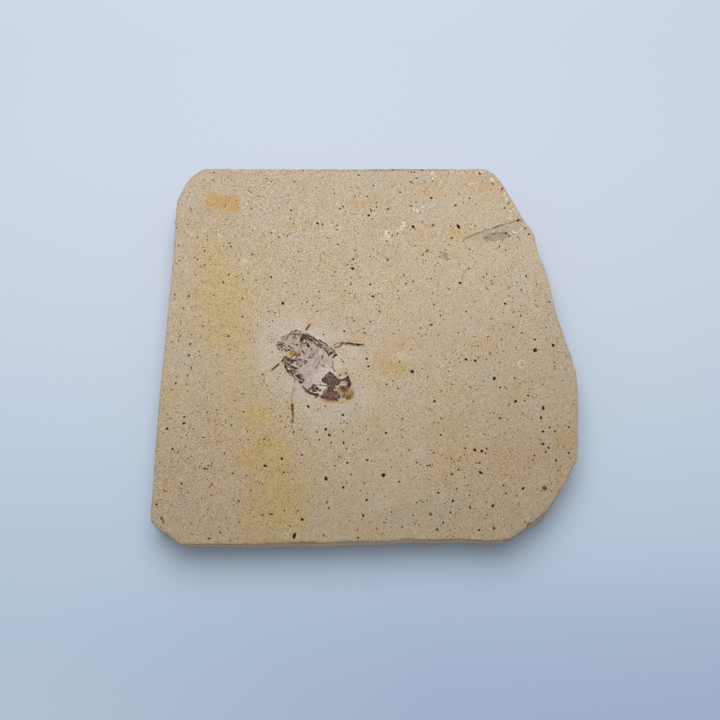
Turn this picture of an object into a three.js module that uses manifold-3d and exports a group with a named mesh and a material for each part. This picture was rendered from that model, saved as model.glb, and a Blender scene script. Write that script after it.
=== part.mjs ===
// Fossil insect in its matrix: a thin split plate of laminated limestone that
// lies flat, with a flattened oval insect in low relief on the upper bedding
// face. The stone and the fossil formed as one piece, so the part is one solid.
// Millimetres, +Z up. Origin: centre of the footprint, on the flat underside.

import * as THREE from 'three';
import { mergeVertices } from 'three/addons/utils/BufferGeometryUtils.js';
import Module from 'manifold-3d';

const wasm = await Module();
wasm.setup();

// ---- driving dimensions -------------------------------------------------
const SLAB_T = 8.0;            // underside to upper bedding face
const BODY_RISE = 0.34;        // fossil body above the bedding face
const BODY_SLOPE = 1.5;        // width of the sloping margin of the body
const LEG_R = 0.3;             // half width of a leg ridge
const SCRATCH_DEPTH = 0.28;
const SCRATCH_WIDTH = 0.7;
const LEVELS = 5;              // bedding steps up the sides
const STONE = 0xbba98a;        // pale tan limestone

// Plan outline of the upper face, anticlockwise seen from above: x, y, and how
// far the foot of the edge stands out beyond the top there.
const OUTLINE = [
  [-42.46, -49.10, -0.30], [-36.20, -49.10, -0.30], [-30.12, -49.12, -0.12], [-22.90, -48.95, 0.06],
  [-15.68, -48.79, 0.10], [-10.38, -48.90, 0.01], [-6.47, -48.55, 0.01], [-1.46, -48.43, 0.02],
  [3.44, -48.43, 0.01], [8.04, -47.94, 0.02], [14.05, -48.10, 0.10], [20.48, -47.90, 0.08],
  [26.34, -48.30, 0.05], [31.64, -47.97, 0.03], [32.12, -47.63, 0.04], [33.75, -46.70, 0.06],
  [35.25, -45.80, 0.15], [36.49, -44.65, 0.45], [39.41, -42.57, 1.10], [40.63, -41.64, 1.05],
  [42.75, -38.84, 0.80], [44.59, -36.25, 0.55], [45.95, -34.34, 0.30], [47.01, -32.23, 0.22],
  [48.65, -29.51, 0.16], [49.05, -27.07, 0.12], [49.38, -22.75, 0.10], [49.99, -17.74, 0.06],
  [50.34, -12.97, 0.04], [50.31, -8.18, 0.04], [49.67, -4.84, 0.08], [49.45, -3.70, 0.08],
  [48.07, 1.99, 0.10], [46.90, 7.08, 0.08], [46.20, 11.09, 0.10], [45.88, 14.46, 0.12],
  [45.43, 17.17, 0.10], [44.55, 20.49, 0.08], [43.64, 23.46, 0.10], [43.17, 26.50, 0.12],
  [42.89, 29.06, 0.10], [42.11, 31.12, 0.08], [40.65, 33.21, 0.10], [40.04, 34.56, 0.12],
  [38.79, 37.42, 0.10], [37.18, 40.88, 0.10], [35.92, 43.55, 0.12], [34.87, 45.46, 0.12],
  [33.55, 47.35, 0.10], [31.74, 48.72, 0.08], [29.85, 49.12, 0.04], [20.00, 49.02, 0.05],
  [8.00, 49.10, 0.03], [-4.00, 49.00, 0.05], [-16.00, 49.12, 0.03], [-28.00, 49.02, 0.05],
  [-38.00, 49.10, 0.03], [-43.19, 49.00, 0.06], [-45.32, 47.93, 0.10], [-47.07, 46.34, 0.12],
  [-48.49, 43.58, 0.12], [-49.82, 39.89, 0.08], [-50.10, 38.10, 0.05], [-50.13, 33.27, 0.05],
  [-49.95, 27.36, 0.07], [-49.87, 19.26, 0.08], [-50.02, 11.09, 0.06], [-50.06, 3.66, 0.06],
  [-50.12, -2.37, 0.05], [-50.21, -8.31, 0.05], [-50.34, -13.50, 0.04], [-50.28, -20.94, 0.05],
  [-50.27, -27.60, 0.05], [-50.13, -34.34, 0.08], [-50.12, -39.67, 0.10], [-49.92, -43.59, 0.50],
  [-48.49, -45.24, 0.50], [-47.18, -46.20, 0.35], [-45.91, -46.78, 0.25], [-44.71, -47.65, 0.22],
  [-43.16, -48.75, -0.05],
];

// Plan outline of the fossil body, clockwise from its left flank to the head.
const BODY = [
  [-21.17, -5.15], [-20.09, -7.26], [-18.75, -8.85], [-17.34, -10.37], [-15.79, -11.66],
  [-15.29, -12.70], [-13.80, -13.60], [-11.58, -14.25], [-10.11, -15.00], [-7.64, -15.25],
  [-5.01, -14.75], [-3.74, -13.48], [-3.92, -12.10], [-4.26, -10.90], [-5.00, -7.77],
  [-6.27, -5.15], [-7.75, -3.70], [-9.03, -2.24], [-10.79, -0.64], [-13.08, 0.96],
  [-15.37, 2.31], [-17.68, 2.86], [-19.63, 2.04], [-21.61, 0.70], [-22.56, -0.91],
  [-21.99, -2.50], [-20.94, -4.06],
];

// Centre lines of the four leg pieces, from the body outwards.
const LEGS = {
  fore_right: [[-15.90, 1.80], [-15.39, 2.92], [-14.41, 4.54]],
  hind_right: [[-9.40, -2.00], [-8.53, -1.43], [-7.29, -0.83], [-6.31, -0.51], [-4.83, -0.54],
    [-3.12, -0.72], [-1.03, -0.78]],
  fore_left: [[-20.70, -5.20], [-21.76, -5.95], [-23.48, -7.31]],
  hind_left: [[-17.20, -10.60], [-17.79, -11.66], [-18.36, -12.95], [-18.40, -15.75],
    [-18.23, -17.49], [-18.08, -20.55]],
};

// Tool scratch across the corner of the plate.
const SCRATCH = [[24.48, 28.02], [28.47, 29.84], [31.94, 31.12], [35.27, 32.43], [41.40, 34.30]];

// Small chips out of the arris: x, y, z, radius.
const CHIPS = [
  [36.00, -45.30, 8.15, 0.95], [38.30, -43.80, 8.30, 0.70], [-43.10, -49.45, 8.20, 0.75],
  [27.20, -48.95, 8.35, 0.70], [50.70, -15.40, 8.30, 0.80], [-50.75, 8.20, 8.35, 0.75],
  [42.95, 31.35, 8.20, 0.80], [-12.00, 49.75, 8.30, 0.90], [-50.85, -30.00, -0.20, 0.95],
  [18.00, 49.80, -0.25, 1.00], [49.20, 3.00, -0.20, 1.10], [-20.00, -49.75, -0.20, 0.90],
];

// ---- helpers --------------------------------------------------------------
// A closed three.js geometry as a manifold solid.
function solid(geometry) {
  const g = geometry.clone();
  g.deleteAttribute('normal');
  g.deleteAttribute('uv');
  const m = mergeVertices(g, 1e-4);
  return new wasm.Manifold(new wasm.Mesh({
    numProp: 3,
    vertProperties: new Float32Array(m.attributes.position.array),
    triVerts: new Uint32Array(m.index.array),
  }));
}

// A manifold solid as a three.js geometry.
function geometryOf(manifold) {
  const mesh = manifold.getMesh();
  const pos = new Float32Array(mesh.numVert * 3);
  for (let i = 0; i < mesh.numVert; i++) {
    for (let k = 0; k < 3; k++) pos[3 * i + k] = mesh.vertProperties[mesh.numProp * i + k];
  }
  const g = new THREE.BufferGeometry();
  g.setAttribute('position', new THREE.BufferAttribute(pos, 3));
  g.setIndex(new THREE.BufferAttribute(new Uint32Array(mesh.triVerts), 1));
  const flat = g.toNonIndexed();
  flat.computeVertexNormals();
  return flat;
}

const shapeOf = (points) => new THREE.Shape(points.map(([x, y]) => new THREE.Vector2(x, y)));

// ---- the stone plate --------------------------------------------------------
// Extruded from the plan outline, then each bedding step of the side walls is
// moved out towards its foot, with a small ledge on every other step.
function plate() {
  const g = new THREE.ExtrudeGeometry(shapeOf(OUTLINE), {
    depth: SLAB_T, steps: LEVELS, bevelEnabled: false,
  });
  const n = OUTLINE.length;
  const normals = OUTLINE.map((_, i) => {
    const a = OUTLINE[(i + n - 1) % n];
    const b = OUTLINE[(i + 1) % n];
    const t = new THREE.Vector2(b[0] - a[0], b[1] - a[1]).normalize();
    return new THREE.Vector2(t.y, -t.x);
  });
  const key = (x, y) => `${x.toFixed(3)},${y.toFixed(3)}`;
  const index = new Map(OUTLINE.map(([x, y], i) => [key(x, y), i]));
  const p = g.attributes.position;
  for (let v = 0; v < p.count; v++) {
    const i = index.get(key(p.getX(v), p.getY(v)));
    const z = p.getZ(v);
    const level = Math.round((z / SLAB_T) * LEVELS);
    const foot = OUTLINE[i][2] * (1 - z / SLAB_T);
    const inside = level > 0 && level < LEVELS;
    const ledge = inside ? 0.07 * Math.sin(2.3 * level + 0.9 * i) - 0.05 : 0;
    const out = foot + ledge;
    p.setXY(v, p.getX(v) + normals[i].x * out, p.getY(v) + normals[i].y * out);
  }
  return solid(g);
}

// ---- the fossil -------------------------------------------------------------
// A flattened body whose sloping margin rises from the bedding face.
function body() {
  const under = 1.0;
  const g = new THREE.ExtrudeGeometry(shapeOf(BODY), {
    depth: under, bevelEnabled: true, bevelThickness: BODY_RISE, bevelSize: BODY_SLOPE,
    bevelOffset: -BODY_SLOPE, bevelSegments: 4, steps: 1,
  });
  g.translate(0, 0, SLAB_T - under);
  return solid(g);
}

// A leg is a low ridge, half sunk in the stone, thinner towards its tip.
function leg(points) {
  const curve = new THREE.CatmullRomCurve3(
    points.map(([x, y], i) => new THREE.Vector3(x, y, SLAB_T - 0.08 * (i / (points.length - 1)))),
  );
  const section = new THREE.Shape();
  for (let k = 0; k < 8; k++) {
    const a = ((k + 0.5) / 8) * 2 * Math.PI;
    const x = Math.cos(a) * LEG_R * 0.85;
    const y = Math.sin(a) * LEG_R * 0.85;
    if (k === 0) section.moveTo(x, y); else section.lineTo(x, y);
  }
  return solid(new THREE.ExtrudeGeometry(section, {
    extrudePath: curve, steps: 4 * (points.length - 1), bevelEnabled: false,
  }));
}

// ---- marks cut into the stone -------------------------------------------------
function scratch() {
  const curve = new THREE.CatmullRomCurve3(
    SCRATCH.map(([x, y]) => new THREE.Vector3(x, y, SLAB_T)),
  );
  const section = new THREE.Shape();
  for (let k = 0; k < 6; k++) {
    const a = (k / 6) * 2 * Math.PI;
    const x = Math.cos(a) * SCRATCH_DEPTH;
    const y = Math.sin(a) * SCRATCH_WIDTH * 0.5;
    if (k === 0) section.moveTo(x, y); else section.lineTo(x, y);
  }
  return solid(new THREE.ExtrudeGeometry(section, {
    extrudePath: curve, steps: 12, bevelEnabled: false,
  }));
}

function chip([x, y, z, r], i) {
  const g = new THREE.IcosahedronGeometry(r, 0);
  g.rotateZ(0.7 * i);
  g.rotateX(0.5 + 0.3 * i);
  g.scale(1.35, 1.0, 0.75);
  g.translate(x, y, z);
  return solid(g);
}

// ---- one solid ------------------------------------------------------------------
let rock = plate();
rock = rock.add(body());
for (const points of Object.values(LEGS)) rock = rock.add(leg(points));
rock = rock.subtract(scratch());
CHIPS.forEach((c, i) => { rock = rock.subtract(chip(c, i)); });

const fossil_slab = new THREE.Mesh(
  geometryOf(rock),
  new THREE.MeshStandardMaterial({ color: STONE, roughness: 0.9, metalness: 0.0 }),
);
fossil_slab.name = 'fossil_slab';

const part = new THREE.Group();
part.name = 'fossil_insect';
part.add(fossil_slab);

export default part;
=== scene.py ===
import bpy, math
import numpy as np
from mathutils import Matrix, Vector
from mathutils.geometry import delaunay_2d_cdt


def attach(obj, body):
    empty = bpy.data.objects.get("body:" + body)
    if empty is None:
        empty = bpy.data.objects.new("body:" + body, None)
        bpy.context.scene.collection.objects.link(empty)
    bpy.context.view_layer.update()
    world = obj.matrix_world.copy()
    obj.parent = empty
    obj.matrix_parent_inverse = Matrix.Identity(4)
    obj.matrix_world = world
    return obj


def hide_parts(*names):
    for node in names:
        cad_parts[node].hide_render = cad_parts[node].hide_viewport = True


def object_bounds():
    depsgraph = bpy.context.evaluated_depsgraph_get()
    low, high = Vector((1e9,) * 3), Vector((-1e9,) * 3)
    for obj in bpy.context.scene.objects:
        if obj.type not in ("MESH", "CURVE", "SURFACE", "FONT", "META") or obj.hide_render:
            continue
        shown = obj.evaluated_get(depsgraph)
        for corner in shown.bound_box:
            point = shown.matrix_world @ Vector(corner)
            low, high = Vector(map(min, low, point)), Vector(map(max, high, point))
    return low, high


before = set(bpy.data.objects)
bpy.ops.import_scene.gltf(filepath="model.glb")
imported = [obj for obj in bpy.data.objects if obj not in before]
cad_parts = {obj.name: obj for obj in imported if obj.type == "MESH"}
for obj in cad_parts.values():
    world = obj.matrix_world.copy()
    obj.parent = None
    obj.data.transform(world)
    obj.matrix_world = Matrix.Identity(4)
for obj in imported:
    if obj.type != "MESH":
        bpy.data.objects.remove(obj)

cad_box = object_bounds()
MM = 0.001
T = 8.0          # height of the bedding face, mm

# ------------------------------------------------------------------ noise
def lattice(ix, iy, iz, seed):
    h = (ix * 374761393 + iy * 668265263 + iz * 1274126177 + seed * 974634777) & 0xFFFFFFFF
    h = ((h ^ (h >> 13)) * 1103515245 + 12345) & 0xFFFFFFFF
    h = ((h ^ (h >> 16)) * 2246822519) & 0xFFFFFFFF
    h = h ^ (h >> 15)
    return (h & 0xFFFFFF) / float(0xFFFFFF) * 2.0 - 1.0


def noise(x, y, z=None, seed=0):
    """Smooth value noise, about -1..1, one unit per lattice cell."""
    x = np.asarray(x, float)
    y = np.asarray(y, float)
    z = np.zeros_like(x) if z is None else np.asarray(z, float)
    x0, y0, z0 = np.floor(x), np.floor(y), np.floor(z)
    fx, fy, fz = x - x0, y - y0, z - z0
    ix, iy, iz = x0.astype(np.int64), y0.astype(np.int64), z0.astype(np.int64)
    ux, uy, uz = (f * f * f * (f * (f * 6 - 15) + 10) for f in (fx, fy, fz))
    def at(a, b, c):
        return lattice(ix + a, iy + b, iz + c, seed)
    lo = (at(0, 0, 0) * (1 - ux) + at(1, 0, 0) * ux) * (1 - uy) + (at(0, 1, 0) * (1 - ux) + at(1, 1, 0) * ux) * uy
    hi = (at(0, 0, 1) * (1 - ux) + at(1, 0, 1) * ux) * (1 - uy) + (at(0, 1, 1) * (1 - ux) + at(1, 1, 1) * ux) * uy
    return lo * (1 - uz) + hi * uz


def fbm(x, y, z=None, seed=0, octaves=4, gain=0.5):
    total, amp, norm = 0.0, 1.0, 0.0
    for k in range(octaves):
        s = 2.03 ** k
        total = total + amp * noise(np.asarray(x) * s + 17.3 * k, np.asarray(y) * s - 9.1 * k,
                                    None if z is None else np.asarray(z) * s + 5.7 * k, seed + 31 * k)
        norm += amp
        amp *= gain
    return total / norm


def smooth(a, b, x):
    t = np.clip((np.asarray(x, float) - a) / (b - a), 0, 1)
    return t * t * (3 - 2 * t)


def seg_dist(px, py, line):
    """Distance to a polyline, the position along it 0..1, and which side (+ left)."""
    line = np.asarray(line, float)
    best = np.full(px.shape, 1e9)
    along = np.zeros(px.shape)
    side = np.zeros(px.shape)
    seg = np.hypot(*(line[1:] - line[:-1]).T)
    total, run = seg.sum(), 0.0
    for a, b, l in zip(line[:-1], line[1:], seg):
        d = b - a
        t = np.clip(((px - a[0]) * d[0] + (py - a[1]) * d[1]) / (l * l), 0, 1)
        qx, qy = a[0] + d[0] * t, a[1] + d[1] * t
        dist = np.hypot(px - qx, py - qy)
        near = dist < best
        best = np.where(near, dist, best)
        along = np.where(near, (run + t * l) / total, along)
        side = np.where(near, np.sign(d[0] * (py - a[1]) - d[1] * (px - a[0])), side)
        run += l
    return best, along, side


def poly_sd(px, py, poly):
    """Signed distance to a closed polygon, negative inside."""
    poly = np.asarray(poly, float)
    d = np.full(px.shape, 1e9)
    inside = np.zeros(px.shape, bool)
    n = len(poly)
    for i in range(n):
        a, b = poly[i], poly[(i + 1) % n]
        e = b - a
        t = np.clip(((px - a[0]) * e[0] + (py - a[1]) * e[1]) / max(e @ e, 1e-12), 0, 1)
        d = np.minimum(d, np.hypot(px - a[0] - e[0] * t, py - a[1] - e[1] * t))
        crosses = (a[1] > py) != (b[1] > py)
        with np.errstate(divide="ignore", invalid="ignore"):
            xs = a[0] + (py - a[1]) / (b[1] - a[1]) * (b[0] - a[0])
        inside ^= crosses & (px < xs)
    return np.where(inside, -d, d)



# ------------------------------------------------------------------ outline
# x, y of the upper edge, anticlockwise from above, and how far the foot stands out.
OUTLINE = [
    (-42.46, -49.10, -0.30), (-36.20, -49.10, -0.30), (-30.12, -49.12, -0.12), (-22.90, -48.95, 0.06),
    (-15.68, -48.79, 0.10), (-10.38, -48.90, 0.01), (-6.47, -48.55, 0.01), (-1.46, -48.43, 0.02),
    (3.44, -48.43, 0.01), (8.04, -47.94, 0.02), (14.05, -48.10, 0.10), (20.48, -47.90, 0.08),
    (26.34, -48.30, 0.05), (31.64, -47.97, 0.03), (32.12, -47.63, 0.04), (33.75, -46.70, 0.06),
    (35.25, -45.80, 0.15), (36.49, -44.65, 0.45), (39.41, -42.57, 1.10), (40.63, -41.64, 1.05),
    (42.75, -38.84, 0.80), (44.59, -36.25, 0.55), (45.95, -34.34, 0.30), (47.01, -32.23, 0.22),
    (48.65, -29.51, 0.16), (49.05, -27.07, 0.12), (49.38, -22.75, 0.10), (49.99, -17.74, 0.06),
    (50.34, -12.97, 0.04), (50.31, -8.18, 0.04), (49.67, -4.84, 0.08), (49.45, -3.70, 0.08),
    (48.07, 1.99, 0.10), (46.90, 7.08, 0.08), (46.20, 11.09, 0.10), (45.88, 14.46, 0.12),
    (45.43, 17.17, 0.10), (44.55, 20.49, 0.08), (43.64, 23.46, 0.10), (43.17, 26.50, 0.12),
    (42.89, 29.06, 0.10), (42.11, 31.12, 0.08), (40.65, 33.21, 0.10), (40.04, 34.56, 0.12),
    (38.79, 37.42, 0.10), (37.18, 40.88, 0.10), (35.92, 43.55, 0.12), (34.87, 45.46, 0.12),
    (33.55, 47.35, 0.10), (31.74, 48.72, 0.08), (29.85, 49.12, 0.04), (20.00, 49.02, 0.05),
    (8.00, 49.10, 0.03), (-4.00, 49.00, 0.05), (-16.00, 49.12, 0.03), (-28.00, 49.02, 0.05),
    (-38.00, 49.10, 0.03), (-43.19, 49.00, 0.06), (-45.32, 47.93, 0.10), (-47.07, 46.34, 0.12),
    (-48.49, 43.58, 0.12), (-49.82, 39.89, 0.08), (-50.10, 38.10, 0.05), (-50.13, 33.27, 0.05),
    (-49.95, 27.36, 0.07), (-49.87, 19.26, 0.08), (-50.02, 11.09, 0.06), (-50.06, 3.66, 0.06),
    (-50.12, -2.37, 0.05), (-50.21, -8.31, 0.05), (-50.34, -13.50, 0.04), (-50.28, -20.94, 0.05),
    (-50.27, -27.60, 0.05), (-50.13, -34.34, 0.08), (-50.12, -39.67, 0.10), (-49.92, -43.59, 0.50),
    (-48.49, -45.24, 0.50), (-47.18, -46.20, 0.35), (-45.91, -46.78, 0.25), (-44.71, -47.65, 0.22),
    (-43.16, -48.75, -0.05),
]

STEP = 0.42     # spacing along the edge, mm


def resampled():
    p = np.array(OUTLINE)
    q = np.roll(p, -1, 0)
    length = np.hypot(*(q - p)[:, :2].T)
    total = length.sum()
    n = int(round(total / STEP))
    s = np.arange(n) * total / n
    start = np.concatenate([[0], np.cumsum(length)])
    out = []
    for v in s:
        i = min(int(np.searchsorted(start, v, "right")) - 1, len(p) - 1)
        t = (v - start[i]) / length[i]
        a, b, c, d = (p[(i + k) % len(p)] for k in (-1, 0, 1, 2))
        lin = b * (1 - t) + c * t
        # a little rounding at the joints of the outline
        cat = 0.5 * (2 * b + (c - a) * t + (2 * a - 5 * b + 4 * c - d) * t * t + (3 * b - a - 3 * c + d) * t ** 3)
        out.append(0.6 * lin + 0.4 * cat)
    out = np.array(out)
    tangent = np.roll(out[:, :2], -2, 0) - np.roll(out[:, :2], 2, 0)
    tangent /= np.hypot(*tangent.T)[:, None]
    normal = np.c_[tangent[:, 1], -tangent[:, 0]]
    return out[:, :2], out[:, 2], normal, s, total


LOOP, FOOT, NORMAL, ARC, PERIMETER = resampled()


# ------------------------------------------------------------------ the fossil in plan
# Body outline, mm.
BODY = [
    (-21.17, -5.15), (-20.09, -7.26), (-18.75, -8.85), (-17.34, -10.37), (-15.79, -11.66),
    (-15.29, -12.70), (-13.80, -13.60), (-11.58, -14.25), (-10.11, -15.00), (-7.64, -15.25),
    (-5.01, -14.75), (-3.74, -13.48), (-3.92, -12.10), (-4.26, -10.90), (-5.00, -7.77),
    (-6.27, -5.15), (-7.75, -3.70), (-9.03, -2.24), (-10.79, -0.64), (-13.08, 0.96),
    (-15.37, 2.31), (-17.68, 2.86), (-19.63, 2.04), (-21.61, 0.70), (-22.56, -0.91),
    (-21.99, -2.50), (-20.94, -4.06),
]

# Course of each leg, from the body outwards.
LEGS = {
    "fore_right": [(-15.90, 1.80), (-15.39, 2.92), (-14.41, 4.54)],
    "hind_right": [(-9.40, -2.00), (-8.53, -1.43), (-7.29, -0.83), (-6.31, -0.51), (-4.83, -0.54),
                   (-3.12, -0.72), (-1.03, -0.78)],
    "fore_left": [(-20.70, -5.20), (-21.76, -5.95), (-23.48, -7.31)],
    "hind_left": [(-17.20, -10.60), (-17.79, -11.66), (-18.36, -12.95), (-18.40, -15.75),
                  (-18.23, -17.49), (-18.08, -20.55)],
}

# Colours of the carbon film, iron stains and bleached matrix, and the white of painted highlights, as linear albedo.
TONE = {
    "lilac": (0.450, 0.370, 0.334), "whitelilac": (0.570, 0.492, 0.440), "greenwhite": (0.470, 0.415, 0.340),
    "cream": (0.600, 0.500, 0.390), "peach": (0.630, 0.460, 0.315), "taupe": (0.360, 0.284, 0.222),
    "olive": (0.300, 0.235, 0.138), "oliveline": (0.200, 0.155, 0.070), "tan": (0.410, 0.295, 0.170),
    "khaki": (0.255, 0.180, 0.095), "bronze": (0.105, 0.068, 0.030), "straw": (0.470, 0.355, 0.180),
    "ochre": (0.400, 0.255, 0.100), "orange": (0.400, 0.200, 0.058), "gold": (0.400, 0.235, 0.070),
    "golddark": (0.130, 0.078, 0.018), "film": (0.128, 0.076, 0.074), "filmred": (0.154, 0.079, 0.060),
    "greyfilm": (0.098, 0.078, 0.070), "redbrown": (0.080, 0.028, 0.018), "plum": (0.030, 0.016, 0.022),
    "black": (0.012, 0.007, 0.004), "dark": (0.036, 0.020, 0.010), "umber": (0.080, 0.047, 0.022),
    "darkgrey": (0.070, 0.055, 0.048), "grey": (0.170, 0.142, 0.125), "greybrown": (0.165, 0.112, 0.070),
    "violet": (0.085, 0.060, 0.066), "slate": (0.270, 0.250, 0.245), "rose": (0.215, 0.128, 0.108),
    "white": (0.660, 0.585, 0.515), "pinkwhite": (0.560, 0.425, 0.365), "pinkgrey": (0.290, 0.205, 0.180),
    "legbrown": (0.075, 0.046, 0.022), "legblack": (0.014, 0.008, 0.003), "legdark": (0.035, 0.021, 0.011),
    "scrape": (0.370, 0.325, 0.235), "crease": (0.170, 0.135, 0.080), "fleck": (0.800, 0.730, 0.635),
    "pale": (0.600, 0.540, 0.440), "orangestain": (0.540, 0.340, 0.120), "olivestain": (0.400, 0.320, 0.165),
    "rosestain": (0.400, 0.270, 0.210), "bloom": (0.200, 0.150, 0.125), "rust": (0.260, 0.130, 0.050), "amber": (0.580, 0.375, 0.135),
    "moss": (0.415, 0.362, 0.215),
}

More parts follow.
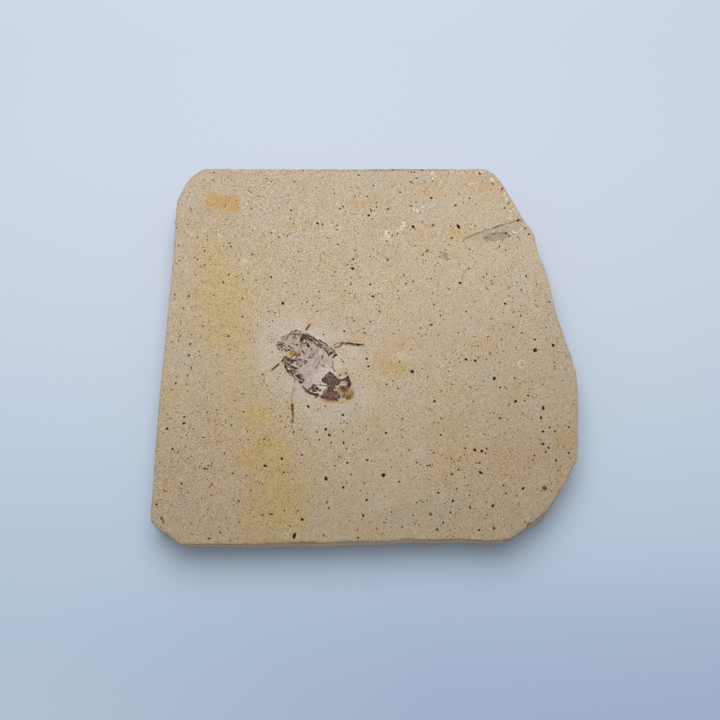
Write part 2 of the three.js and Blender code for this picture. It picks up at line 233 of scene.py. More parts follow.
# Marks: areas (tone, strength, softness, corners), nets of fine broken lines, or blotches where
# the stretch is 0 (tone, strength, size, slant, stretch, corners), strokes (tone, strength, width,
# course) and dots (tone, strength, radius, centre), all in mm on the bedding face.
FILM_AREAS = [
    ('cream', 0.55, 0.45, [(-8.33, -3.96), (-6.65, -4.36), (-5.9, -5.55), (-5.15, -7.12), (-4.77, -8.3), (-5.69, -9.08), (-7.17, -8.69), (-8.11, -8.1), (-8.49, -6.73), (-8.88, -5.15)]),
    ('lilac', 0.92, 0.28, [(-16.61, -1.27), (-14.75, -0.57), (-13.62, -0.97), (-11.72, -2.17), (-10.96, -3.17), (-8.89, -3.96), (-8.69, -5.74), (-8.49, -7.12), (-8.2, -8.1), (-9.78, -8.1), (-11.06, -9.27), (-11.59, -10.25), (-10.11, -11.02), (-12.69, -11.12), (-13.8, -11.02), (-14.52, -11.7), (-14.69, -12.18), (-15.44, -11.9), (-16.02, -10.64), (-15.48, -10.05), (-17.18, -8.59), (-17.96, -7.12), (-17.23, -6.53), (-18.38, -5.15), (-17.29, -4.36), (-16.55, -4.06), (-16.76, -2.97)]),
    ('whitelilac', 0.65, 0.5, [(-12.21, -6.73), (-9.8, -6.34), (-8.49, -7.12), (-8.29, -8.1), (-9.78, -8.1), (-11.06, -9.27), (-11.59, -10.44), (-12.69, -10.83), (-13.82, -9.86), (-13.47, -8.69)]),
    ('greybrown', 0.3, 0.3, [(-20.83, -4.36), (-18.39, -4.76), (-17.59, -7.12), (-15.48, -10.05), (-16.01, -10.83), (-17.15, -9.86), (-18.85, -8.3), (-20.19, -6.93)]),
    ('greenwhite', 0.7, 0.25, [(-16.2, -10.83), (-14.53, -11.22), (-13.8, -11.02), (-13.97, -11.8), (-14.5, -12.57), (-13.38, -13.34), (-11.73, -13.53), (-12.09, -13.92), (-13.74, -13.73), (-15.24, -12.57)]),
    ('olive', 0.55, 0.25, [(-21.7, 0.92), (-20.7, 1.43), (-19.77, 1.93), (-19.14, 1.93), (-19.75, 1.17), (-20.35, 0.42), (-21.28, -0.0), (-21.64, 0.33)]),
    ('olive', 0.35, 0.3, [(-19.77, 1.93), (-18.52, 2.27), (-16.95, 2.18), (-16.31, 1.76), (-17.72, 1.43), (-18.82, 1.59)]),
    ('taupe', 0.5, 0.4, [(-21.59, -0.25), (-19.75, 1.09), (-18.5, 1.43), (-16.92, 1.09), (-16.56, -0.75), (-16.53, -2.42), (-18.41, -2.09), (-19.96, -2.42), (-21.37, -2.26)]),
    ('peach', 0.8, 0.3, [(-21.67, -2.42), (-20.27, -2.42), (-19.64, -2.67), (-19.02, -2.42), (-18.17, -2.01), (-17.15, -2.42), (-16.51, -2.92), (-16.81, -3.5), (-17.59, -3.67), (-18.36, -3.91), (-19.91, -3.91), (-21.07, -4.08), (-21.87, -3.67), (-21.97, -2.92)]),
    ('ochre', 0.6, 0.3, [(-19.63, -2.75), (-17.92, -2.67), (-16.6, -2.42), (-16.58, -3.25), (-17.19, -3.75), (-18.67, -3.91), (-19.61, -3.58)]),
    ('redbrown', 0.85, 0.12, [(-16.66, 0.08), (-16.97, -0.0), (-16.83, 0.42), (-16.53, 0.92), (-16.3, 1.17), (-15.9, 1.09), (-15.52, 1.59), (-15.21, 1.76), (-14.85, 1.26), (-15.12, 1.09), (-15.51, 0.92), (-15.81, 0.42), (-16.35, 0.08)]),
    ('redbrown', 0.35, 0.25, [(-17.1, 1.93), (-15.37, 2.02), (-14.65, 1.34), (-14.88, 0.75), (-16.14, 1.09)]),
    ('rose', 0.5, 0.2, [(-15.51, 0.84), (-14.88, 1.01), (-14.63, 0.42), (-15.5, 0.42)]),
    ('tan', 0.85, 0.12, [(-10.58, -2.12), (-10.11, -1.71), (-9.41, -1.37), (-8.07, -2.79), (-7.99, -3.04), (-8.77, -3.12), (-9.31, -3.53), (-9.77, -3.7), (-10.1, -2.95)]),
    ('khaki', 0.6, 0.2, [(-10.58, -2.12), (-10.11, -1.71), (-9.33, -1.87), (-9.32, -2.62), (-9.78, -3.2), (-10.1, -2.95)]),
    ('greybrown', 0.35, 0.25, [(-15.09, 1.22), (-13.6, 1.06), (-12.02, 0.3), (-10.12, -1.12), (-10.42, -2.04), (-11.83, -1.87), (-13.25, -1.04), (-14.52, -0.04)]),
    ('cream', 0.7, 0.35, [(-8.36, -4.69), (-7.43, -4.36), (-6.73, -4.86), (-5.87, -6.09), (-5.55, -7.32), (-5.16, -8.69), (-8.17, -8.69), (-8.5, -6.5)]),
    ('straw', 0.5, 0.35, [(-7.21, -6.77), (-5.8, -7.34), (-4.71, -8.48), (-4.7, -9.28), (-6.65, -9.51), (-7.62, -9.05), (-8.06, -7.91)]),
    ('straw', 0.65, 0.4, [(-11.86, -14.13), (-7.14, -15.03), (-3.61, -13.8), (-3.72, -14.91), (-7.13, -15.81), (-10.77, -15.25)]),
    ('ochre', 0.8, 0.2, [(-7.7, -12.0), (-7.06, -11.43), (-6.63, -11.77), (-6.19, -12.45), (-5.66, -12.79), (-5.76, -13.35), (-6.08, -14.24), (-6.61, -13.8), (-7.15, -13.46), (-7.8, -13.01), (-7.91, -12.34)]),
    ('ochre', 0.85, 0.25, [(-5.33, -13.01), (-4.59, -12.0), (-4.16, -12.0), (-3.89, -12.67), (-3.56, -13.57), (-4.04, -14.47), (-5.0, -14.86), (-5.7, -14.47), (-5.54, -13.57)]),
    ('straw', 0.7, 0.2, [(-6.61, -13.8), (-5.76, -13.35), (-5.54, -14.47), (-6.29, -14.75), (-6.93, -14.36)]),
    ('film', 0.95, 0.06, [(-9.5, -8.01), (-8.69, -8.28), (-8.09, -9.02), (-7.47, -9.76), (-7.18, -10.3), (-7.23, -10.91), (-7.86, -11.55), (-8.24, -11.55), (-8.89, -11.21), (-9.54, -10.98), (-10.17, -10.67), (-11.07, -10.53), (-11.44, -10.02), (-11.09, -9.44), (-10.3, -8.48)]),
    ('filmred', 0.3, 0.2, [(-10.84, -10.19), (-9.34, -9.96), (-7.83, -10.3), (-7.28, -10.98), (-8.14, -11.43), (-9.33, -10.98), (-10.4, -10.87)]),
    ('film', 0.95, 0.08, [(-9.96, -11.55), (-9.54, -11.32), (-8.79, -11.21), (-8.35, -11.55), (-7.94, -12.0), (-8.0, -12.56), (-7.45, -12.92), (-7.05, -13.35), (-6.74, -13.84), (-6.91, -14.57), (-7.52, -15.08), (-8.64, -15.05), (-9.49, -14.86), (-10.35, -14.75), (-11.0, -14.49), (-11.48, -14.02), (-11.22, -13.57), (-10.59, -13.24), (-10.06, -12.67), (-9.96, -12.0)]),
    ('filmred', 0.35, 0.2, [(-11.43, -13.8), (-9.72, -13.8), (-8.22, -13.57), (-6.83, -14.02), (-7.14, -14.69), (-8.63, -15.14), (-10.35, -14.8)]),
    ('film', 0.95, 0.08, [(-4.82, -8.77), (-4.7, -9.51), (-4.59, -10.42), (-4.25, -11.1), (-4.64, -12.0), (-5.12, -12.96), (-5.66, -12.81), (-6.19, -12.39), (-6.63, -11.83), (-6.42, -11.43), (-5.77, -11.43), (-5.13, -10.98), (-5.13, -10.42), (-5.67, -10.19), (-6.32, -10.3), (-6.86, -10.08), (-5.89, -9.51), (-5.35, -9.17)]),
    ('film', 0.8, 0.08, [(-7.45, -9.96), (-6.75, -9.74), (-6.1, -9.85), (-6.64, -10.42), (-6.96, -10.87), (-7.28, -10.76)]),
    ('film', 0.75, 0.08, [(-8.15, -9.96), (-7.61, -9.96), (-7.5, -10.87), (-8.25, -10.98)]),
    ('greyfilm', 0.9, 0.1, [(-13.72, -11.77), (-13.52, -11.04), (-13.09, -11.15), (-12.54, -11.77), (-12.16, -12.22), (-12.4, -12.73), (-12.84, -13.03), (-13.49, -12.92), (-14.03, -12.62), (-14.73, -12.22), (-14.26, -11.89)]),
    ('white', 0.75, 0.1, [(-12.54, -11.55), (-12.01, -11.43), (-11.25, -11.55), (-10.02, -11.55), (-10.01, -11.94), (-10.81, -12.22), (-11.46, -12.45), (-12.1, -12.2)]),
    ('white', 0.6, 0.12, [(-11.56, -12.67), (-10.38, -12.56), (-10.06, -12.67), (-10.8, -13.24), (-11.44, -13.46), (-11.98, -13.24)]),
    ('pinkwhite', 0.85, 0.1, [(-7.01, -10.76), (-6.75, -10.36), (-6.1, -10.19), (-5.35, -10.3), (-5.02, -10.7), (-5.23, -11.15), (-5.88, -11.38), (-6.63, -11.21)]),
    ('pinkgrey', 0.6, 0.1, [(-6.42, -10.7), (-5.94, -10.53), (-5.56, -10.76), (-5.83, -11.04), (-6.31, -10.98)]),
    ('white', 0.6, 0.15, [(-7.29, -9.4), (-6.65, -8.94), (-5.68, -9.05), (-5.35, -9.28), (-6.0, -9.62), (-6.97, -9.74)]),
    ('white', 0.3, 0.3, [(-11.54, -6.77), (-9.38, -6.54), (-8.5, -7.46), (-9.58, -8.03), (-10.65, -8.71), (-11.49, -9.96), (-12.99, -10.98), (-13.85, -10.87), (-12.59, -9.05)]),
    ('olive', 0.55, 0.2, [(-21.65, 0.42), (-21.7, 0.92), (-21.32, 1.34), (-20.55, 1.59), (-19.93, 2.02), (-19.31, 2.18), (-18.83, 2.02), (-19.29, 1.59), (-19.75, 1.09), (-20.04, 0.42), (-20.5, 0.17), (-21.13, 0.08)]),
    ('bloom', 0.4, 0.2, [(-16.63, 1.93), (-16.25, 2.44), (-15.54, 2.44), (-14.67, 2.1), (-13.79, 1.51), (-13.94, 1.09), (-14.73, 1.26), (-15.53, 1.76), (-16.46, 1.59)]),
    ('redbrown', 0.92, 0.08, [(-17.01, -0.0), (-16.9, 0.33), (-16.6, 0.84), (-16.3, 1.09), (-15.9, 1.17), (-15.52, 1.51), (-15.09, 1.55), (-14.82, 1.3), (-15.04, 1.01), (-15.43, 0.92), (-15.66, 0.75), (-16.05, 0.67), (-16.28, 0.33), (-16.5, -0.0), (-16.77, -0.15)]),
    ('rose', 0.5, 0.12, [(-16.27, 0.17), (-16.05, 0.59), (-15.51, 0.84), (-15.04, 0.92), (-14.87, 0.59), (-15.34, 0.59), (-15.81, 0.33)]),
    ('rust', 0.3, 0.2, [(-16.53, -2.26), (-16.06, -2.09), (-15.97, -2.67), (-16.36, -2.84)]),
    ('bloom', 0.32, 0.2, [(-22.59, -0.75), (-21.96, -0.67), (-20.94, -0.75), (-20.3, -1.26), (-20.13, -1.92), (-20.75, -1.92), (-21.38, -1.92), (-22.07, -2.09), (-22.4, -1.59)]),
    ('gold', 0.26, 0.2, [(-19.64, -2.67), (-19.02, -2.42), (-17.92, -2.67), (-16.84, -2.42), (-16.59, -3.09), (-17.12, -3.75), (-17.73, -3.91), (-18.67, -3.83), (-19.46, -3.33)]),
    ('peach', 0.6, 0.2, [(-21.66, -2.67), (-21.13, -2.42), (-20.41, -2.92), (-20.23, -3.58), (-20.85, -3.67), (-21.48, -3.42), (-21.87, -3.58)]),
    ('bloom', 0.42, 0.2, [(-21.1, -5.49), (-20.83, -4.25), (-20.06, -4.0), (-18.97, -4.09), (-18.87, -4.66), (-19.32, -5.41), (-18.99, -6.06), (-20.01, -5.49), (-20.78, -5.73)]),
    ('bloom', 0.33, 0.2, [(-20.38, -6.23), (-19.6, -6.56), (-17.86, -7.7), (-17.07, -8.52), (-15.98, -8.68), (-15.34, -9.98), (-16.1, -10.14), (-17.04, -9.82), (-18.13, -9.25), (-19.15, -8.68), (-19.86, -8.03)]),
    ('greyfilm', 0.8, 0.08, [(-14.67, -12.4), (-14.37, -12.0), (-13.83, -12.08), (-13.69, -11.43), (-13.39, -11.11), (-12.92, -11.43), (-12.61, -11.84), (-12.14, -12.24), (-12.37, -12.48), (-12.91, -12.4), (-12.59, -12.96), (-13.28, -13.04), (-13.82, -12.8), (-14.36, -12.64)]),
    ('bloom', 0.36, 0.2, [(-14.47, 1.2), (-13.6, 1.04), (-12.49, 0.2), (-11.85, -0.31), (-10.59, -1.14), (-10.19, -1.64), (-10.65, -2.14), (-11.67, -1.73), (-12.93, -1.14), (-13.57, -0.31), (-14.29, 0.2)]),
    ('straw', 0.35, 0.3, [(-11.35, -2.14), (-10.57, -2.31), (-10.17, -3.14), (-10.87, -3.55), (-11.19, -2.81)]),
    ('tan', 0.6, 0.1, [(-10.5, -1.98), (-9.8, -1.56), (-9.33, -1.48), (-8.55, -2.14), (-8.07, -2.64), (-8.38, -3.06), (-8.93, -2.89), (-9.39, -3.39), (-9.78, -3.55), (-10.18, -2.81)]),
    ('khaki', 0.5, 0.15, [(-9.95, -1.98), (-9.33, -1.98), (-9.32, -2.64), (-9.78, -3.06), (-10.18, -2.64), (-10.5, -2.14)]),
    ('greybrown', 0.8, 0.08, [(-7.15, -1.23), (-7.07, -0.81), (-6.77, -0.31), (-6.3, -0.22), (-5.9, -0.31), (-5.9, -0.56), (-6.29, -0.72), (-6.68, -1.06)]),
    ('white', 0.45, 0.15, [(-11.31, -9.47), (-10.71, -8.66), (-9.79, -7.76), (-9.33, -7.6), (-8.09, -8.01), (-7.77, -8.82), (-8.08, -8.82), (-8.86, -8.33), (-9.48, -8.01), (-10.4, -8.74), (-11.08, -9.47), (-11.3, -10.12)]),
    ('film', 0.95, 0.05, [(-11.38, -10.16), (-11.19, -9.79), (-10.93, -9.47), (-10.7, -9.15), (-10.47, -8.82), (-10.09, -8.58), (-9.79, -8.33), (-9.48, -8.05), (-9.17, -8.29), (-8.78, -8.41), (-8.47, -8.66), (-8.2, -9.06), (-7.92, -9.39), (-7.65, -9.71), (-7.3, -9.88), (-6.92, -9.92), (-6.91, -10.32), (-6.99, -10.77), (-7.1, -11.09), (-7.44, -11.37), (-7.83, -11.33), (-8.06, -10.93), (-8.45, -10.93), (-8.75, -10.85), (-8.98, -10.97), (-9.37, -11.09), (-9.75, -11.25), (-10.06, -11.13), (-10.37, -10.85), (-10.83, -10.89), (-11.18, -10.69)]),
    ('film', 0.95, 0.05, [(-10.06, -11.09), (-9.45, -10.93), (-8.83, -10.85), (-8.52, -11.09), (-8.21, -11.49), (-7.98, -11.82), (-8.12, -12.3), (-8.51, -12.3), (-8.35, -12.62), (-8.04, -12.86), (-7.73, -13.18), (-7.27, -13.5), (-6.88, -13.98), (-6.73, -14.46), (-7.26, -14.78), (-7.72, -15.0), (-9.24, -15.26), (-10.31, -15.0), (-11.0, -14.62), (-11.54, -14.38), (-11.47, -13.9), (-11.02, -13.58), (-10.49, -13.26), (-10.11, -12.86), (-9.97, -12.22), (-9.97, -11.65)]),
    ('film', 0.95, 0.05, [(-7.38, -10.12), (-6.92, -9.88), (-6.38, -9.84), (-5.84, -9.63), (-5.46, -9.23), (-4.96, -8.74), (-4.76, -9.31), (-4.61, -9.96), (-4.49, -10.44), (-4.1, -10.85), (-4.22, -11.33), (-4.6, -11.65), (-4.83, -12.22), (-5.13, -12.94), (-5.51, -12.86), (-5.9, -12.54), (-6.36, -12.3), (-6.9, -11.9), (-6.83, -11.49), (-6.37, -11.57), (-5.83, -11.49), (-5.29, -11.17), (-5.03, -10.77), (-5.3, -10.28), (-5.99, -10.16), (-6.61, -10.28), (-6.99, -10.52)]),
    ('filmred', 0.75, 0.12, [(-10.38, -10.44), (-9.76, -10.12), (-8.84, -10.28), (-8.07, -10.52), (-7.75, -10.85), (-8.06, -10.93), (-8.98, -10.93), (-9.75, -11.17), (-10.37, -10.85)]),
    ('filmred', 0.7, 0.15, [(-9.72, -13.66), (-8.8, -13.82), (-7.73, -13.5), (-6.96, -13.98), (-6.88, -14.62), (-7.72, -15.0), (-10.01, -15.0), (-10.78, -14.62)]),
    ('filmred', 0.6, 0.12, [(-6.21, -11.9), (-5.44, -11.65), (-4.68, -11.49), (-4.98, -12.3), (-5.44, -12.7), (-6.05, -12.38)]),
    ('pinkwhite', 0.92, 0.08, [(-6.76, -10.77), (-6.6, -10.44), (-6.14, -10.24), (-5.61, -10.24), (-5.18, -10.44), (-5.06, -10.77), (-5.29, -11.09), (-5.75, -11.41), (-6.14, -11.57), (-6.37, -11.33), (-6.68, -11.17)]),
    ('pinkgrey', 0.75, 0.08, [(-6.37, -10.77), (-6.07, -10.52), (-5.6, -10.52), (-5.37, -10.77), (-5.68, -11.01), (-6.14, -10.93)]),
    ('straw', 0.6, 0.15, [(-7.9, -11.98), (-6.98, -11.41), (-6.52, -12.06), (-5.67, -12.78), (-6.12, -13.98), (-6.35, -14.46), (-6.89, -13.82), (-7.58, -13.02)]),
    ('ochre', 0.45, 0.2, [(-7.74, -12.06), (-7.28, -11.98), (-6.9, -12.46), (-7.28, -12.86), (-7.66, -12.62)]),
    ('orange', 0.45, 0.2, [(-5.13, -13.02), (-4.75, -12.46), (-4.44, -11.9), (-4.06, -11.82), (-3.75, -12.54), (-3.75, -13.18), (-4.05, -13.82), (-4.67, -13.98), (-5.13, -13.66)]),
    ('orange', 0.5, 0.15, [(-4.67, -13.02), (-4.29, -12.86), (-4.13, -13.34), (-4.51, -13.58)]),
    ('rust', 0.5, 0.15, [(-4.52, -11.9), (-4.06, -11.73), (-4.14, -12.38), (-4.52, -12.54)]),
    ('redbrown', 0.85, 0.12, [(-17.0, 0.04), (-16.77, 0.88), (-16.11, 1.6), (-15.02, 1.89), (-14.43, 1.43), (-14.77, 0.98), (-15.39, 0.98), (-15.82, 0.61), (-16.22, 0.17), (-16.7, -0.09)]),
    ('umber', 0.5, 0.12, [(-16.93, -0.16), (-16.31, 0.01), (-15.7, 0.51), (-14.76, 0.84), (-14.12, 0.17), (-14.74, -0.16), (-15.53, 0.01), (-16.3, -0.5)]),
    ('plum', 0.55, 0.1, [(-16.93, -0.0), (-16.65, 1.09), (-15.95, 1.74), (-14.94, 2.07), (-14.21, 1.48), (-14.91, 0.65), (-15.92, 0.21), (-16.51, -0.33)]),
    ('whitelilac', 0.4, 0.3, [(-11.16, -4.33), (-9.55, -4.11), (-8.52, -5.62), (-8.71, -7.11), (-10.12, -6.47), (-11.14, -5.62)]),
    ('amber', 0.5, 0.12, [(-7.86, -11.65), (-7.36, -11.44), (-6.96, -11.96), (-6.45, -12.59), (-6.75, -13.01), (-7.45, -12.69), (-7.95, -12.28)]),
    ('amber', 0.3, 0.15, [(-4.76, -12.07), (-4.06, -11.75), (-3.76, -12.8), (-3.96, -13.63), (-4.56, -13.22), (-4.86, -12.69)]),
]
# The white strokes are partly film-free pale stone and partly painted highlights along the crests of ridges that
# insect_relief also raises.
FILM_STROKES = [
    ('legbrown', 0.95, 0.34, [(-15.4, 3.03), (-15.09, 3.54), (-14.44, 4.6)]),
    ('black', 0.7, 0.27, [(-15.46, 2.93), (-15.23, 3.33)]),
    ('black', 0.9, 0.28, [(-23.19, -7.08), (-22.55, -6.51), (-21.79, -5.93)]),
    ('greybrown', 0.5, 0.19, [(-23.67, -7.57), (-23.19, -7.08)]),
    ('umber', 0.75, 0.24, [(-19.3, 1.97), (-18.51, 1.91), (-17.72, 1.59), (-17.17, 1.66), (-16.47, 1.76)]),
    ('umber', 0.7, 0.22, [(-20.35, 0.42), (-19.98, 0.92), (-19.76, 1.43), (-19.3, 1.85)]),
    ('umber', 0.8, 0.25, [(-19.16, 2.4), (-18.85, 2.69)]),
    ('black', 0.85, 0.3, [(-15.86, -0.84), (-15.25, -0.25)]),
    ('grey', 0.7, 0.22, [(-16.4, -0.92), (-16.46, -1.84)]),
    ('umber', 0.85, 0.27, [(-16.3, -2.26), (-16.09, -2.59), (-15.72, -3.42)]),
    ('umber', 0.8, 0.22, [(-20.75, -1.92), (-20.38, -2.46), (-20.11, -2.63)]),
    ('darkgrey', 0.85, 0.28, [(-19.65, -1.05), (-19.28, -1.51), (-18.96, -1.76)]),
    ('umber', 0.8, 0.21, [(-19.28, -1.59), (-18.61, -1.86)]),
    ('redbrown', 0.9, 0.34, [(-19.69, -2.35), (-19.18, -2.17)]),
    ('umber', 0.7, 0.19, [(-18.68, -0.5), (-18.2, -0.94)]),
    ('gold', 0.9, 0.28, [(-18.13, -3.75), (-17.99, -3.19), (-17.56, -3.13)]),
    ('gold', 0.8, 0.3, [(-19.39, -3.13), (-19.08, -3.25)]),
    ('dark', 0.9, 0.3, [(-19.99, -3.96), (-20.6, -4.16), (-20.82, -4.66), (-21.03, -5.4)]),
    ('umber', 0.7, 0.18, [(-19.89, -4.66), (-19.51, -4.33)]),
    ('black', 0.9, 0.33, [(-19.76, -5.11), (-19.19, -4.7)]),
    ('dark', 0.85, 0.27, [(-20.67, -5.73), (-19.94, -5.65), (-19.54, -6.06), (-19.11, -6.32)]),
    ('darkgrey', 0.8, 0.33, [(-19.34, -5.46), (-18.75, -5.83)]),
    ('umber', 0.7, 0.22, [(-17.8, -4.33), (-17.42, -4.04), (-16.92, -3.71)]),
    ('umber', 0.75, 0.25, [(-15.61, -5.11), (-15.22, -5.11), (-14.99, -5.52)]),
    ('umber', 0.8, 0.25, [(-16.66, -6.61), (-16.2, -6.26), (-15.89, -6.18)]),
    ('dark', 0.85, 0.39, [(-20.39, -6.14), (-20.13, -7.04)]),
    ('dark', 0.75, 0.45, [(-19.82, -7.12), (-19.6, -7.92), (-19.17, -8.18)]),
    ('umber', 0.75, 0.33, [(-18.9, -6.79), (-18.12, -7.0), (-17.27, -6.96)]),
    ('white', 0.7, 0.22, [(-19.07, -6.22), (-18.06, -6.15), (-17.28, -6.65)]),
    ('white', 0.6, 0.19, [(-19.51, -7.04), (-19.11, -7.37)]),
    ('violet', 0.7, 0.19, [(-13.96, -1.84), (-14.11, -2.42)]),
    ('violet', 0.85, 0.28, [(-13.45, -3.25), (-13.67, -3.87)]),
    ('violet', 0.75, 0.22, [(-14.97, -3.83), (-14.54, -4.37), (-13.68, -4.33), (-13.22, -4.12)]),
    ('violet', 0.5, 0.15, [(-14.55, -3.5), (-14.07, -4.16)]),
    ('white', 0.5, 0.13, [(-14.86, -3.58), (-14.23, -4.24)]),
    ('dark', 0.85, 0.25, [(-12.26, 0.59), (-11.82, 0.03), (-11.23, -0.29), (-10.67, -0.62), (-10.0, -1.16)]),
    ('bronze', 0.85, 0.19, [(-9.49, -1.46), (-8.94, -1.87), (-8.39, -2.29), (-8.03, -2.91)]),
    ('dark', 0.85, 0.24, [(-13.8, 1.01), (-13.2, 0.64), (-12.64, 0.05), (-12.24, -0.45), (-12.06, -0.72), (-11.41, -0.81)]),
    ('umber', 0.85, 0.25, [(-14.81, 0.85), (-14.29, 0.38), (-13.95, -0.05)]),
    ('umber', 0.75, 0.22, [(-14.39, 1.43), (-14.15, 0.93)]),
    ('dark', 0.75, 0.24, [(-13.12, -0.16), (-13.02, -0.71), (-12.7, -1.16), (-12.23, -1.22), (-11.83, -1.64), (-11.48, -1.72)]),
    ('dark', 0.85, 0.25, [(-11.68, -1.12), (-11.21, -1.62), (-10.65, -2.21)]),
    ('umber', 0.85, 0.24, [(-10.65, -2.21), (-10.37, -2.64), (-10.01, -3.29), (-9.78, -3.62)]),
    ('greybrown', 0.7, 0.19, [(-11.1, -1.0), (-10.39, -1.5)]),
    ('white', 0.6, 0.15, [(-11.85, -0.37), (-11.22, -0.71), (-10.35, -1.37)]),
    ('white', 0.5, 0.13, [(-11.37, -1.16), (-10.82, -1.64)]),
    ('white', 0.6, 0.12, [(-13.13, 1.14), (-12.34, 0.8), (-11.39, 0.22), (-10.13, -0.71), (-9.02, -1.54), (-8.08, -2.37)]),
    ('dark', 0.9, 0.3, [(-9.66, -3.33), (-9.31, -3.2), (-9.01, -2.94), (-8.65, -2.97)]),
    ('dark', 0.95, 0.42, [(-7.68, -3.45), (-8.1, -3.66), (-8.49, -4.03)]),
    ('dark', 0.9, 0.3, [(-8.49, -4.03), (-8.6, -4.48)]),
    ('greybrown', 0.5, 0.15, [(-8.91, -4.86), (-8.74, -5.68), (-8.58, -6.42)]),
    ('violet', 0.8, 0.22, [(-11.29, -3.66), (-11.23, -4.2), (-11.49, -4.67)]),
    ('umber', 0.5, 0.22, [(-11.07, -3.04), (-11.01, -3.33)]),
    ('violet', 0.7, 0.18, [(-11.91, -5.35), (-12.31, -5.84), (-12.72, -6.35)]),
    ('dark', 0.85, 0.24, [(-8.61, -7.2), (-8.19, -7.91)]),
    ('oliveline', 0.7, 0.19, [(-7.01, -4.4), (-6.65, -4.94), (-6.26, -5.27), (-6.01, -5.97)]),
    ('rose', 0.35, 0.16, [(-10.53, -5.1), (-10.6, -5.93)]),
    ('rose', 0.35, 0.16, [(-9.92, -4.53), (-10.14, -5.68)]),
    ('rose', 0.35, 0.18, [(-9.37, -5.02), (-9.51, -5.93)]),
    ('legbrown', 0.8, 0.25, [(-8.4, -1.62), (-7.74, -1.47), (-7.08, -1.29), (-6.65, -1.04)]),
    ('greybrown', 0.75, 0.13, [(-8.67, -1.08), (-8.06, -0.71), (-7.59, -0.35), (-7.05, -0.27)]),
    ('greybrown', 0.8, 0.46, [(-6.96, -1.0), (-6.58, -0.66), (-6.03, -0.47)]),
    ('legbrown', 0.7, 0.28, [(-5.71, -0.86), (-5.25, -0.55), (-4.82, -0.31)]),
    ('legblack', 0.95, 0.46, [(-4.74, -0.71), (-4.31, -0.6), (-3.78, -0.73)]),
    ('legblack', 0.9, 0.34, [(-3.37, -0.89), (-3.02, -0.81)]),
    ('legbrown', 0.85, 0.32, [(-3.02, -0.83), (-2.43, -0.89), (-1.88, -0.87)]),
    ('legblack', 0.9, 0.32, [(-1.88, -0.86), (-1.16, -0.77)]),
    ('greybrown', 0.7, 0.18, [(-3.51, -1.11), (-3.56, -1.5)]),
    ('dark', 0.3, 0.19, [(-10.96, -9.62), (-10.48, -8.94), (-9.9, -8.37), (-9.58, -8.12), (-9.03, -8.37), (-8.27, -9.05), (-7.78, -9.68)]),
    ('dark', 0.2, 0.17, [(-11.01, -9.74), (-11.38, -10.25), (-11.0, -10.64)]),
    ('dark', 0.8, 0.27, [(-7.28, -9.15), (-6.74, -8.6)]),
    ('oliveline', 0.9, 0.27, [(-5.63, -12.96), (-5.81, -13.57), (-6.08, -14.24)]),
    ('dark', 0.8, 0.17, [(-12.98, -11.43), (-12.01, -11.3), (-11.04, -11.46), (-10.02, -11.46)]),
    ('grey', 0.7, 0.27, [(-11.02, -12.62), (-10.33, -12.31)]),
    ('white', 0.8, 0.19, [(-12.52, -12.81), (-12.09, -13.03), (-11.54, -13.57)]),
    ('black', 0.8, 0.23, [(-12.75, -11.94), (-12.26, -12.31)]),
    ('black', 0.9, 0.31, [(-17.01, -10.3), (-16.31, -10.67)]),
    ('dark', 0.85, 0.23, [(-16.12, -11.43), (-15.76, -11.89), (-15.32, -12.34), (-14.66, -12.99)]),
    ('umber', 0.9, 0.42, [(-14.66, -12.99), (-13.8, -13.44), (-12.94, -13.66), (-12.17, -13.57)]),
    ('white', 0.35, 0.15, [(-14.67, -12.58), (-14.24, -12.9), (-12.94, -13.19), (-12.25, -13.15)]),
    ('dark', 0.8, 0.36, [(-19.1, -7.78), (-18.44, -8.37), (-17.88, -8.94), (-17.23, -9.3), (-16.46, -9.65), (-15.61, -10.17)]),
    ('umber', 0.85, 0.27, [(-17.67, -8.85), (-16.91, -8.77), (-16.03, -8.69)]),
    ('umber', 0.7, 0.19, [(-18.77, -8.16), (-18.1, -8.85), (-17.43, -9.65)]),
    ('white', 0.5, 0.17, [(-18.22, -8.37), (-17.54, -9.74)]),
    ('umber', 0.6, 0.23, [(-19.12, -7.34), (-18.46, -7.57), (-17.91, -7.82)]),
    ('dark', 0.6, 0.21, [(-19.34, -7.0), (-18.68, -7.34)]),
    ('dark', 0.8, 0.29, [(-19.88, -7.21), (-19.03, -7.8), (-18.55, -8.49), (-18.14, -9.12), (-17.78, -9.41)]),
    ('umber', 0.8, 0.25, [(-19.39, -8.0), (-19.19, -8.49), (-18.95, -8.83)]),
    ('white', 0.6, 0.16, [(-18.26, -8.68), (-17.78, -9.27), (-17.35, -9.8)]),
    ('umber', 0.75, 0.2, [(-18.86, -7.21), (-18.2, -7.7), (-17.72, -8.0)]),
    ('oliveline', 0.55, 0.23, [(-17.83, -11.6), (-18.34, -12.66), (-18.58, -13.77)]),
    ('oliveline', 0.3, 0.16, [(-17.62, -11.98), (-17.75, -13.33)]),
    ('oliveline', 0.25, 0.22, [(-18.53, -14.1), (-18.55, -15.15), (-18.42, -15.82)]),
    ('legblack', 1.0, 0.5, [(-18.39, -15.84), (-18.32, -16.68), (-18.2, -17.77)]),
    ('legbrown', 0.75, 0.39, [(-18.15, -17.91), (-18.04, -18.57), (-17.98, -19.28)]),
    ('legbrown', 0.55, 0.33, [(-17.98, -19.28), (-18.37, -19.71)]),
    ('legdark', 0.85, 0.39, [(-18.14, -19.89), (-18.12, -20.69)]),
    ('oliveline', 0.6, 0.22, [(-20.35, 0.25), (-20.05, 0.67), (-19.82, 1.09)]),
    ('oliveline', 0.5, 0.18, [(-19.75, 1.17), (-19.36, 1.43)]),
    ('umber', 0.7, 0.25, [(-19.62, 2.02), (-19.3, 1.83), (-19.17, 1.68)]),
    ('umber', 0.8, 0.3, [(-19.19, 2.4), (-18.85, 2.65)]),
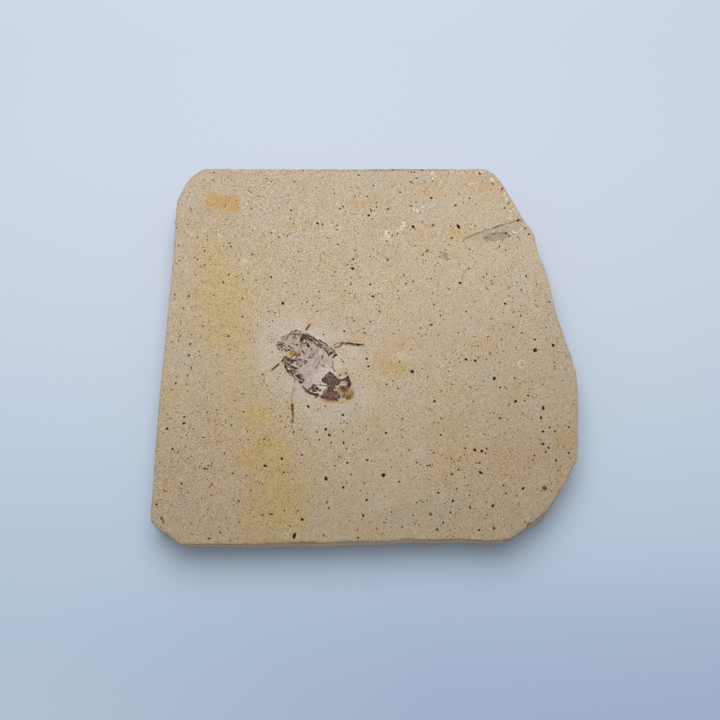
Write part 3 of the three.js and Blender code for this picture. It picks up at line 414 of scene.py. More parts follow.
    ('umber', 0.6, 0.15, [(-18.84, 2.23), (-18.52, 1.97), (-18.29, 2.23)]),
    ('umber', 0.75, 0.18, [(-18.51, 1.89), (-17.96, 1.64), (-17.4, 1.55), (-17.02, 1.76), (-16.47, 1.81)]),
    ('umber', 0.6, 0.18, [(-17.51, 2.44), (-17.11, 2.18), (-16.96, 2.52)]),
    ('umber', 0.75, 0.22, [(-18.14, 1.3), (-17.98, 1.01), (-17.71, 1.09)]),
    ('umber', 0.7, 0.19, [(-16.7, 1.81), (-16.0, 1.81), (-15.77, 2.02)]),
    ('umber', 0.7, 0.19, [(-15.52, 1.59), (-14.98, 1.93)]),
    ('redbrown', 0.7, 0.18, [(-16.7, 1.43), (-16.37, 1.01)]),
    ('redbrown', 0.8, 0.19, [(-14.88, 1.17), (-14.56, 0.75), (-14.24, 0.42)]),
    ('umber', 0.85, 0.22, [(-14.56, 0.75), (-14.16, 0.33), (-13.88, -0.0)]),
    ('umber', 0.8, 0.25, [(-15.49, 0.33), (-15.1, 0.42)]),
    ('dark', 0.8, 0.16, [(-16.11, 0.08), (-15.99, -0.09)]),
    ('black', 0.95, 0.33, [(-15.86, -0.8), (-15.59, -0.5), (-15.29, -0.17)]),
    ('umber', 0.75, 0.19, [(-16.18, -0.59), (-15.86, -0.92)]),
    ('umber', 0.6, 0.15, [(-14.38, -0.75), (-14.21, -1.09)]),
    ('grey', 0.8, 0.25, [(-16.41, -0.75), (-16.38, -1.34), (-16.5, -1.88)]),
    ('oliveline', 0.5, 0.16, [(-16.53, -0.67), (-16.61, -0.34)]),
    ('umber', 0.9, 0.31, [(-16.33, -2.26), (-16.17, -2.5), (-15.97, -2.92), (-15.72, -3.38)]),
    ('dark', 0.85, 0.24, [(-22.1, -0.09), (-21.74, -0.34), (-21.54, -0.32)]),
    ('umber', 0.8, 0.21, [(-22.3, 0.04), (-22.02, -0.25)]),
    ('dark', 0.85, 0.25, [(-22.64, -1.05), (-22.34, -0.99), (-22.0, -0.88)]),
    ('dark', 0.8, 0.25, [(-22.0, -0.88), (-21.77, -0.75), (-21.57, -0.88)]),
    ('umber', 0.8, 0.25, [(-21.56, -0.92), (-21.26, -0.8), (-21.05, -1.09), (-20.85, -1.3)]),
    ('umber', 0.8, 0.22, [(-21.79, -1.05), (-21.39, -1.34), (-21.27, -1.63), (-21.0, -1.59)]),
    ('dark', 0.8, 0.25, [(-22.36, -1.55), (-22.05, -1.59)]),
    ('umber', 0.8, 0.22, [(-22.07, -2.17), (-21.85, -1.88), (-21.53, -1.84)]),
    ('umber', 0.7, 0.19, [(-21.25, -1.13), (-21.55, -1.34)]),
    ('umber', 0.8, 0.24, [(-20.83, -1.88), (-20.51, -2.17), (-20.38, -2.46)]),
    ('umber', 0.8, 0.21, [(-20.38, -2.46), (-20.03, -2.63), (-19.64, -2.46)]),
    ('slate', 0.5, 0.15, [(-20.47, -0.92), (-20.3, -1.26)]),
    ('dark', 0.9, 0.31, [(-19.69, -1.01), (-19.48, -1.34), (-19.2, -1.59), (-18.84, -1.8)]),
    ('redbrown', 0.9, 0.3, [(-19.8, -2.46), (-19.57, -2.34), (-19.22, -2.13)]),
    ('redbrown', 0.8, 0.22, [(-19.22, -2.13), (-19.26, -2.34)]),
    ('umber', 0.7, 0.16, [(-19.28, -1.59), (-18.65, -1.88)]),
    ('umber', 0.7, 0.19, [(-18.72, -0.46), (-18.56, -0.67), (-18.24, -0.88)]),
    ('umber', 0.5, 0.16, [(-17.89, -1.01), (-17.18, -1.05)]),
    ('rose', 0.5, 0.22, [(-18.41, -2.09), (-18.01, -2.17)]),
    ('rose', 0.4, 0.19, [(-19.03, -2.17), (-18.71, -2.42)]),
    ('golddark', 0.85, 0.31, [(-19.43, -3.13), (-19.15, -3.25), (-18.96, -3.25)]),
    ('golddark', 0.8, 0.28, [(-18.18, -3.17), (-17.83, -3.13), (-17.52, -3.13)]),
    ('golddark', 0.8, 0.28, [(-17.83, -3.13), (-17.98, -3.5), (-18.28, -3.79)]),
    ('umber', 0.8, 0.27, [(-18.67, -3.83), (-18.36, -3.87), (-18.05, -3.75)]),
    ('dark', 0.9, 0.3, [(-17.08, -3.83), (-16.92, -3.62), (-16.74, -3.38)]),
    ('umber', 0.85, 0.28, [(-17.8, -4.49), (-17.65, -4.16), (-17.35, -3.91), (-17.11, -3.83)]),
    ('umber', 0.6, 0.18, [(-19.13, -4.08), (-18.74, -4.24), (-18.65, -4.49)]),
    ('rose', 0.5, 0.21, [(-21.97, -2.88), (-21.66, -2.92)]),
    ('rose', 0.5, 0.24, [(-21.7, -3.83), (-21.23, -3.91)]),
    ('rose', 0.45, 0.18, [(-20.94, -3.5), (-20.7, -3.67)]),
    ('rose', 0.5, 0.18, [(-21.28, -2.34), (-21.01, -2.3)]),
    ('umber', 0.7, 0.19, [(-23.93, -0.42), (-23.62, -0.21)]),
    ('umber', 0.75, 0.19, [(-23.84, -2.96), (-23.38, -2.55)]),
    ('umber', 0.6, 0.18, [(-24.87, 3.75), (-24.48, 4.0)]),
    ('umber', 0.45, 0.15, [(-23.87, 2.35), (-23.38, 1.76)]),
    ('black', 0.9, 0.34, [(-21.1, -5.41), (-21.0, -5.08), (-20.85, -4.71), (-20.67, -4.33)]),
    ('dark', 0.9, 0.31, [(-20.67, -4.33), (-20.41, -4.09), (-19.98, -4.13)]),
    ('dark', 0.8, 0.24, [(-20.28, -4.25), (-19.93, -4.54)]),
    ('black', 0.95, 0.31, [(-19.96, -4.71), (-19.54, -4.54), (-19.07, -4.71)]),
    ('black', 0.9, 0.28, [(-19.71, -5.24), (-19.45, -4.99), (-19.18, -4.75)]),
    ('umber', 0.8, 0.22, [(-19.9, -4.25), (-19.5, -4.42)]),
    ('umber', 0.7, 0.18, [(-20.57, -5.24), (-20.27, -4.83), (-20.04, -4.66)]),
    ('umber', 0.6, 0.18, [(-21.65, -5.24), (-21.19, -5.24)]),
    ('black', 0.9, 0.31, [(-20.67, -5.73), (-20.24, -5.65), (-19.89, -5.61)]),
    ('dark', 0.9, 0.28, [(-19.89, -5.65), (-19.57, -6.02), (-19.22, -6.27), (-19.02, -6.27)]),
    ('umber', 0.8, 0.22, [(-19.35, -5.53), (-19.08, -5.73), (-18.84, -5.82)]),
    ('plum', 0.95, 0.31, [(-18.55, -4.99), (-18.01, -5.08), (-17.58, -5.24)]),
    ('violet', 0.8, 0.19, [(-18.81, -4.25), (-18.41, -4.5), (-18.25, -4.75)]),
    ('umber', 0.7, 0.22, [(-17.87, -4.5), (-17.64, -4.25), (-17.33, -4.09)]),
    ('umber', 0.5, 0.15, [(-17.16, -4.91), (-16.93, -4.66), (-16.61, -4.91)]),
    ('umber', 0.8, 0.24, [(-15.83, -5.2), (-15.56, -5.16), (-15.36, -5.32), (-15.55, -5.82)]),
    ('umber', 0.8, 0.21, [(-15.41, -4.83), (-15.21, -5.16), (-15.05, -5.45)]),
    ('umber', 0.8, 0.25, [(-16.57, -6.56), (-16.35, -6.31), (-16.12, -6.15)]),
    ('umber', 0.5, 0.15, [(-16.12, -6.15), (-15.73, -6.27), (-15.51, -5.9)]),
    ('white', 0.7, 0.22, [(-18.83, -6.23), (-18.21, -6.15), (-17.9, -6.39), (-17.58, -6.72)]),
    ('white', 0.6, 0.18, [(-18.23, -5.32), (-17.77, -5.32), (-17.31, -4.99)]),
    ('umber', 0.85, 0.31, [(-19.51, -6.72), (-18.97, -6.64), (-18.5, -6.8), (-18.04, -6.96), (-17.57, -7.05), (-17.11, -6.92)]),
    ('umber', 0.7, 0.22, [(-18.67, -6.47), (-18.2, -6.64), (-17.73, -6.88)]),
    ('dark', 0.9, 0.4, [(-20.38, -6.31), (-20.17, -6.64), (-20.2, -7.05)]),
    ('dark', 0.85, 0.37, [(-19.98, -6.8), (-19.77, -7.21), (-19.64, -7.62), (-19.75, -7.95)]),
    ('umber', 0.8, 0.3, [(-19.64, -7.62), (-19.18, -7.7), (-18.86, -7.95)]),
    ('dark', 0.85, 0.25, [(-18.99, -7.54), (-18.64, -7.62), (-18.32, -7.86)]),
    ('dark', 0.9, 0.31, [(-19.02, -7.86), (-18.7, -8.19), (-18.38, -8.6), (-18.14, -9.0), (-17.89, -9.41)]),
    ('umber', 0.8, 0.25, [(-18.16, -8.03), (-17.84, -8.35), (-17.53, -8.68)]),
    ('umber', 0.7, 0.21, [(-18.01, -7.86), (-17.87, -7.37)]),
    ('umber', 0.7, 0.19, [(-17.85, -7.95), (-17.39, -8.03)]),
    ('umber', 0.7, 0.22, [(-19.27, -8.35), (-19.15, -8.68), (-18.91, -8.92)]),
    ('white', 0.7, 0.16, [(-19.24, -8.11), (-18.84, -8.52), (-18.53, -8.84)]),
    ('white', 0.8, 0.18, [(-18.14, -8.68), (-17.82, -9.17), (-17.5, -9.65)]),
    ('white', 0.8, 0.22, [(-19.58, -6.96), (-19.26, -7.29)]),
    ('white', 0.6, 0.18, [(-18.88, -7.21), (-18.25, -7.54)]),
    ('dark', 0.85, 0.28, [(-17.68, -8.88), (-17.21, -8.84), (-16.75, -8.8), (-16.14, -8.76)]),
    ('dark', 0.85, 0.31, [(-17.44, -9.09), (-17.05, -9.25), (-16.58, -9.33), (-16.19, -9.65), (-15.8, -9.98), (-15.49, -10.14)]),
    ('umber', 0.7, 0.22, [(-17.21, -9.0), (-16.82, -9.09)]),
    ('umber', 0.8, 0.19, [(-15.83, -10.26), (-16.05, -10.63), (-16.24, -10.87)]),
    ('umber', 0.6, 0.16, [(-18.12, -9.49), (-17.81, -9.82)]),
    ('umber', 0.7, 0.18, [(-18.03, -9.9), (-17.86, -10.55)]),
    ('umber', 0.5, 0.15, [(-17.86, -10.55), (-17.49, -10.22)]),
    ('black', 0.95, 0.33, [(-16.99, -10.26), (-16.67, -10.42), (-16.4, -10.79), (-16.2, -10.83)]),
    ('rust', 0.45, 0.48, [(-15.43, -12.56), (-14.96, -13.04), (-14.26, -13.52), (-13.72, -13.84)]),
    ('umber', 0.85, 0.25, [(-16.0, -11.27), (-15.92, -11.6), (-15.6, -12.08), (-15.28, -12.4)]),
    ('umber', 0.95, 0.43, [(-15.28, -12.4), (-14.81, -12.8), (-14.35, -13.2), (-13.81, -13.44)]),
    ('dark', 0.85, 0.48, [(-13.88, -13.4), (-13.27, -13.64), (-12.73, -13.72), (-12.23, -13.52)]),
    ('black', 0.9, 0.24, [(-13.47, -11.19), (-13.23, -11.43), (-12.84, -11.6)]),
    ('black', 0.8, 0.19, [(-13.76, -11.84), (-13.3, -12.0), (-13.14, -12.4)]),
    ('white', 0.45, 0.12, [(-13.3, -11.6), (-12.99, -11.92), (-12.91, -12.32)]),
    ('white', 0.8, 0.19, [(-12.61, -11.64), (-12.22, -11.92)]),
    ('black', 0.9, 0.21, [(-12.14, -12.48), (-11.67, -12.68)]),
    ('dark', 0.9, 0.25, [(-14.52, -12.28), (-14.21, -12.24)]),
    ('dark', 0.9, 0.21, [(-13.51, -12.88), (-13.05, -12.96), (-12.59, -12.88)]),
    ('white', 0.35, 0.15, [(-14.98, -12.24), (-14.59, -12.56), (-14.2, -12.88), (-13.73, -13.2)]),
    ('white', 0.4, 0.15, [(-13.43, -13.2), (-12.51, -13.24)]),
    ('white', 0.9, 0.19, [(-12.44, -12.96), (-12.05, -13.28)]),
    ('dark', 0.9, 0.18, [(-12.85, -11.35), (-12.16, -11.31), (-11.62, -11.27), (-11.23, -11.51), (-10.33, -11.47)]),
    ('white', 0.8, 0.21, [(-13.4, -10.87), (-12.39, -11.03), (-11.39, -11.03), (-10.33, -11.19)]),
    ('white', 0.6, 0.27, [(-11.61, -11.84), (-10.32, -11.92)]),
    ('grey', 0.8, 0.21, [(-10.99, -12.56), (-10.31, -12.32)]),
    ('umber', 0.9, 0.25, [(-14.77, 0.95), (-14.45, 0.53), (-14.13, 0.2), (-13.85, -0.06)]),
    ('umber', 0.85, 0.22, [(-14.46, 1.04), (-14.19, 1.37)]),
    ('umber', 0.8, 0.22, [(-14.19, 1.37), (-13.68, 1.12), (-13.28, 0.7)]),
    ('dark', 0.85, 0.25, [(-13.52, 0.78), (-13.12, 0.45), (-12.72, 0.11), (-12.4, -0.22), (-12.08, -0.56)]),
    ('white', 0.8, 0.18, [(-12.65, 0.7), (-12.41, 0.45), (-12.17, 0.2)]),
    ('dark', 0.9, 0.25, [(-12.26, 0.62), (-12.02, 0.28), (-11.7, 0.03), (-11.23, -0.22)]),
    ('umber', 0.85, 0.22, [(-11.23, -0.22), (-10.75, -0.47), (-10.36, -0.81), (-9.96, -1.14)]),
    ('dark', 0.8, 0.19, [(-10.12, -0.98), (-9.89, -1.14)]),
    ('umber', 0.85, 0.22, [(-13.27, -0.06), (-13.1, -0.31), (-13.02, -0.64), (-12.78, -0.81)]),
    ('umber', 0.85, 0.25, [(-12.93, -1.14), (-12.62, -1.23), (-12.15, -1.39), (-11.83, -1.81), (-11.44, -1.89)]),
    ('violet', 0.8, 0.25, [(-12.47, -0.98), (-12.0, -0.98), (-11.45, -0.89)]),
    ('umber', 0.8, 0.18, [(-12.0, -0.64), (-11.53, -0.98)]),
    ('dark', 0.85, 0.25, [(-11.76, -1.23), (-11.44, -1.39), (-11.05, -1.81), (-10.65, -2.06)]),
    ('umber', 0.85, 0.28, [(-10.81, -2.06), (-10.49, -2.31)]),
    ('umber', 0.7, 0.18, [(-11.14, -0.98), (-10.67, -1.23), (-10.43, -1.48)]),
    ('white', 0.7, 0.15, [(-11.37, -1.14), (-10.9, -1.39), (-10.5, -1.64)]),
    ('white', 0.7, 0.15, [(-11.85, -0.31), (-11.22, -0.64), (-10.59, -1.14)]),
    ('greybrown', 0.6, 0.18, [(-13.73, -0.31), (-13.41, -0.72), (-13.17, -0.98)]),
    ('umber', 0.9, 0.24, [(-10.57, -2.14), (-10.26, -2.64), (-9.94, -3.22), (-9.62, -3.72)]),
    ('dark', 0.9, 0.31, [(-9.55, -3.39), (-9.31, -3.14), (-9.08, -2.89)]),
    ('umber', 0.85, 0.25, [(-9.08, -2.89), (-8.7, -2.81), (-8.46, -3.06)]),
    ('bronze', 0.85, 0.16, [(-9.49, -1.48), (-9.02, -1.89), (-8.54, -2.31), (-8.15, -2.72)]),
    ('black', 0.95, 0.42, [(-8.38, -3.55), (-8.07, -3.47), (-7.68, -3.39)]),
    ('black', 0.95, 0.31, [(-8.38, -3.55), (-8.57, -3.88), (-8.6, -4.3)]),
    ('dark', 0.7, 0.19, [(-8.46, -3.06), (-8.22, -3.3)]),
    ('umber', 0.6, 0.19, [(-11.2, -2.31), (-11.03, -2.72)]),
    ('violet', 0.85, 0.27, [(-11.33, -3.72), (-11.21, -4.13), (-11.47, -4.63)]),
    ('umber', 0.85, 0.19, [(-8.56, -1.1), (-8.17, -0.85), (-7.86, -0.56)]),
    ('umber', 0.6, 0.12, [(-7.86, -0.56), (-7.47, -0.39), (-6.84, -0.31)]),
    ('dark', 0.85, 0.25, [(-8.32, -1.56), (-7.77, -1.48), (-7.15, -1.27)]),
    ('umber', 0.8, 0.16, [(-6.69, -0.39), (-6.06, -0.22)]),
    ('umber', 0.85, 0.25, [(-5.75, -0.81), (-5.36, -0.39), (-4.89, -0.22)]),
    ('legblack', 0.95, 0.34, [(-4.81, -0.64), (-4.59, -0.68)]),
    ('legblack', 0.9, 0.39, [(-15.44, 2.93), (-15.26, 3.31), (-15.07, 3.65)]),
    ('legbrown', 0.9, 0.34, [(-15.14, 3.57), (-14.76, 4.16), (-14.38, 4.54)]),
    ('dark', 0.5, 0.18, [(-11.36, -10.16), (-11.19, -9.79), (-10.85, -9.31)]),
    ('dark', 0.5, 0.2, [(-10.51, -8.9), (-10.09, -8.58), (-9.79, -8.37)]),
    ('dark', 0.5, 0.19, [(-9.33, -8.17), (-8.78, -8.53), (-8.31, -8.82)]),
    ('dark', 0.5, 0.18, [(-8.23, -9.06), (-7.92, -9.47), (-7.65, -9.67)]),
    ('dark', 0.44, 0.16, [(-11.18, -10.44), (-10.91, -10.81)]),
    ('dark', 0.47, 0.14, [(-10.53, -10.69), (-10.14, -10.89)]),
    ('dark', 0.8, 0.22, [(-7.3, -10.28), (-6.99, -10.93)]),
    ('dark', 0.8, 0.22, [(-7.9, -11.33), (-7.37, -11.17), (-7.06, -10.93)]),
    ('dark', 0.7, 0.18, [(-10.4, -8.98), (-10.54, -9.47), (-10.85, -9.88)]),
    ('dark', 0.6, 0.13, [(-10.39, -9.31), (-9.93, -9.15), (-9.47, -9.31), (-9.0, -9.15)]),
    ('dark', 0.6, 0.13, [(-10.08, -9.63), (-9.62, -9.47), (-9.15, -9.63), (-8.54, -9.47)]),
    ('dark', 0.5, 0.13, [(-10.69, -10.12), (-10.07, -9.96), (-9.61, -10.12)]),
    ('dark', 0.5, 0.13, [(-9.0, -9.79), (-8.53, -9.96), (-8.07, -10.28)]),
    ('bloom', 0.6, 0.1, [(-9.78, -8.82), (-9.31, -9.06), (-8.85, -9.31)]),
    ('bloom', 0.6, 0.1, [(-10.23, -9.47), (-9.77, -9.31), (-9.31, -9.47)]),
    ('bloom', 0.5, 0.1, [(-10.38, -10.28), (-9.91, -10.36)]),
    ('dark', 0.5, 0.18, [(-8.83, -11.01), (-8.52, -11.33), (-8.13, -11.82)]),
    ('dark', 0.5, 0.18, [(-8.2, -12.3), (-8.51, -12.14)]),
    ('dark', 0.8, 0.18, [(-9.9, -11.17), (-9.37, -11.09)]),
    ('dark', 0.8, 0.15, [(-9.13, -11.33), (-9.05, -11.82), (-9.12, -12.38)]),
    ('bloom', 0.6, 0.15, [(-8.82, -11.49), (-8.74, -11.9)]),
    ('white', 0.7, 0.15, [(-8.58, -12.38), (-8.12, -12.7)]),
    ('bloom', 0.7, 0.13, [(-9.42, -12.78), (-9.49, -13.18)]),
    ('bloom', 0.5, 0.13, [(-8.65, -13.1), (-8.5, -13.5)]),
    ('umber', 0.9, 0.42, [(-11.47, -14.22), (-11.01, -14.22), (-10.48, -13.98)]),
    ('redbrown', 0.9, 0.34, [(-10.47, -14.46), (-10.01, -14.7)]),
    ('redbrown', 0.8, 0.28, [(-9.71, -14.46), (-9.25, -14.78), (-8.63, -14.86)]),
    ('dark', 0.9, 0.28, [(-7.26, -14.46), (-6.88, -14.3)]),
    ('rust', 0.6, 0.3, [(-10.31, -15.18), (-9.54, -15.34), (-8.48, -15.34), (-7.71, -15.18)]),
    ('dark', 0.8, 0.22, [(-4.96, -8.82), (-5.15, -9.23), (-5.53, -9.55)]),
    ('umber', 0.9, 0.3, [(-4.76, -9.47), (-4.68, -10.12), (-4.53, -10.77)]),
    ('bloom', 0.5, 0.13, [(-6.61, -10.36), (-6.83, -10.77)]),
    ('umber', 0.5, 0.15, [(-6.84, -10.44), (-6.53, -10.12)]),
    ('white', 0.8, 0.25, [(-7.23, -9.39), (-7.0, -9.55), (-6.38, -9.63), (-5.84, -9.31)]),
    ('pinkwhite', 0.7, 0.19, [(-6.61, -9.15), (-6.38, -9.47)]),
    ('dark', 0.9, 0.24, [(-7.27, -9.1), (-7.0, -8.82), (-6.77, -8.53)]),
    ('oliveline', 0.5, 0.15, [(-6.0, -8.82), (-5.69, -8.74)]),
    ('umber', 0.85, 0.28, [(-6.9, -11.49), (-6.75, -11.9), (-6.44, -12.22)]),
    ('golddark', 0.8, 0.27, [(-5.59, -13.02), (-5.89, -13.58), (-6.19, -14.3)]),
    ('umber', 0.7, 0.25, [(-5.5, -14.46), (-5.2, -13.98)]),
    ('oliveline', 0.6, 0.21, [(-3.75, -11.9), (-3.56, -12.54), (-3.6, -13.34)]),
    ('oliveline', 0.75, 0.19, [(-6.96, -4.31), (-6.65, -4.89), (-6.26, -5.3), (-6.02, -5.88)]),
    ('oliveline', 0.5, 0.16, [(-6.01, -6.53), (-5.47, -7.19), (-5.08, -7.68)]),
    ('straw', 0.5, 0.22, [(-6.56, -5.71), (-6.25, -6.37)]),
    ('umber', 0.55, 0.15, [(-8.9, -5.05), (-8.81, -5.71), (-8.57, -6.2), (-8.42, -6.53)]),
    ('dark', 0.95, 0.25, [(-8.64, -7.11), (-8.41, -7.52), (-8.17, -7.84)]),
    ('white', 0.7, 0.18, [(-9.03, -7.27), (-8.56, -7.84), (-8.17, -8.17)]),
    ('umber', 0.85, 0.21, [(-11.92, -5.38), (-12.22, -5.79), (-12.45, -6.04)]),
    ('umber', 0.6, 0.16, [(-12.45, -6.04), (-12.72, -6.29)]),
    ('umber', 0.6, 0.16, [(-11.28, -6.53), (-10.97, -6.45)]),
    ('violet', 0.9, 0.3, [(-13.43, -3.32), (-13.54, -3.65), (-13.73, -3.82)]),
    ('violet', 0.8, 0.24, [(-14.81, -4.31), (-14.35, -4.35), (-13.88, -4.39)]),
    ('violet', 0.6, 0.18, [(-14.52, -3.48), (-14.12, -4.06)]),
    ('violet', 0.8, 0.25, [(-11.28, -3.82), (-11.24, -4.23), (-11.47, -4.64)]),
    ('white', 0.8, 0.21, [(-10.86, -8.66), (-10.4, -8.33), (-9.95, -7.92), (-9.64, -7.68)]),
    ('white', 0.7, 0.19, [(-11.47, -9.63), (-11.61, -10.28), (-11.37, -10.77)]),
    ('white', 0.85, 0.21, [(-11.29, -10.93), (-10.67, -11.09), (-10.13, -11.17)]),
    ('white', 0.6, 0.27, [(-11.74, -11.65), (-10.97, -11.9), (-10.13, -11.82)]),
    ('dark', 0.9, 0.18, [(-12.74, -11.33), (-11.75, -11.25), (-11.36, -11.49), (-10.67, -11.41), (-10.05, -11.57)]),
    ('umber', 0.9, 0.37, [(-11.57, -14.16), (-11.26, -14.4), (-10.8, -14.56)]),
    ('legblack', 0.85, 0.32, [(-23.26, -7.21), (-22.66, -6.62), (-22.18, -6.13)]),
    ('legblack', 0.75, 0.28, [(-22.18, -6.13), (-21.7, -5.74)]),
    ('legdark', 0.5, 0.52, [(-23.59, -7.51), (-23.19, -7.11)]),
    ('legblack', 0.5, 0.29, [(-18.41, -15.82), (-18.36, -16.78), (-18.18, -17.8)]),
    ('legdark', 0.92, 0.45, [(-4.81, -0.48), (-3.9, -0.7), (-2.68, -0.9), (-1.21, -0.79)]),
    ('legblack', 0.8, 0.26, [(-4.61, -0.57), (-3.69, -0.77), (-2.68, -0.9), (-1.46, -0.83)]),
    ('legbrown', 0.6, 0.31, [(-6.75, -0.44), (-5.73, -0.53), (-4.81, -0.61)]),
    ('rust', 0.45, 0.43, [(-15.84, -12.0), (-15.02, -12.9), (-13.91, -13.67)]),
    ('rust', 0.4, 0.47, [(-11.6, -14.67), (-10.21, -15.19), (-7.82, -15.34)]),
    ('straw', 0.35, 0.58, [(-10.6, -15.6), (-7.82, -15.71), (-5.64, -15.29)]),
    ('umber', 0.8, 0.23, [(-19.82, -2.17), (-18.89, -2.71), (-18.09, -2.5)]),
    ('umber', 0.8, 0.23, [(-17.65, -3.73), (-17.05, -3.36), (-16.86, -3.04)]),
    ('white', 0.75, 0.27, [(-11.83, -13.22), (-11.04, -12.69), (-10.55, -11.96)]),
    ('umber', 0.9, 0.55, [(-15.85, -11.71), (-14.82, -12.74), (-13.81, -13.42), (-12.61, -13.84), (-11.82, -13.95)]),
    ('dark', 0.8, 0.35, [(-14.62, -12.9), (-13.41, -13.63), (-12.21, -13.84)]),
    ('rust', 0.35, 0.58, [(-10.03, -13.84), (-8.63, -14.26), (-7.44, -14.15)]),
    ('golddark', 0.8, 0.31, [(-5.65, -13.42), (-5.94, -14.46)]),
    ('golddark', 0.75, 0.31, [(-5.35, -14.67), (-4.65, -14.46), (-4.35, -14.88)]),
    ('dark', 0.6, 0.27, [(-6.96, -11.75), (-6.26, -12.49), (-5.46, -12.8)]),
    ('golddark', 0.65, 0.39, [(-5.66, -12.9), (-5.95, -13.63), (-6.2, -14.46)]),
    ('umber', 0.6, 0.31, [(-6.66, -12.38), (-6.25, -13.01), (-5.85, -13.42)]),
    ('amber', 0.5, 0.35, [(-7.43, -14.88), (-6.63, -15.19), (-5.64, -15.09)]),
    ('umber', 0.18, 0.66, [(-18.37, -15.91), (-18.2, -17.77), (-18.16, -19.81)]),
    ('greybrown', 0.45, 0.18, [(-17.84, -11.65), (-18.4, -13.22), (-18.54, -15.5)]),
    ('greybrown', 0.35, 0.16, [(-18.24, -11.75), (-17.71, -13.01), (-18.27, -14.46)]),
    ('oliveline', 0.3, 0.35, [(-21.13, 0.87), (-20.23, 1.53), (-19.32, 1.85)]),
]
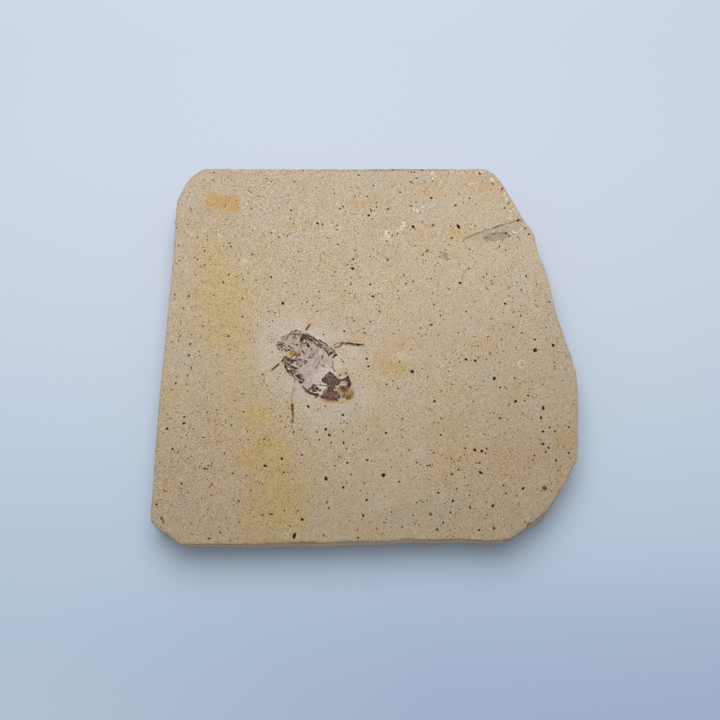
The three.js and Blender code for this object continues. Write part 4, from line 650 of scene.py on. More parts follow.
FILM_DOTS = [
    ('umber', 0.85, 0.19, (-18.92, 2.52)),
    ('umber', 0.85, 0.18, (-17.83, 2.86)),
    ('umber', 0.85, 0.15, (-18.25, 2.4)),
    ('umber', 0.85, 0.18, (-16.8, 2.52)),
    ('umber', 0.85, 0.21, (-19.3, 1.89)),
    ('umber', 0.85, 0.16, (-16.66, 1.78)),
    ('umber', 0.85, 0.19, (-16.16, 1.83)),
    ('dark', 0.85, 0.22, (-21.74, -0.34)),
    ('dark', 0.85, 0.15, (-22.1, -0.02)),
    ('dark', 0.85, 0.19, (-22.46, -1.01)),
    ('dark', 0.85, 0.22, (-21.88, -0.88)),
    ('dark', 0.85, 0.19, (-21.25, -0.85)),
    ('dark', 0.85, 0.19, (-21.37, -1.51)),
    ('dark', 0.85, 0.2, (-22.23, -1.55)),
    ('dark', 0.85, 0.18, (-21.96, -2.05)),
    ('dark', 0.85, 0.15, (-20.77, -1.26)),
    ('black', 0.95, 0.37, (-14.82, -1.11)),
    ('black', 0.95, 0.19, (-15.02, -0.8)),
    ('black', 0.95, 0.19, (-14.55, -1.44)),
    ('dark', 0.8, 0.21, (-15.26, 0.32)),
    ('dark', 0.8, 0.16, (-14.13, -0.52)),
    ('dark', 0.8, 0.11, (-14.54, -0.25)),
    ('dark', 0.8, 0.13, (-16.07, 0.04)),
    ('dark', 0.8, 0.21, (-17.57, -1.02)),
    ('dark', 0.8, 0.24, (-16.92, -3.71)),
    ('dark', 0.8, 0.27, (-19.27, -4.66)),
    ('plum', 0.95, 0.43, (-18.52, -5.09)),
    ('plum', 0.95, 0.28, (-17.97, -5.14)),
    ('plum', 0.95, 0.18, (-17.62, -5.17)),
    ('umber', 0.75, 0.22, (-17.38, -5.74)),
    ('umber', 0.75, 0.19, (-16.93, -4.84)),
    ('umber', 0.75, 0.19, (-15.44, -5.74)),
    ('umber', 0.75, 0.15, (-16.43, -6.55)),
    ('umber', 0.75, 0.24, (-18.51, -3.85)),
    ('umber', 0.75, 0.18, (-17.94, 1.09)),
    ('umber', 0.75, 0.16, (-21.17, -2.34)),
    ('gold', 0.8, 0.21, (-18.44, -3.87)),
    ('gold', 0.8, 0.22, (-19.23, -3.13)),
    ('white', 0.8, 0.19, (-15.72, 0.1)),
    ('white', 0.8, 0.18, (-15.89, -0.25)),
    ('white', 0.8, 0.18, (-14.49, -0.67)),
    ('white', 0.8, 0.19, (-17.67, 1.34)),
    ('white', 0.8, 0.18, (-20.76, -1.61)),
    ('white', 0.8, 0.18, (-21.87, 0.08)),
    ('white', 0.8, 0.18, (-18.78, -1.07)),
    ('white', 0.8, 0.22, (-18.19, -4.37)),
    ('white', 0.8, 0.22, (-15.96, -6.43)),
    ('slate', 0.45, 0.19, (-16.16, -4.82)),
    ('slate', 0.45, 0.18, (-20.37, -1.51)),
    ('slate', 0.45, 0.12, (-19.93, -3.25)),
    ('white', 0.85, 0.21, (-12.77, -0.37)),
    ('white', 0.85, 0.19, (-12.56, 0.55)),
    ('white', 0.85, 0.13, (-8.03, -2.62)),
    ('dark', 0.9, 0.22, (-9.76, -3.68)),
    ('dark', 0.9, 0.19, (-9.31, -3.33)),
    ('greybrown', 0.6, 0.19, (-10.96, -6.43)),
    ('greybrown', 0.6, 0.22, (-12.6, -6.93)),
    ('greybrown', 0.6, 0.19, (-9.04, -6.84)),
    ('greybrown', 0.6, 0.1, (-12.52, -4.69)),
    ('oliveline', 0.7, 0.22, (-6.25, -5.27)),
    ('oliveline', 0.7, 0.15, (-5.71, -7.16)),
    ('oliveline', 0.7, 0.16, (-5.15, -7.65)),
    ('golddark', 0.95, 0.27, (-5.55, -8.3)),
    ('golddark', 0.9, 0.29, (-5.57, -8.26)),
    ('golddark', 0.9, 0.31, (-4.68, -14.36)),
    ('golddark', 0.9, 0.19, (-5.27, -14.52)),
    ('black', 0.85, 0.27, (-12.48, -12.13)),
    ('black', 0.85, 0.27, (-11.75, -12.7)),
    ('black', 0.85, 0.17, (-10.05, -12.84)),
    ('black', 0.85, 0.15, (-8.66, -12.56)),
    ('pinkgrey', 0.7, 0.17, (-9.5, -9.91)),
    ('pinkgrey', 0.7, 0.21, (-9.28, -14.41)),
    ('pinkgrey', 0.7, 0.21, (-8.06, -14.24)),
    ('pinkgrey', 0.7, 0.17, (-7.58, -14.08)),
    ('pinkgrey', 0.7, 0.19, (-8.34, -12.39)),
    ('orange', 0.6, 0.44, (-4.47, -13.37)),
    ('orange', 0.6, 0.25, (-4.8, -12.67)),
    ('umber', 0.7, 0.29, (-12.66, -14.36)),
    ('umber', 0.7, 0.27, (-7.57, -15.16)),
    ('umber', 0.7, 0.15, (-6.95, -11.55)),
    ('white', 0.7, 0.15, (-11.95, -11.55)),
    ('white', 0.7, 0.19, (-11.47, -11.72)),
    ('white', 0.7, 0.21, (-8.23, -12.56)),
    ('white', 0.7, 0.15, (-13.92, -12.79)),
    ('grey', 0.5, 0.19, (-11.44, -6.42)),
    ('grey', 0.5, 0.17, (-10.9, -6.37)),
    ('grey', 0.5, 0.23, (-8.83, -6.91)),
    ('grey', 0.5, 0.27, (-12.84, -6.91)),
    ('white', 0.7, 0.16, (-17.48, -8.37)),
    ('umber', 0.7, 0.16, (-20.97, 1.34)),
    ('dark', 0.8, 0.19, (-17.83, 2.84)),
    ('umber', 0.8, 0.18, (-18.25, 2.4)),
    ('umber', 0.8, 0.21, (-16.8, 2.54)),
    ('white', 0.9, 0.18, (-17.71, 1.33)),
    ('black', 1.0, 0.34, (-14.85, -1.05)),
    ('black', 1.0, 0.21, (-15.0, -0.75)),
    ('black', 1.0, 0.24, (-14.6, -1.38)),
    ('dark', 0.85, 0.16, (-14.15, -0.52)),
    ('dark', 0.85, 0.12, (-14.54, -0.25)),
    ('slate', 0.6, 0.22, (-20.34, -1.46)),
    ('umber', 0.8, 0.21, (-17.56, -0.99)),
    ('umber', 0.42, 0.09, (-19.26, 0.42)),
    ('umber', 0.42, 0.1, (-18.78, -0.0)),
    ('umber', 0.42, 0.1, (-18.23, 0.08)),
    ('umber', 0.42, 0.09, (-17.69, 0.42)),
    ('umber', 0.42, 0.09, (-18.81, 1.09)),
    ('umber', 0.42, 0.1, (-19.24, -0.34)),
    ('umber', 0.42, 0.09, (-18.06, -0.25)),
    ('umber', 0.42, 0.1, (-17.2, -0.25)),
    ('umber', 0.42, 0.09, (-19.72, 0.08)),
    ('umber', 0.42, 0.1, (-16.88, -0.75)),
    ('umber', 0.42, 0.09, (-17.17, -1.59)),
    ('umber', 0.7, 0.18, (-23.9, 0.52)),
    ('umber', 0.7, 0.18, (-22.43, 1.61)),
    ('umber', 0.7, 0.12, (-16.64, -4.74)),
    ('umber', 0.5, 0.16, (-21.13, -7.24)),
    ('umber', 0.5, 0.16, (-23.24, -4.45)),
    ('umber', 0.5, 0.15, (-23.14, -6.26)),
    ('umber', 0.5, 0.15, (-23.79, 2.23)),
    ('plum', 1.0, 0.42, (-18.55, -5.12)),
    ('plum', 1.0, 0.21, (-18.7, -5.41)),
    ('umber', 0.9, 0.22, (-17.35, -5.73)),
    ('umber', 0.6, 0.18, (-16.89, -4.83)),
    ('umber', 0.6, 0.15, (-16.19, -4.87)),
    ('white', 0.9, 0.18, (-16.03, -6.51)),
    ('white', 0.9, 0.16, (-17.53, -8.43)),
    ('white', 0.9, 0.18, (-19.35, -7.13)),
    ('black', 1.0, 0.24, (-12.41, -12.24)),
    ('black', 1.0, 0.22, (-11.71, -12.72)),
    ('umber', 0.7, 0.15, (-21.12, -7.25)),
    ('umber', 0.7, 0.19, (-12.68, -14.32)),
    ('black', 0.9, 0.21, (-11.69, 0.01)),
    ('white', 0.95, 0.21, (-12.71, -0.31)),
    ('black', 0.95, 0.28, (-9.48, -8.21)),
    ('black', 0.95, 0.19, (-8.78, -8.58)),
    ('black', 0.95, 0.22, (-11.23, -10.08)),
    ('pinkgrey', 0.8, 0.15, (-9.5, -9.92)),
    ('black', 0.95, 0.21, (-8.74, -12.54)),
    ('black', 0.95, 0.22, (-10.07, -12.78)),
    ('pinkgrey', 0.7, 0.12, (-9.17, -14.46)),
    ('pinkgrey', 0.7, 0.1, (-8.34, -13.66)),
    ('pinkgrey', 0.7, 0.12, (-7.72, -14.22)),
    ('golddark', 1.0, 0.27, (-5.58, -8.29)),
    ('golddark', 0.6, 0.16, (-7.32, -12.26)),
    ('golddark', 0.8, 0.21, (-4.63, -14.38)),
    ('umber', 0.6, 0.16, (-6.29, -5.26)),
    ('umber', 0.75, 0.16, (-9.03, -6.94)),
    ('umber', 0.45, 0.22, (-12.55, -6.94)),
    ('black', 0.9, 0.21, (-19.41, -2.28)),
    ('black', 0.9, 0.14, (-18.5, -2.17)),
    ('black', 0.9, 0.18, (-17.55, -3.64)),
    ('white', 0.9, 0.18, (-11.27, -12.97)),
    ('white', 0.9, 0.16, (-10.65, -12.0)),
    ('white', 0.9, 0.14, (-15.66, -10.91)),
    ('golddark', 0.8, 0.23, (-5.15, -14.78)),
    ('golddark', 0.8, 0.18, (-4.55, -14.15)),
    ('golddark', 0.8, 0.18, (-6.24, -14.05)),
    ('golddark', 0.6, 0.23, (-4.95, -14.46)),
    ('golddark', 0.6, 0.16, (-4.45, -14.05)),
    ('filmred', 0.75, 0.5, (-10.55, -13.0)),
    ('umber', 0.55, 0.42, (-16.37, -0.41)),
    ('film', 0.6, 0.45, (-7.21, -9.96)),
]
FILM_NETS = [
    ('taupe', 0.3, 0.9, 0, 0, [(-19.51, 2.19), (-18.9, 2.87), (-17.81, 3.29), (-16.53, 2.7), (-15.42, 2.19), (-14.46, 1.52), (-14.76, 0.68), (-15.71, 1.01), (-16.79, 0.51), (-17.9, 0.84), (-18.85, 1.18)]),
    ('umber', 0.7, 0.42, 20, 1.6, [(-19.51, 2.19), (-18.9, 2.87), (-17.81, 3.29), (-16.53, 2.7), (-15.42, 2.19), (-14.46, 1.52), (-14.76, 0.68), (-15.71, 1.01), (-16.79, 0.51), (-17.9, 0.84), (-18.85, 1.18)]),
    ('dark', 0.55, 0.36, -30, 1.5, [(-19.51, 2.19), (-18.9, 2.87), (-17.81, 3.29), (-16.53, 2.7), (-15.42, 2.19), (-14.46, 1.52), (-14.76, 0.68), (-15.71, 1.01), (-16.79, 0.51), (-17.9, 0.84), (-18.85, 1.18)]),
    ('lilac', 0.45, 0.7, 0, 0, [(-19.93, 0.68), (-18.38, 1.35), (-16.95, 0.34), (-16.44, -1.16), (-16.73, -2.16), (-17.51, -2.0), (-18.62, -1.5), (-19.43, -0.66)]),
    ('redbrown', 0.95, 1.4, -30, 0, [(-17.1, 0.01), (-16.73, 1.01), (-16.04, 1.6), (-14.94, 1.85), (-14.46, 1.35), (-15.08, 0.84), (-15.7, 0.76), (-16.32, 0.17)]),
    ('redbrown', 0.85, 0.45, -30, 0, [(-17.1, 0.01), (-16.73, 1.01), (-16.04, 1.6), (-14.94, 1.85), (-14.46, 1.35), (-15.08, 0.84), (-15.7, 0.76), (-16.32, 0.17)]),
    ('redbrown', 0.9, 0.4, 25, 1.6, [(-17.1, 0.01), (-16.73, 1.01), (-16.04, 1.6), (-14.94, 1.85), (-14.46, 1.35), (-15.08, 0.84), (-15.7, 0.76), (-16.32, 0.17)]),
    ('plum', 0.6, 0.45, -20, 1.4, [(-17.1, 0.01), (-16.73, 1.01), (-16.04, 1.6), (-14.94, 1.85), (-14.46, 1.35), (-15.08, 0.84), (-15.7, 0.76), (-16.32, 0.17)]),
    ('rose', 0.08, 0.4, 30, 0, [(-17.1, 0.01), (-16.73, 1.01), (-16.04, 1.6), (-14.94, 1.85), (-14.46, 1.35), (-15.08, 0.84), (-15.7, 0.76), (-16.32, 0.17)]),
    ('greybrown', 0.2, 0.8, 0, 0, [(-22.86, -0.83), (-22.26, 0.01), (-21.17, 0.01), (-20.52, -0.66), (-19.4, -1.5), (-19.07, -2.16), (-19.68, -2.83), (-20.92, -2.83), (-22.03, -2.33), (-22.68, -1.67)]),
    ('umber', 0.48, 0.45, -40, 1.8, [(-22.86, -0.83), (-22.26, 0.01), (-21.17, 0.01), (-20.52, -0.66), (-19.4, -1.5), (-19.07, -2.16), (-19.68, -2.83), (-20.92, -2.83), (-22.03, -2.33), (-22.68, -1.67)]),
    ('dark', 0.55, 0.4, 30, 1.5, [(-22.86, -0.83), (-22.26, 0.01), (-21.17, 0.01), (-20.52, -0.66), (-19.4, -1.5), (-19.07, -2.16), (-19.68, -2.83), (-20.92, -2.83), (-22.03, -2.33), (-22.68, -1.67)]),
    ('greybrown', 0.66, 0.5, -30, 1.6, [(-19.93, 0.68), (-18.38, 1.35), (-16.95, 0.34), (-16.44, -1.16), (-16.73, -2.16), (-17.51, -2.0), (-18.62, -1.5), (-19.43, -0.66)]),
    ('peach', 0.6, 0.7, 0, 0, [(-22.17, -2.66), (-21.09, -2.33), (-19.99, -2.83), (-19.81, -3.66), (-20.89, -3.99), (-21.99, -3.66)]),
    ('taupe', 0.35, 0.5, 0, 0, [(-22.17, -2.66), (-21.09, -2.33), (-19.99, -2.83), (-19.81, -3.66), (-20.89, -3.99), (-21.99, -3.66)]),
    ('peach', 0.65, 0.75, 0, 0, [(-19.84, -2.5), (-18.6, -2.16), (-16.42, -2.16), (-16.85, -3.49), (-17.77, -4.32), (-19.01, -4.15), (-19.96, -3.66)]),
    ('ochre', 0.42, 0.5, 0, 0, [(-19.84, -2.5), (-18.6, -2.16), (-16.42, -2.16), (-16.85, -3.49), (-17.77, -4.32), (-19.01, -4.15), (-19.96, -3.66)]),
    ('golddark', 0.6, 0.45, -20, 1.6, [(-19.84, -2.5), (-18.6, -2.16), (-16.42, -2.16), (-16.85, -3.49), (-17.77, -4.32), (-19.01, -4.15), (-19.96, -3.66)]),
    ('umber', 0.3, 0.4, 30, 1.4, [(-19.84, -2.5), (-18.6, -2.16), (-16.42, -2.16), (-16.85, -3.49), (-17.77, -4.32), (-19.01, -4.15), (-19.96, -3.66)]),
    ('greybrown', 0.44, 0.7, 0, 0, [(-21.19, -4.32), (-20.42, -3.82), (-19.01, -4.32), (-17.45, -4.48), (-16.64, -5.97), (-17.7, -6.79), (-19.26, -6.46), (-20.67, -5.8), (-21.32, -5.14)]),
    ('umber', 0.64, 0.45, -15, 2.0, [(-21.19, -4.32), (-20.42, -3.82), (-19.01, -4.32), (-17.45, -4.48), (-16.64, -5.97), (-17.7, -6.79), (-19.26, -6.46), (-20.67, -5.8), (-21.32, -5.14)]),
    ('dark', 0.55, 0.42, -30, 1.8, [(-21.19, -4.32), (-20.42, -3.82), (-19.01, -4.32), (-17.45, -4.48), (-16.64, -5.97), (-17.7, -6.79), (-19.26, -6.46), (-20.67, -5.8), (-21.32, -5.14)]),
    ('white', 0.35, 0.5, -20, 2.0, [(-21.19, -4.32), (-20.42, -3.82), (-19.01, -4.32), (-17.45, -4.48), (-16.64, -5.97), (-17.7, -6.79), (-19.26, -6.46), (-20.67, -5.8), (-21.32, -5.14)]),
    ('violet', 0.45, 0.55, -30, 1.5, [(-17.46, -4.32), (-15.59, -4.48), (-14.79, -5.47), (-15.53, -6.79), (-16.76, -7.11), (-17.87, -6.13)]),
    ('greybrown', 0.4, 0.7, 0, 0, [(-17.46, -4.32), (-15.59, -4.48), (-14.79, -5.47), (-15.53, -6.79), (-16.76, -7.11), (-17.87, -6.13)]),
    ('greybrown', 0.45, 0.8, 0, 0, [(-20.68, -5.64), (-18.96, -6.13), (-16.76, -7.11), (-17.52, -7.77), (-16.11, -8.58), (-15.46, -10.21), (-16.21, -11.02), (-17.61, -10.21), (-18.88, -8.91), (-20.16, -7.28)]),
    ('umber', 0.56, 0.48, -38, 3.0, [(-20.68, -5.64), (-18.96, -6.13), (-16.76, -7.11), (-17.52, -7.77), (-16.11, -8.58), (-15.46, -10.21), (-16.21, -11.02), (-17.61, -10.21), (-18.88, -8.91), (-20.16, -7.28)]),
    ('dark', 0.52, 0.45, -45, 3.0, [(-20.68, -5.64), (-18.96, -6.13), (-16.76, -7.11), (-17.52, -7.77), (-16.11, -8.58), (-15.46, -10.21), (-16.21, -11.02), (-17.61, -10.21), (-18.88, -8.91), (-20.16, -7.28)]),
    ('lilac', 0.3, 0.6, -40, 2.5, [(-20.68, -5.64), (-18.96, -6.13), (-16.76, -7.11), (-17.52, -7.77), (-16.11, -8.58), (-15.46, -10.21), (-16.21, -11.02), (-17.61, -10.21), (-18.88, -8.91), (-20.16, -7.28)]),
    ('taupe', 0.45, 0.8, 0, 0, [(-14.93, 1.52), (-13.51, 1.01), (-12.09, 0.51), (-9.88, -1.16), (-7.99, -2.66), (-8.6, -3.82), (-9.85, -3.49), (-11.27, -2.16), (-12.69, -1.33), (-14.11, -0.33), (-15.07, 0.68)]),
    ('umber', 0.48, 0.46, -30, 3.2, [(-14.93, 1.52), (-13.51, 1.01), (-12.09, 0.51), (-9.88, -1.16), (-7.99, -2.66), (-8.6, -3.82), (-9.85, -3.49), (-11.27, -2.16), (-12.69, -1.33), (-14.11, -0.33), (-15.07, 0.68)]),
    ('greybrown', 0.7, 0.42, -30, 3.0, [(-14.93, 1.52), (-13.51, 1.01), (-12.09, 0.51), (-9.88, -1.16), (-7.99, -2.66), (-8.6, -3.82), (-9.85, -3.49), (-11.27, -2.16), (-12.69, -1.33), (-14.11, -0.33), (-15.07, 0.68)]),
    ('dark', 0.46, 0.5, -34, 3.0, [(-14.93, 1.52), (-13.51, 1.01), (-12.09, 0.51), (-9.88, -1.16), (-7.99, -2.66), (-8.6, -3.82), (-9.85, -3.49), (-11.27, -2.16), (-12.69, -1.33), (-14.11, -0.33), (-15.07, 0.68)]),
    ('tan', 0.85, 1.6, 0, 0, [(-10.49, -2.33), (-9.87, -1.5), (-8.3, -2.66), (-8.61, -3.16), (-9.38, -3.16), (-9.85, -3.49)]),
    ('tan', 0.6, 0.9, 0, 0, [(-10.49, -2.33), (-9.87, -1.5), (-8.3, -2.66), (-8.61, -3.16), (-9.38, -3.16), (-9.85, -3.49)]),
    ('straw', 0.55, 0.5, -30, 0, [(-10.49, -2.33), (-9.87, -1.5), (-8.3, -2.66), (-8.61, -3.16), (-9.38, -3.16), (-9.85, -3.49)]),
    ('umber', 0.06, 0.4, -35, 1.6, [(-10.49, -2.33), (-9.87, -1.5), (-8.3, -2.66), (-8.61, -3.16), (-9.38, -3.16), (-9.85, -3.49)]),
    ('rose', 0.28, 0.7, 0, 0, [(-11.38, -10.05), (-10.55, -8.91), (-9.63, -8.01), (-8.7, -8.26), (-7.77, -9.23), (-6.99, -9.88), (-7.29, -11.18), (-8.06, -11.42), (-8.67, -11.02), (-8.21, -11.82), (-8.51, -12.47), (-6.96, -13.43), (-6.95, -14.55), (-7.41, -15.19), (-8.94, -15.11), (-10.47, -14.55), (-11.55, -14.07), (-10.49, -13.27), (-9.89, -12.31), (-10.21, -11.5), (-10.52, -10.86)]),
    ('black', 0.36, 0.46, 10, 1.3, [(-11.38, -10.05), (-10.55, -8.91), (-9.63, -8.01), (-8.7, -8.26), (-7.77, -9.23), (-6.99, -9.88), (-7.29, -11.18), (-8.06, -11.42), (-8.67, -11.02), (-8.21, -11.82), (-8.51, -12.47), (-6.96, -13.43), (-6.95, -14.55), (-7.41, -15.19), (-8.94, -15.11), (-10.47, -14.55), (-11.55, -14.07), (-10.49, -13.27), (-9.89, -12.31), (-10.21, -11.5), (-10.52, -10.86)]),
    ('rose', 0.4, 0.5, -10, 1.4, [(-11.38, -10.05), (-10.55, -8.91), (-9.63, -8.01), (-8.7, -8.26), (-7.77, -9.23), (-6.99, -9.88), (-7.29, -11.18), (-8.06, -11.42), (-8.67, -11.02), (-8.21, -11.82), (-8.51, -12.47), (-6.96, -13.43), (-6.95, -14.55), (-7.41, -15.19), (-8.94, -15.11), (-10.47, -14.55), (-11.55, -14.07), (-10.49, -13.27), (-9.89, -12.31), (-10.21, -11.5), (-10.52, -10.86)]),
    ('plum', 0.32, 0.9, 0, 0, [(-11.38, -10.05), (-10.55, -8.91), (-9.63, -8.01), (-8.7, -8.26), (-7.77, -9.23), (-6.99, -9.88), (-7.29, -11.18), (-8.06, -11.42), (-8.67, -11.02), (-8.21, -11.82), (-8.51, -12.47), (-6.96, -13.43), (-6.95, -14.55), (-7.41, -15.19), (-8.94, -15.11), (-10.47, -14.55), (-11.55, -14.07), (-10.49, -13.27), (-9.89, -12.31), (-10.21, -11.5), (-10.52, -10.86)]),
    ('violet', 0.3, 0.55, 0, 0, [(-11.38, -10.05), (-10.55, -8.91), (-9.63, -8.01), (-8.7, -8.26), (-7.77, -9.23), (-6.99, -9.88), (-7.29, -11.18), (-8.06, -11.42), (-8.67, -11.02), (-8.21, -11.82), (-8.51, -12.47), (-6.96, -13.43), (-6.95, -14.55), (-7.41, -15.19), (-8.94, -15.11), (-10.47, -14.55), (-11.55, -14.07), (-10.49, -13.27), (-9.89, -12.31), (-10.21, -11.5), (-10.52, -10.86)]),
    ('rust', 0.06, 0.7, 0, 0, [(-11.38, -10.05), (-10.55, -8.91), (-9.63, -8.01), (-8.7, -8.26), (-7.77, -9.23), (-6.99, -9.88), (-7.29, -11.18), (-8.06, -11.42), (-8.67, -11.02), (-8.21, -11.82), (-8.51, -12.47), (-6.96, -13.43), (-6.95, -14.55), (-7.41, -15.19), (-8.94, -15.11), (-10.47, -14.55), (-11.55, -14.07), (-10.49, -13.27), (-9.89, -12.31), (-10.21, -11.5), (-10.52, -10.86)]),
    ('black', 0.45, 0.46, 60, 1.5, [(-7.15, -10.05), (-6.07, -9.56), (-4.84, -8.75), (-4.61, -9.56), (-4.19, -10.69), (-4.52, -11.82), (-5.13, -13.08), (-5.74, -13.03), (-6.36, -12.47), (-6.98, -11.5), (-5.45, -11.18), (-5.29, -10.53), (-6.53, -10.21)]),
    ('rose', 0.18, 0.55, 60, 1.4, [(-7.15, -10.05), (-6.07, -9.56), (-4.84, -8.75), (-4.61, -9.56), (-4.19, -10.69), (-4.52, -11.82), (-5.13, -13.08), (-5.74, -13.03), (-6.36, -12.47), (-6.98, -11.5), (-5.45, -11.18), (-5.29, -10.53), (-6.53, -10.21)]),
    ('plum', 0.82, 0.8, 0, 0, [(-7.15, -10.05), (-6.07, -9.56), (-4.84, -8.75), (-4.61, -9.56), (-4.19, -10.69), (-4.52, -11.82), (-5.13, -13.08), (-5.74, -13.03), (-6.36, -12.47), (-6.98, -11.5), (-5.45, -11.18), (-5.29, -10.53), (-6.53, -10.21)]),
    ('rust', 0.22, 0.6, 0, 0, [(-7.15, -10.05), (-6.07, -9.56), (-4.84, -8.75), (-4.61, -9.56), (-4.19, -10.69), (-4.52, -11.82), (-5.13, -13.08), (-5.74, -13.03), (-6.36, -12.47), (-6.98, -11.5), (-5.45, -11.18), (-5.29, -10.53), (-6.53, -10.21)]),
    ('black', 0.65, 0.45, 0, 1.2, [(-14.64, -12.31), (-13.29, -10.94), (-12.2, -11.82), (-11.26, -12.79), (-12.94, -13.11), (-14.17, -12.79)]),
    ('grey', 0.5, 0.5, 0, 0, [(-14.64, -12.31), (-13.29, -10.94), (-12.2, -11.82), (-11.26, -12.79), (-12.94, -13.11), (-14.17, -12.79)]),
    ('greybrown', 0.35, 0.5, -10, 2.0, [(-16.06, -10.86), (-13.6, -10.86), (-10.06, -11.02), (-10.04, -12.31), (-11.4, -13.43), (-12.92, -14.07), (-14.47, -13.43), (-15.72, -12.31)]),
    ('straw', 0.56, 0.6, 0, 0, [(-7.9, -11.82), (-6.36, -11.98), (-5.28, -13.11), (-3.75, -12.47), (-3.59, -14.39), (-5.27, -14.95), (-6.19, -14.39), (-7.27, -12.95)]),
    ('rust', 0.45, 0.6, 0, 0, [(-7.9, -11.82), (-6.36, -11.98), (-5.28, -13.11), (-3.75, -12.47), (-3.59, -14.39), (-5.27, -14.95), (-6.19, -14.39), (-7.27, -12.95)]),
    ('golddark', 0.48, 0.5, 60, 1.8, [(-7.9, -11.82), (-6.36, -11.98), (-5.28, -13.11), (-3.75, -12.47), (-3.59, -14.39), (-5.27, -14.95), (-6.19, -14.39), (-7.27, -12.95)]),
    ('golddark', 0.3, 0.6, -20, 0, [(-7.9, -11.82), (-6.36, -11.98), (-5.28, -13.11), (-3.75, -12.47), (-3.59, -14.39), (-5.27, -14.95), (-6.19, -14.39), (-7.27, -12.95)]),
    ('greybrown', 0.24, 0.85, 60, 2.5, [(-16.29, -0.83), (-14.42, -0.5), (-12.2, -2.16), (-10.0, -3.66), (-8.75, -4.48), (-8.56, -6.95), (-9.95, -7.77), (-11.47, -9.4), (-13.29, -10.69), (-15.45, -10.37), (-16.11, -8.75), (-16.76, -7.11), (-15.53, -6.79), (-14.79, -5.47), (-15.9, -4.15), (-16.25, -2.5)]),
    ('greybrown', 0.42, 0.6, 0, 0, [(-15.66, -1.0), (-13.79, -0.75), (-12.05, -2.16), (-12.18, -3.66), (-14.04, -3.91), (-15.6, -3.66)]),
    ('darkgrey', 0.45, 0.45, 60, 1.8, [(-15.5, -1.16), (-13.79, -0.83), (-12.36, -2.16), (-12.49, -3.49), (-14.05, -3.66), (-15.45, -3.49)]),
    ('whitelilac', 0.35, 0.9, 40, 0, [(-16.29, -0.83), (-14.42, -0.5), (-12.2, -2.16), (-10.0, -3.66), (-8.75, -4.48), (-8.56, -6.95), (-9.95, -7.77), (-11.47, -9.4), (-13.29, -10.69), (-15.45, -10.37), (-16.11, -8.75), (-16.76, -7.11), (-15.53, -6.79), (-14.79, -5.47), (-15.9, -4.15), (-16.25, -2.5)]),
    ('straw', 0.22, 0.8, -60, 2.0, [(-8.75, -4.48), (-7.19, -4.15), (-6.1, -5.47), (-5.15, -7.77), (-4.84, -8.75), (-6.07, -9.4), (-7.61, -9.4), (-8.25, -7.77)]),
]
FACE_AREAS = [
    ('scrape', 0.4, 0.35, [(24.9, 27.88), (28.73, 29.87), (32.34, 30.98), (36.37, 32.31), (39.64, 33.88), (41.3, 32.09), (39.01, 30.31), (36.15, 28.76), (32.16, 27.66), (27.81, 27.22)]),
    ('scrape', 0.85, 0.22, [(29.63, 28.21), (30.29, 29.65), (31.91, 30.31), (33.9, 30.75), (35.67, 30.53), (36.84, 30.31), (37.4, 29.87), (36.76, 29.09), (35.36, 28.65), (33.37, 28.32), (31.38, 27.77), (30.2, 27.77)]),
    ('slate', 0.85, 0.22, [(18.68, 24.6), (19.48, 24.42), (20.29, 24.23), (20.5, 23.15), (19.75, 22.61), (19.27, 22.79), (18.89, 23.78)]),
    ('orangestain', 0.35, 0.5, [(-43.15, 39.35), (-41.91, 40.87), (-41.08, 38.21), (-41.67, 37.08), (-42.84, 37.08)]),
    ('orangestain', 0.76, 0.16, [(-42.13, 41.73), (-40.29, 41.83), (-39.25, 41.25), (-37.23, 40.87), (-36.4, 41.16), (-33.69, 41.06), (-33.42, 36.51), (-34.16, 36.32), (-35.66, 36.42), (-37.33, 36.6), (-39.01, 37.08), (-40.37, 37.45), (-41.7, 37.55), (-42.24, 38.21), (-41.98, 39.35)]),
    ('orangestain', 0.35, 0.2, [(-40.7, 37.45), (-33.42, 36.51), (-33.47, 35.76), (-36.63, 36.04), (-39.32, 36.7)]),
    ('fleck', 0.58, 0.1, [(8.79, 33.26), (9.7, 33.26), (9.85, 32.79), (9.5, 31.4), (9.17, 31.4), (8.94, 32.33)]),
    ('fleck', 0.53, 0.1, [(4.22, 30.75), (4.8, 30.75), (4.95, 29.46), (5.19, 28.91), (4.04, 28.72), (4.21, 29.64)]),
    ('umber', 0.8, 0.08, [(40.15, -35.89), (40.82, -35.76), (41.12, -36.16), (41.02, -36.62), (40.74, -36.89), (40.11, -36.82), (40.05, -36.29)]),
    ('moss', 0.42, 1.1, [(14.51, -18.98), (18.35, -17.99), (22.08, -19.96), (23.85, -22.89), (21.86, -25.32), (18.13, -24.35), (15.36, -22.41)]),
    ('moss', 0.4, 0.5, [(3.71, -5.09), (6.63, -5.35), (9.03, -6.9), (8.03, -8.43), (5.14, -7.15)]),
    ('moss', 0.35, 0.6, [(26.44, 47.13), (32.81, 47.44), (34.79, 45.0), (31.56, 43.79), (26.88, 45.0)]),
]
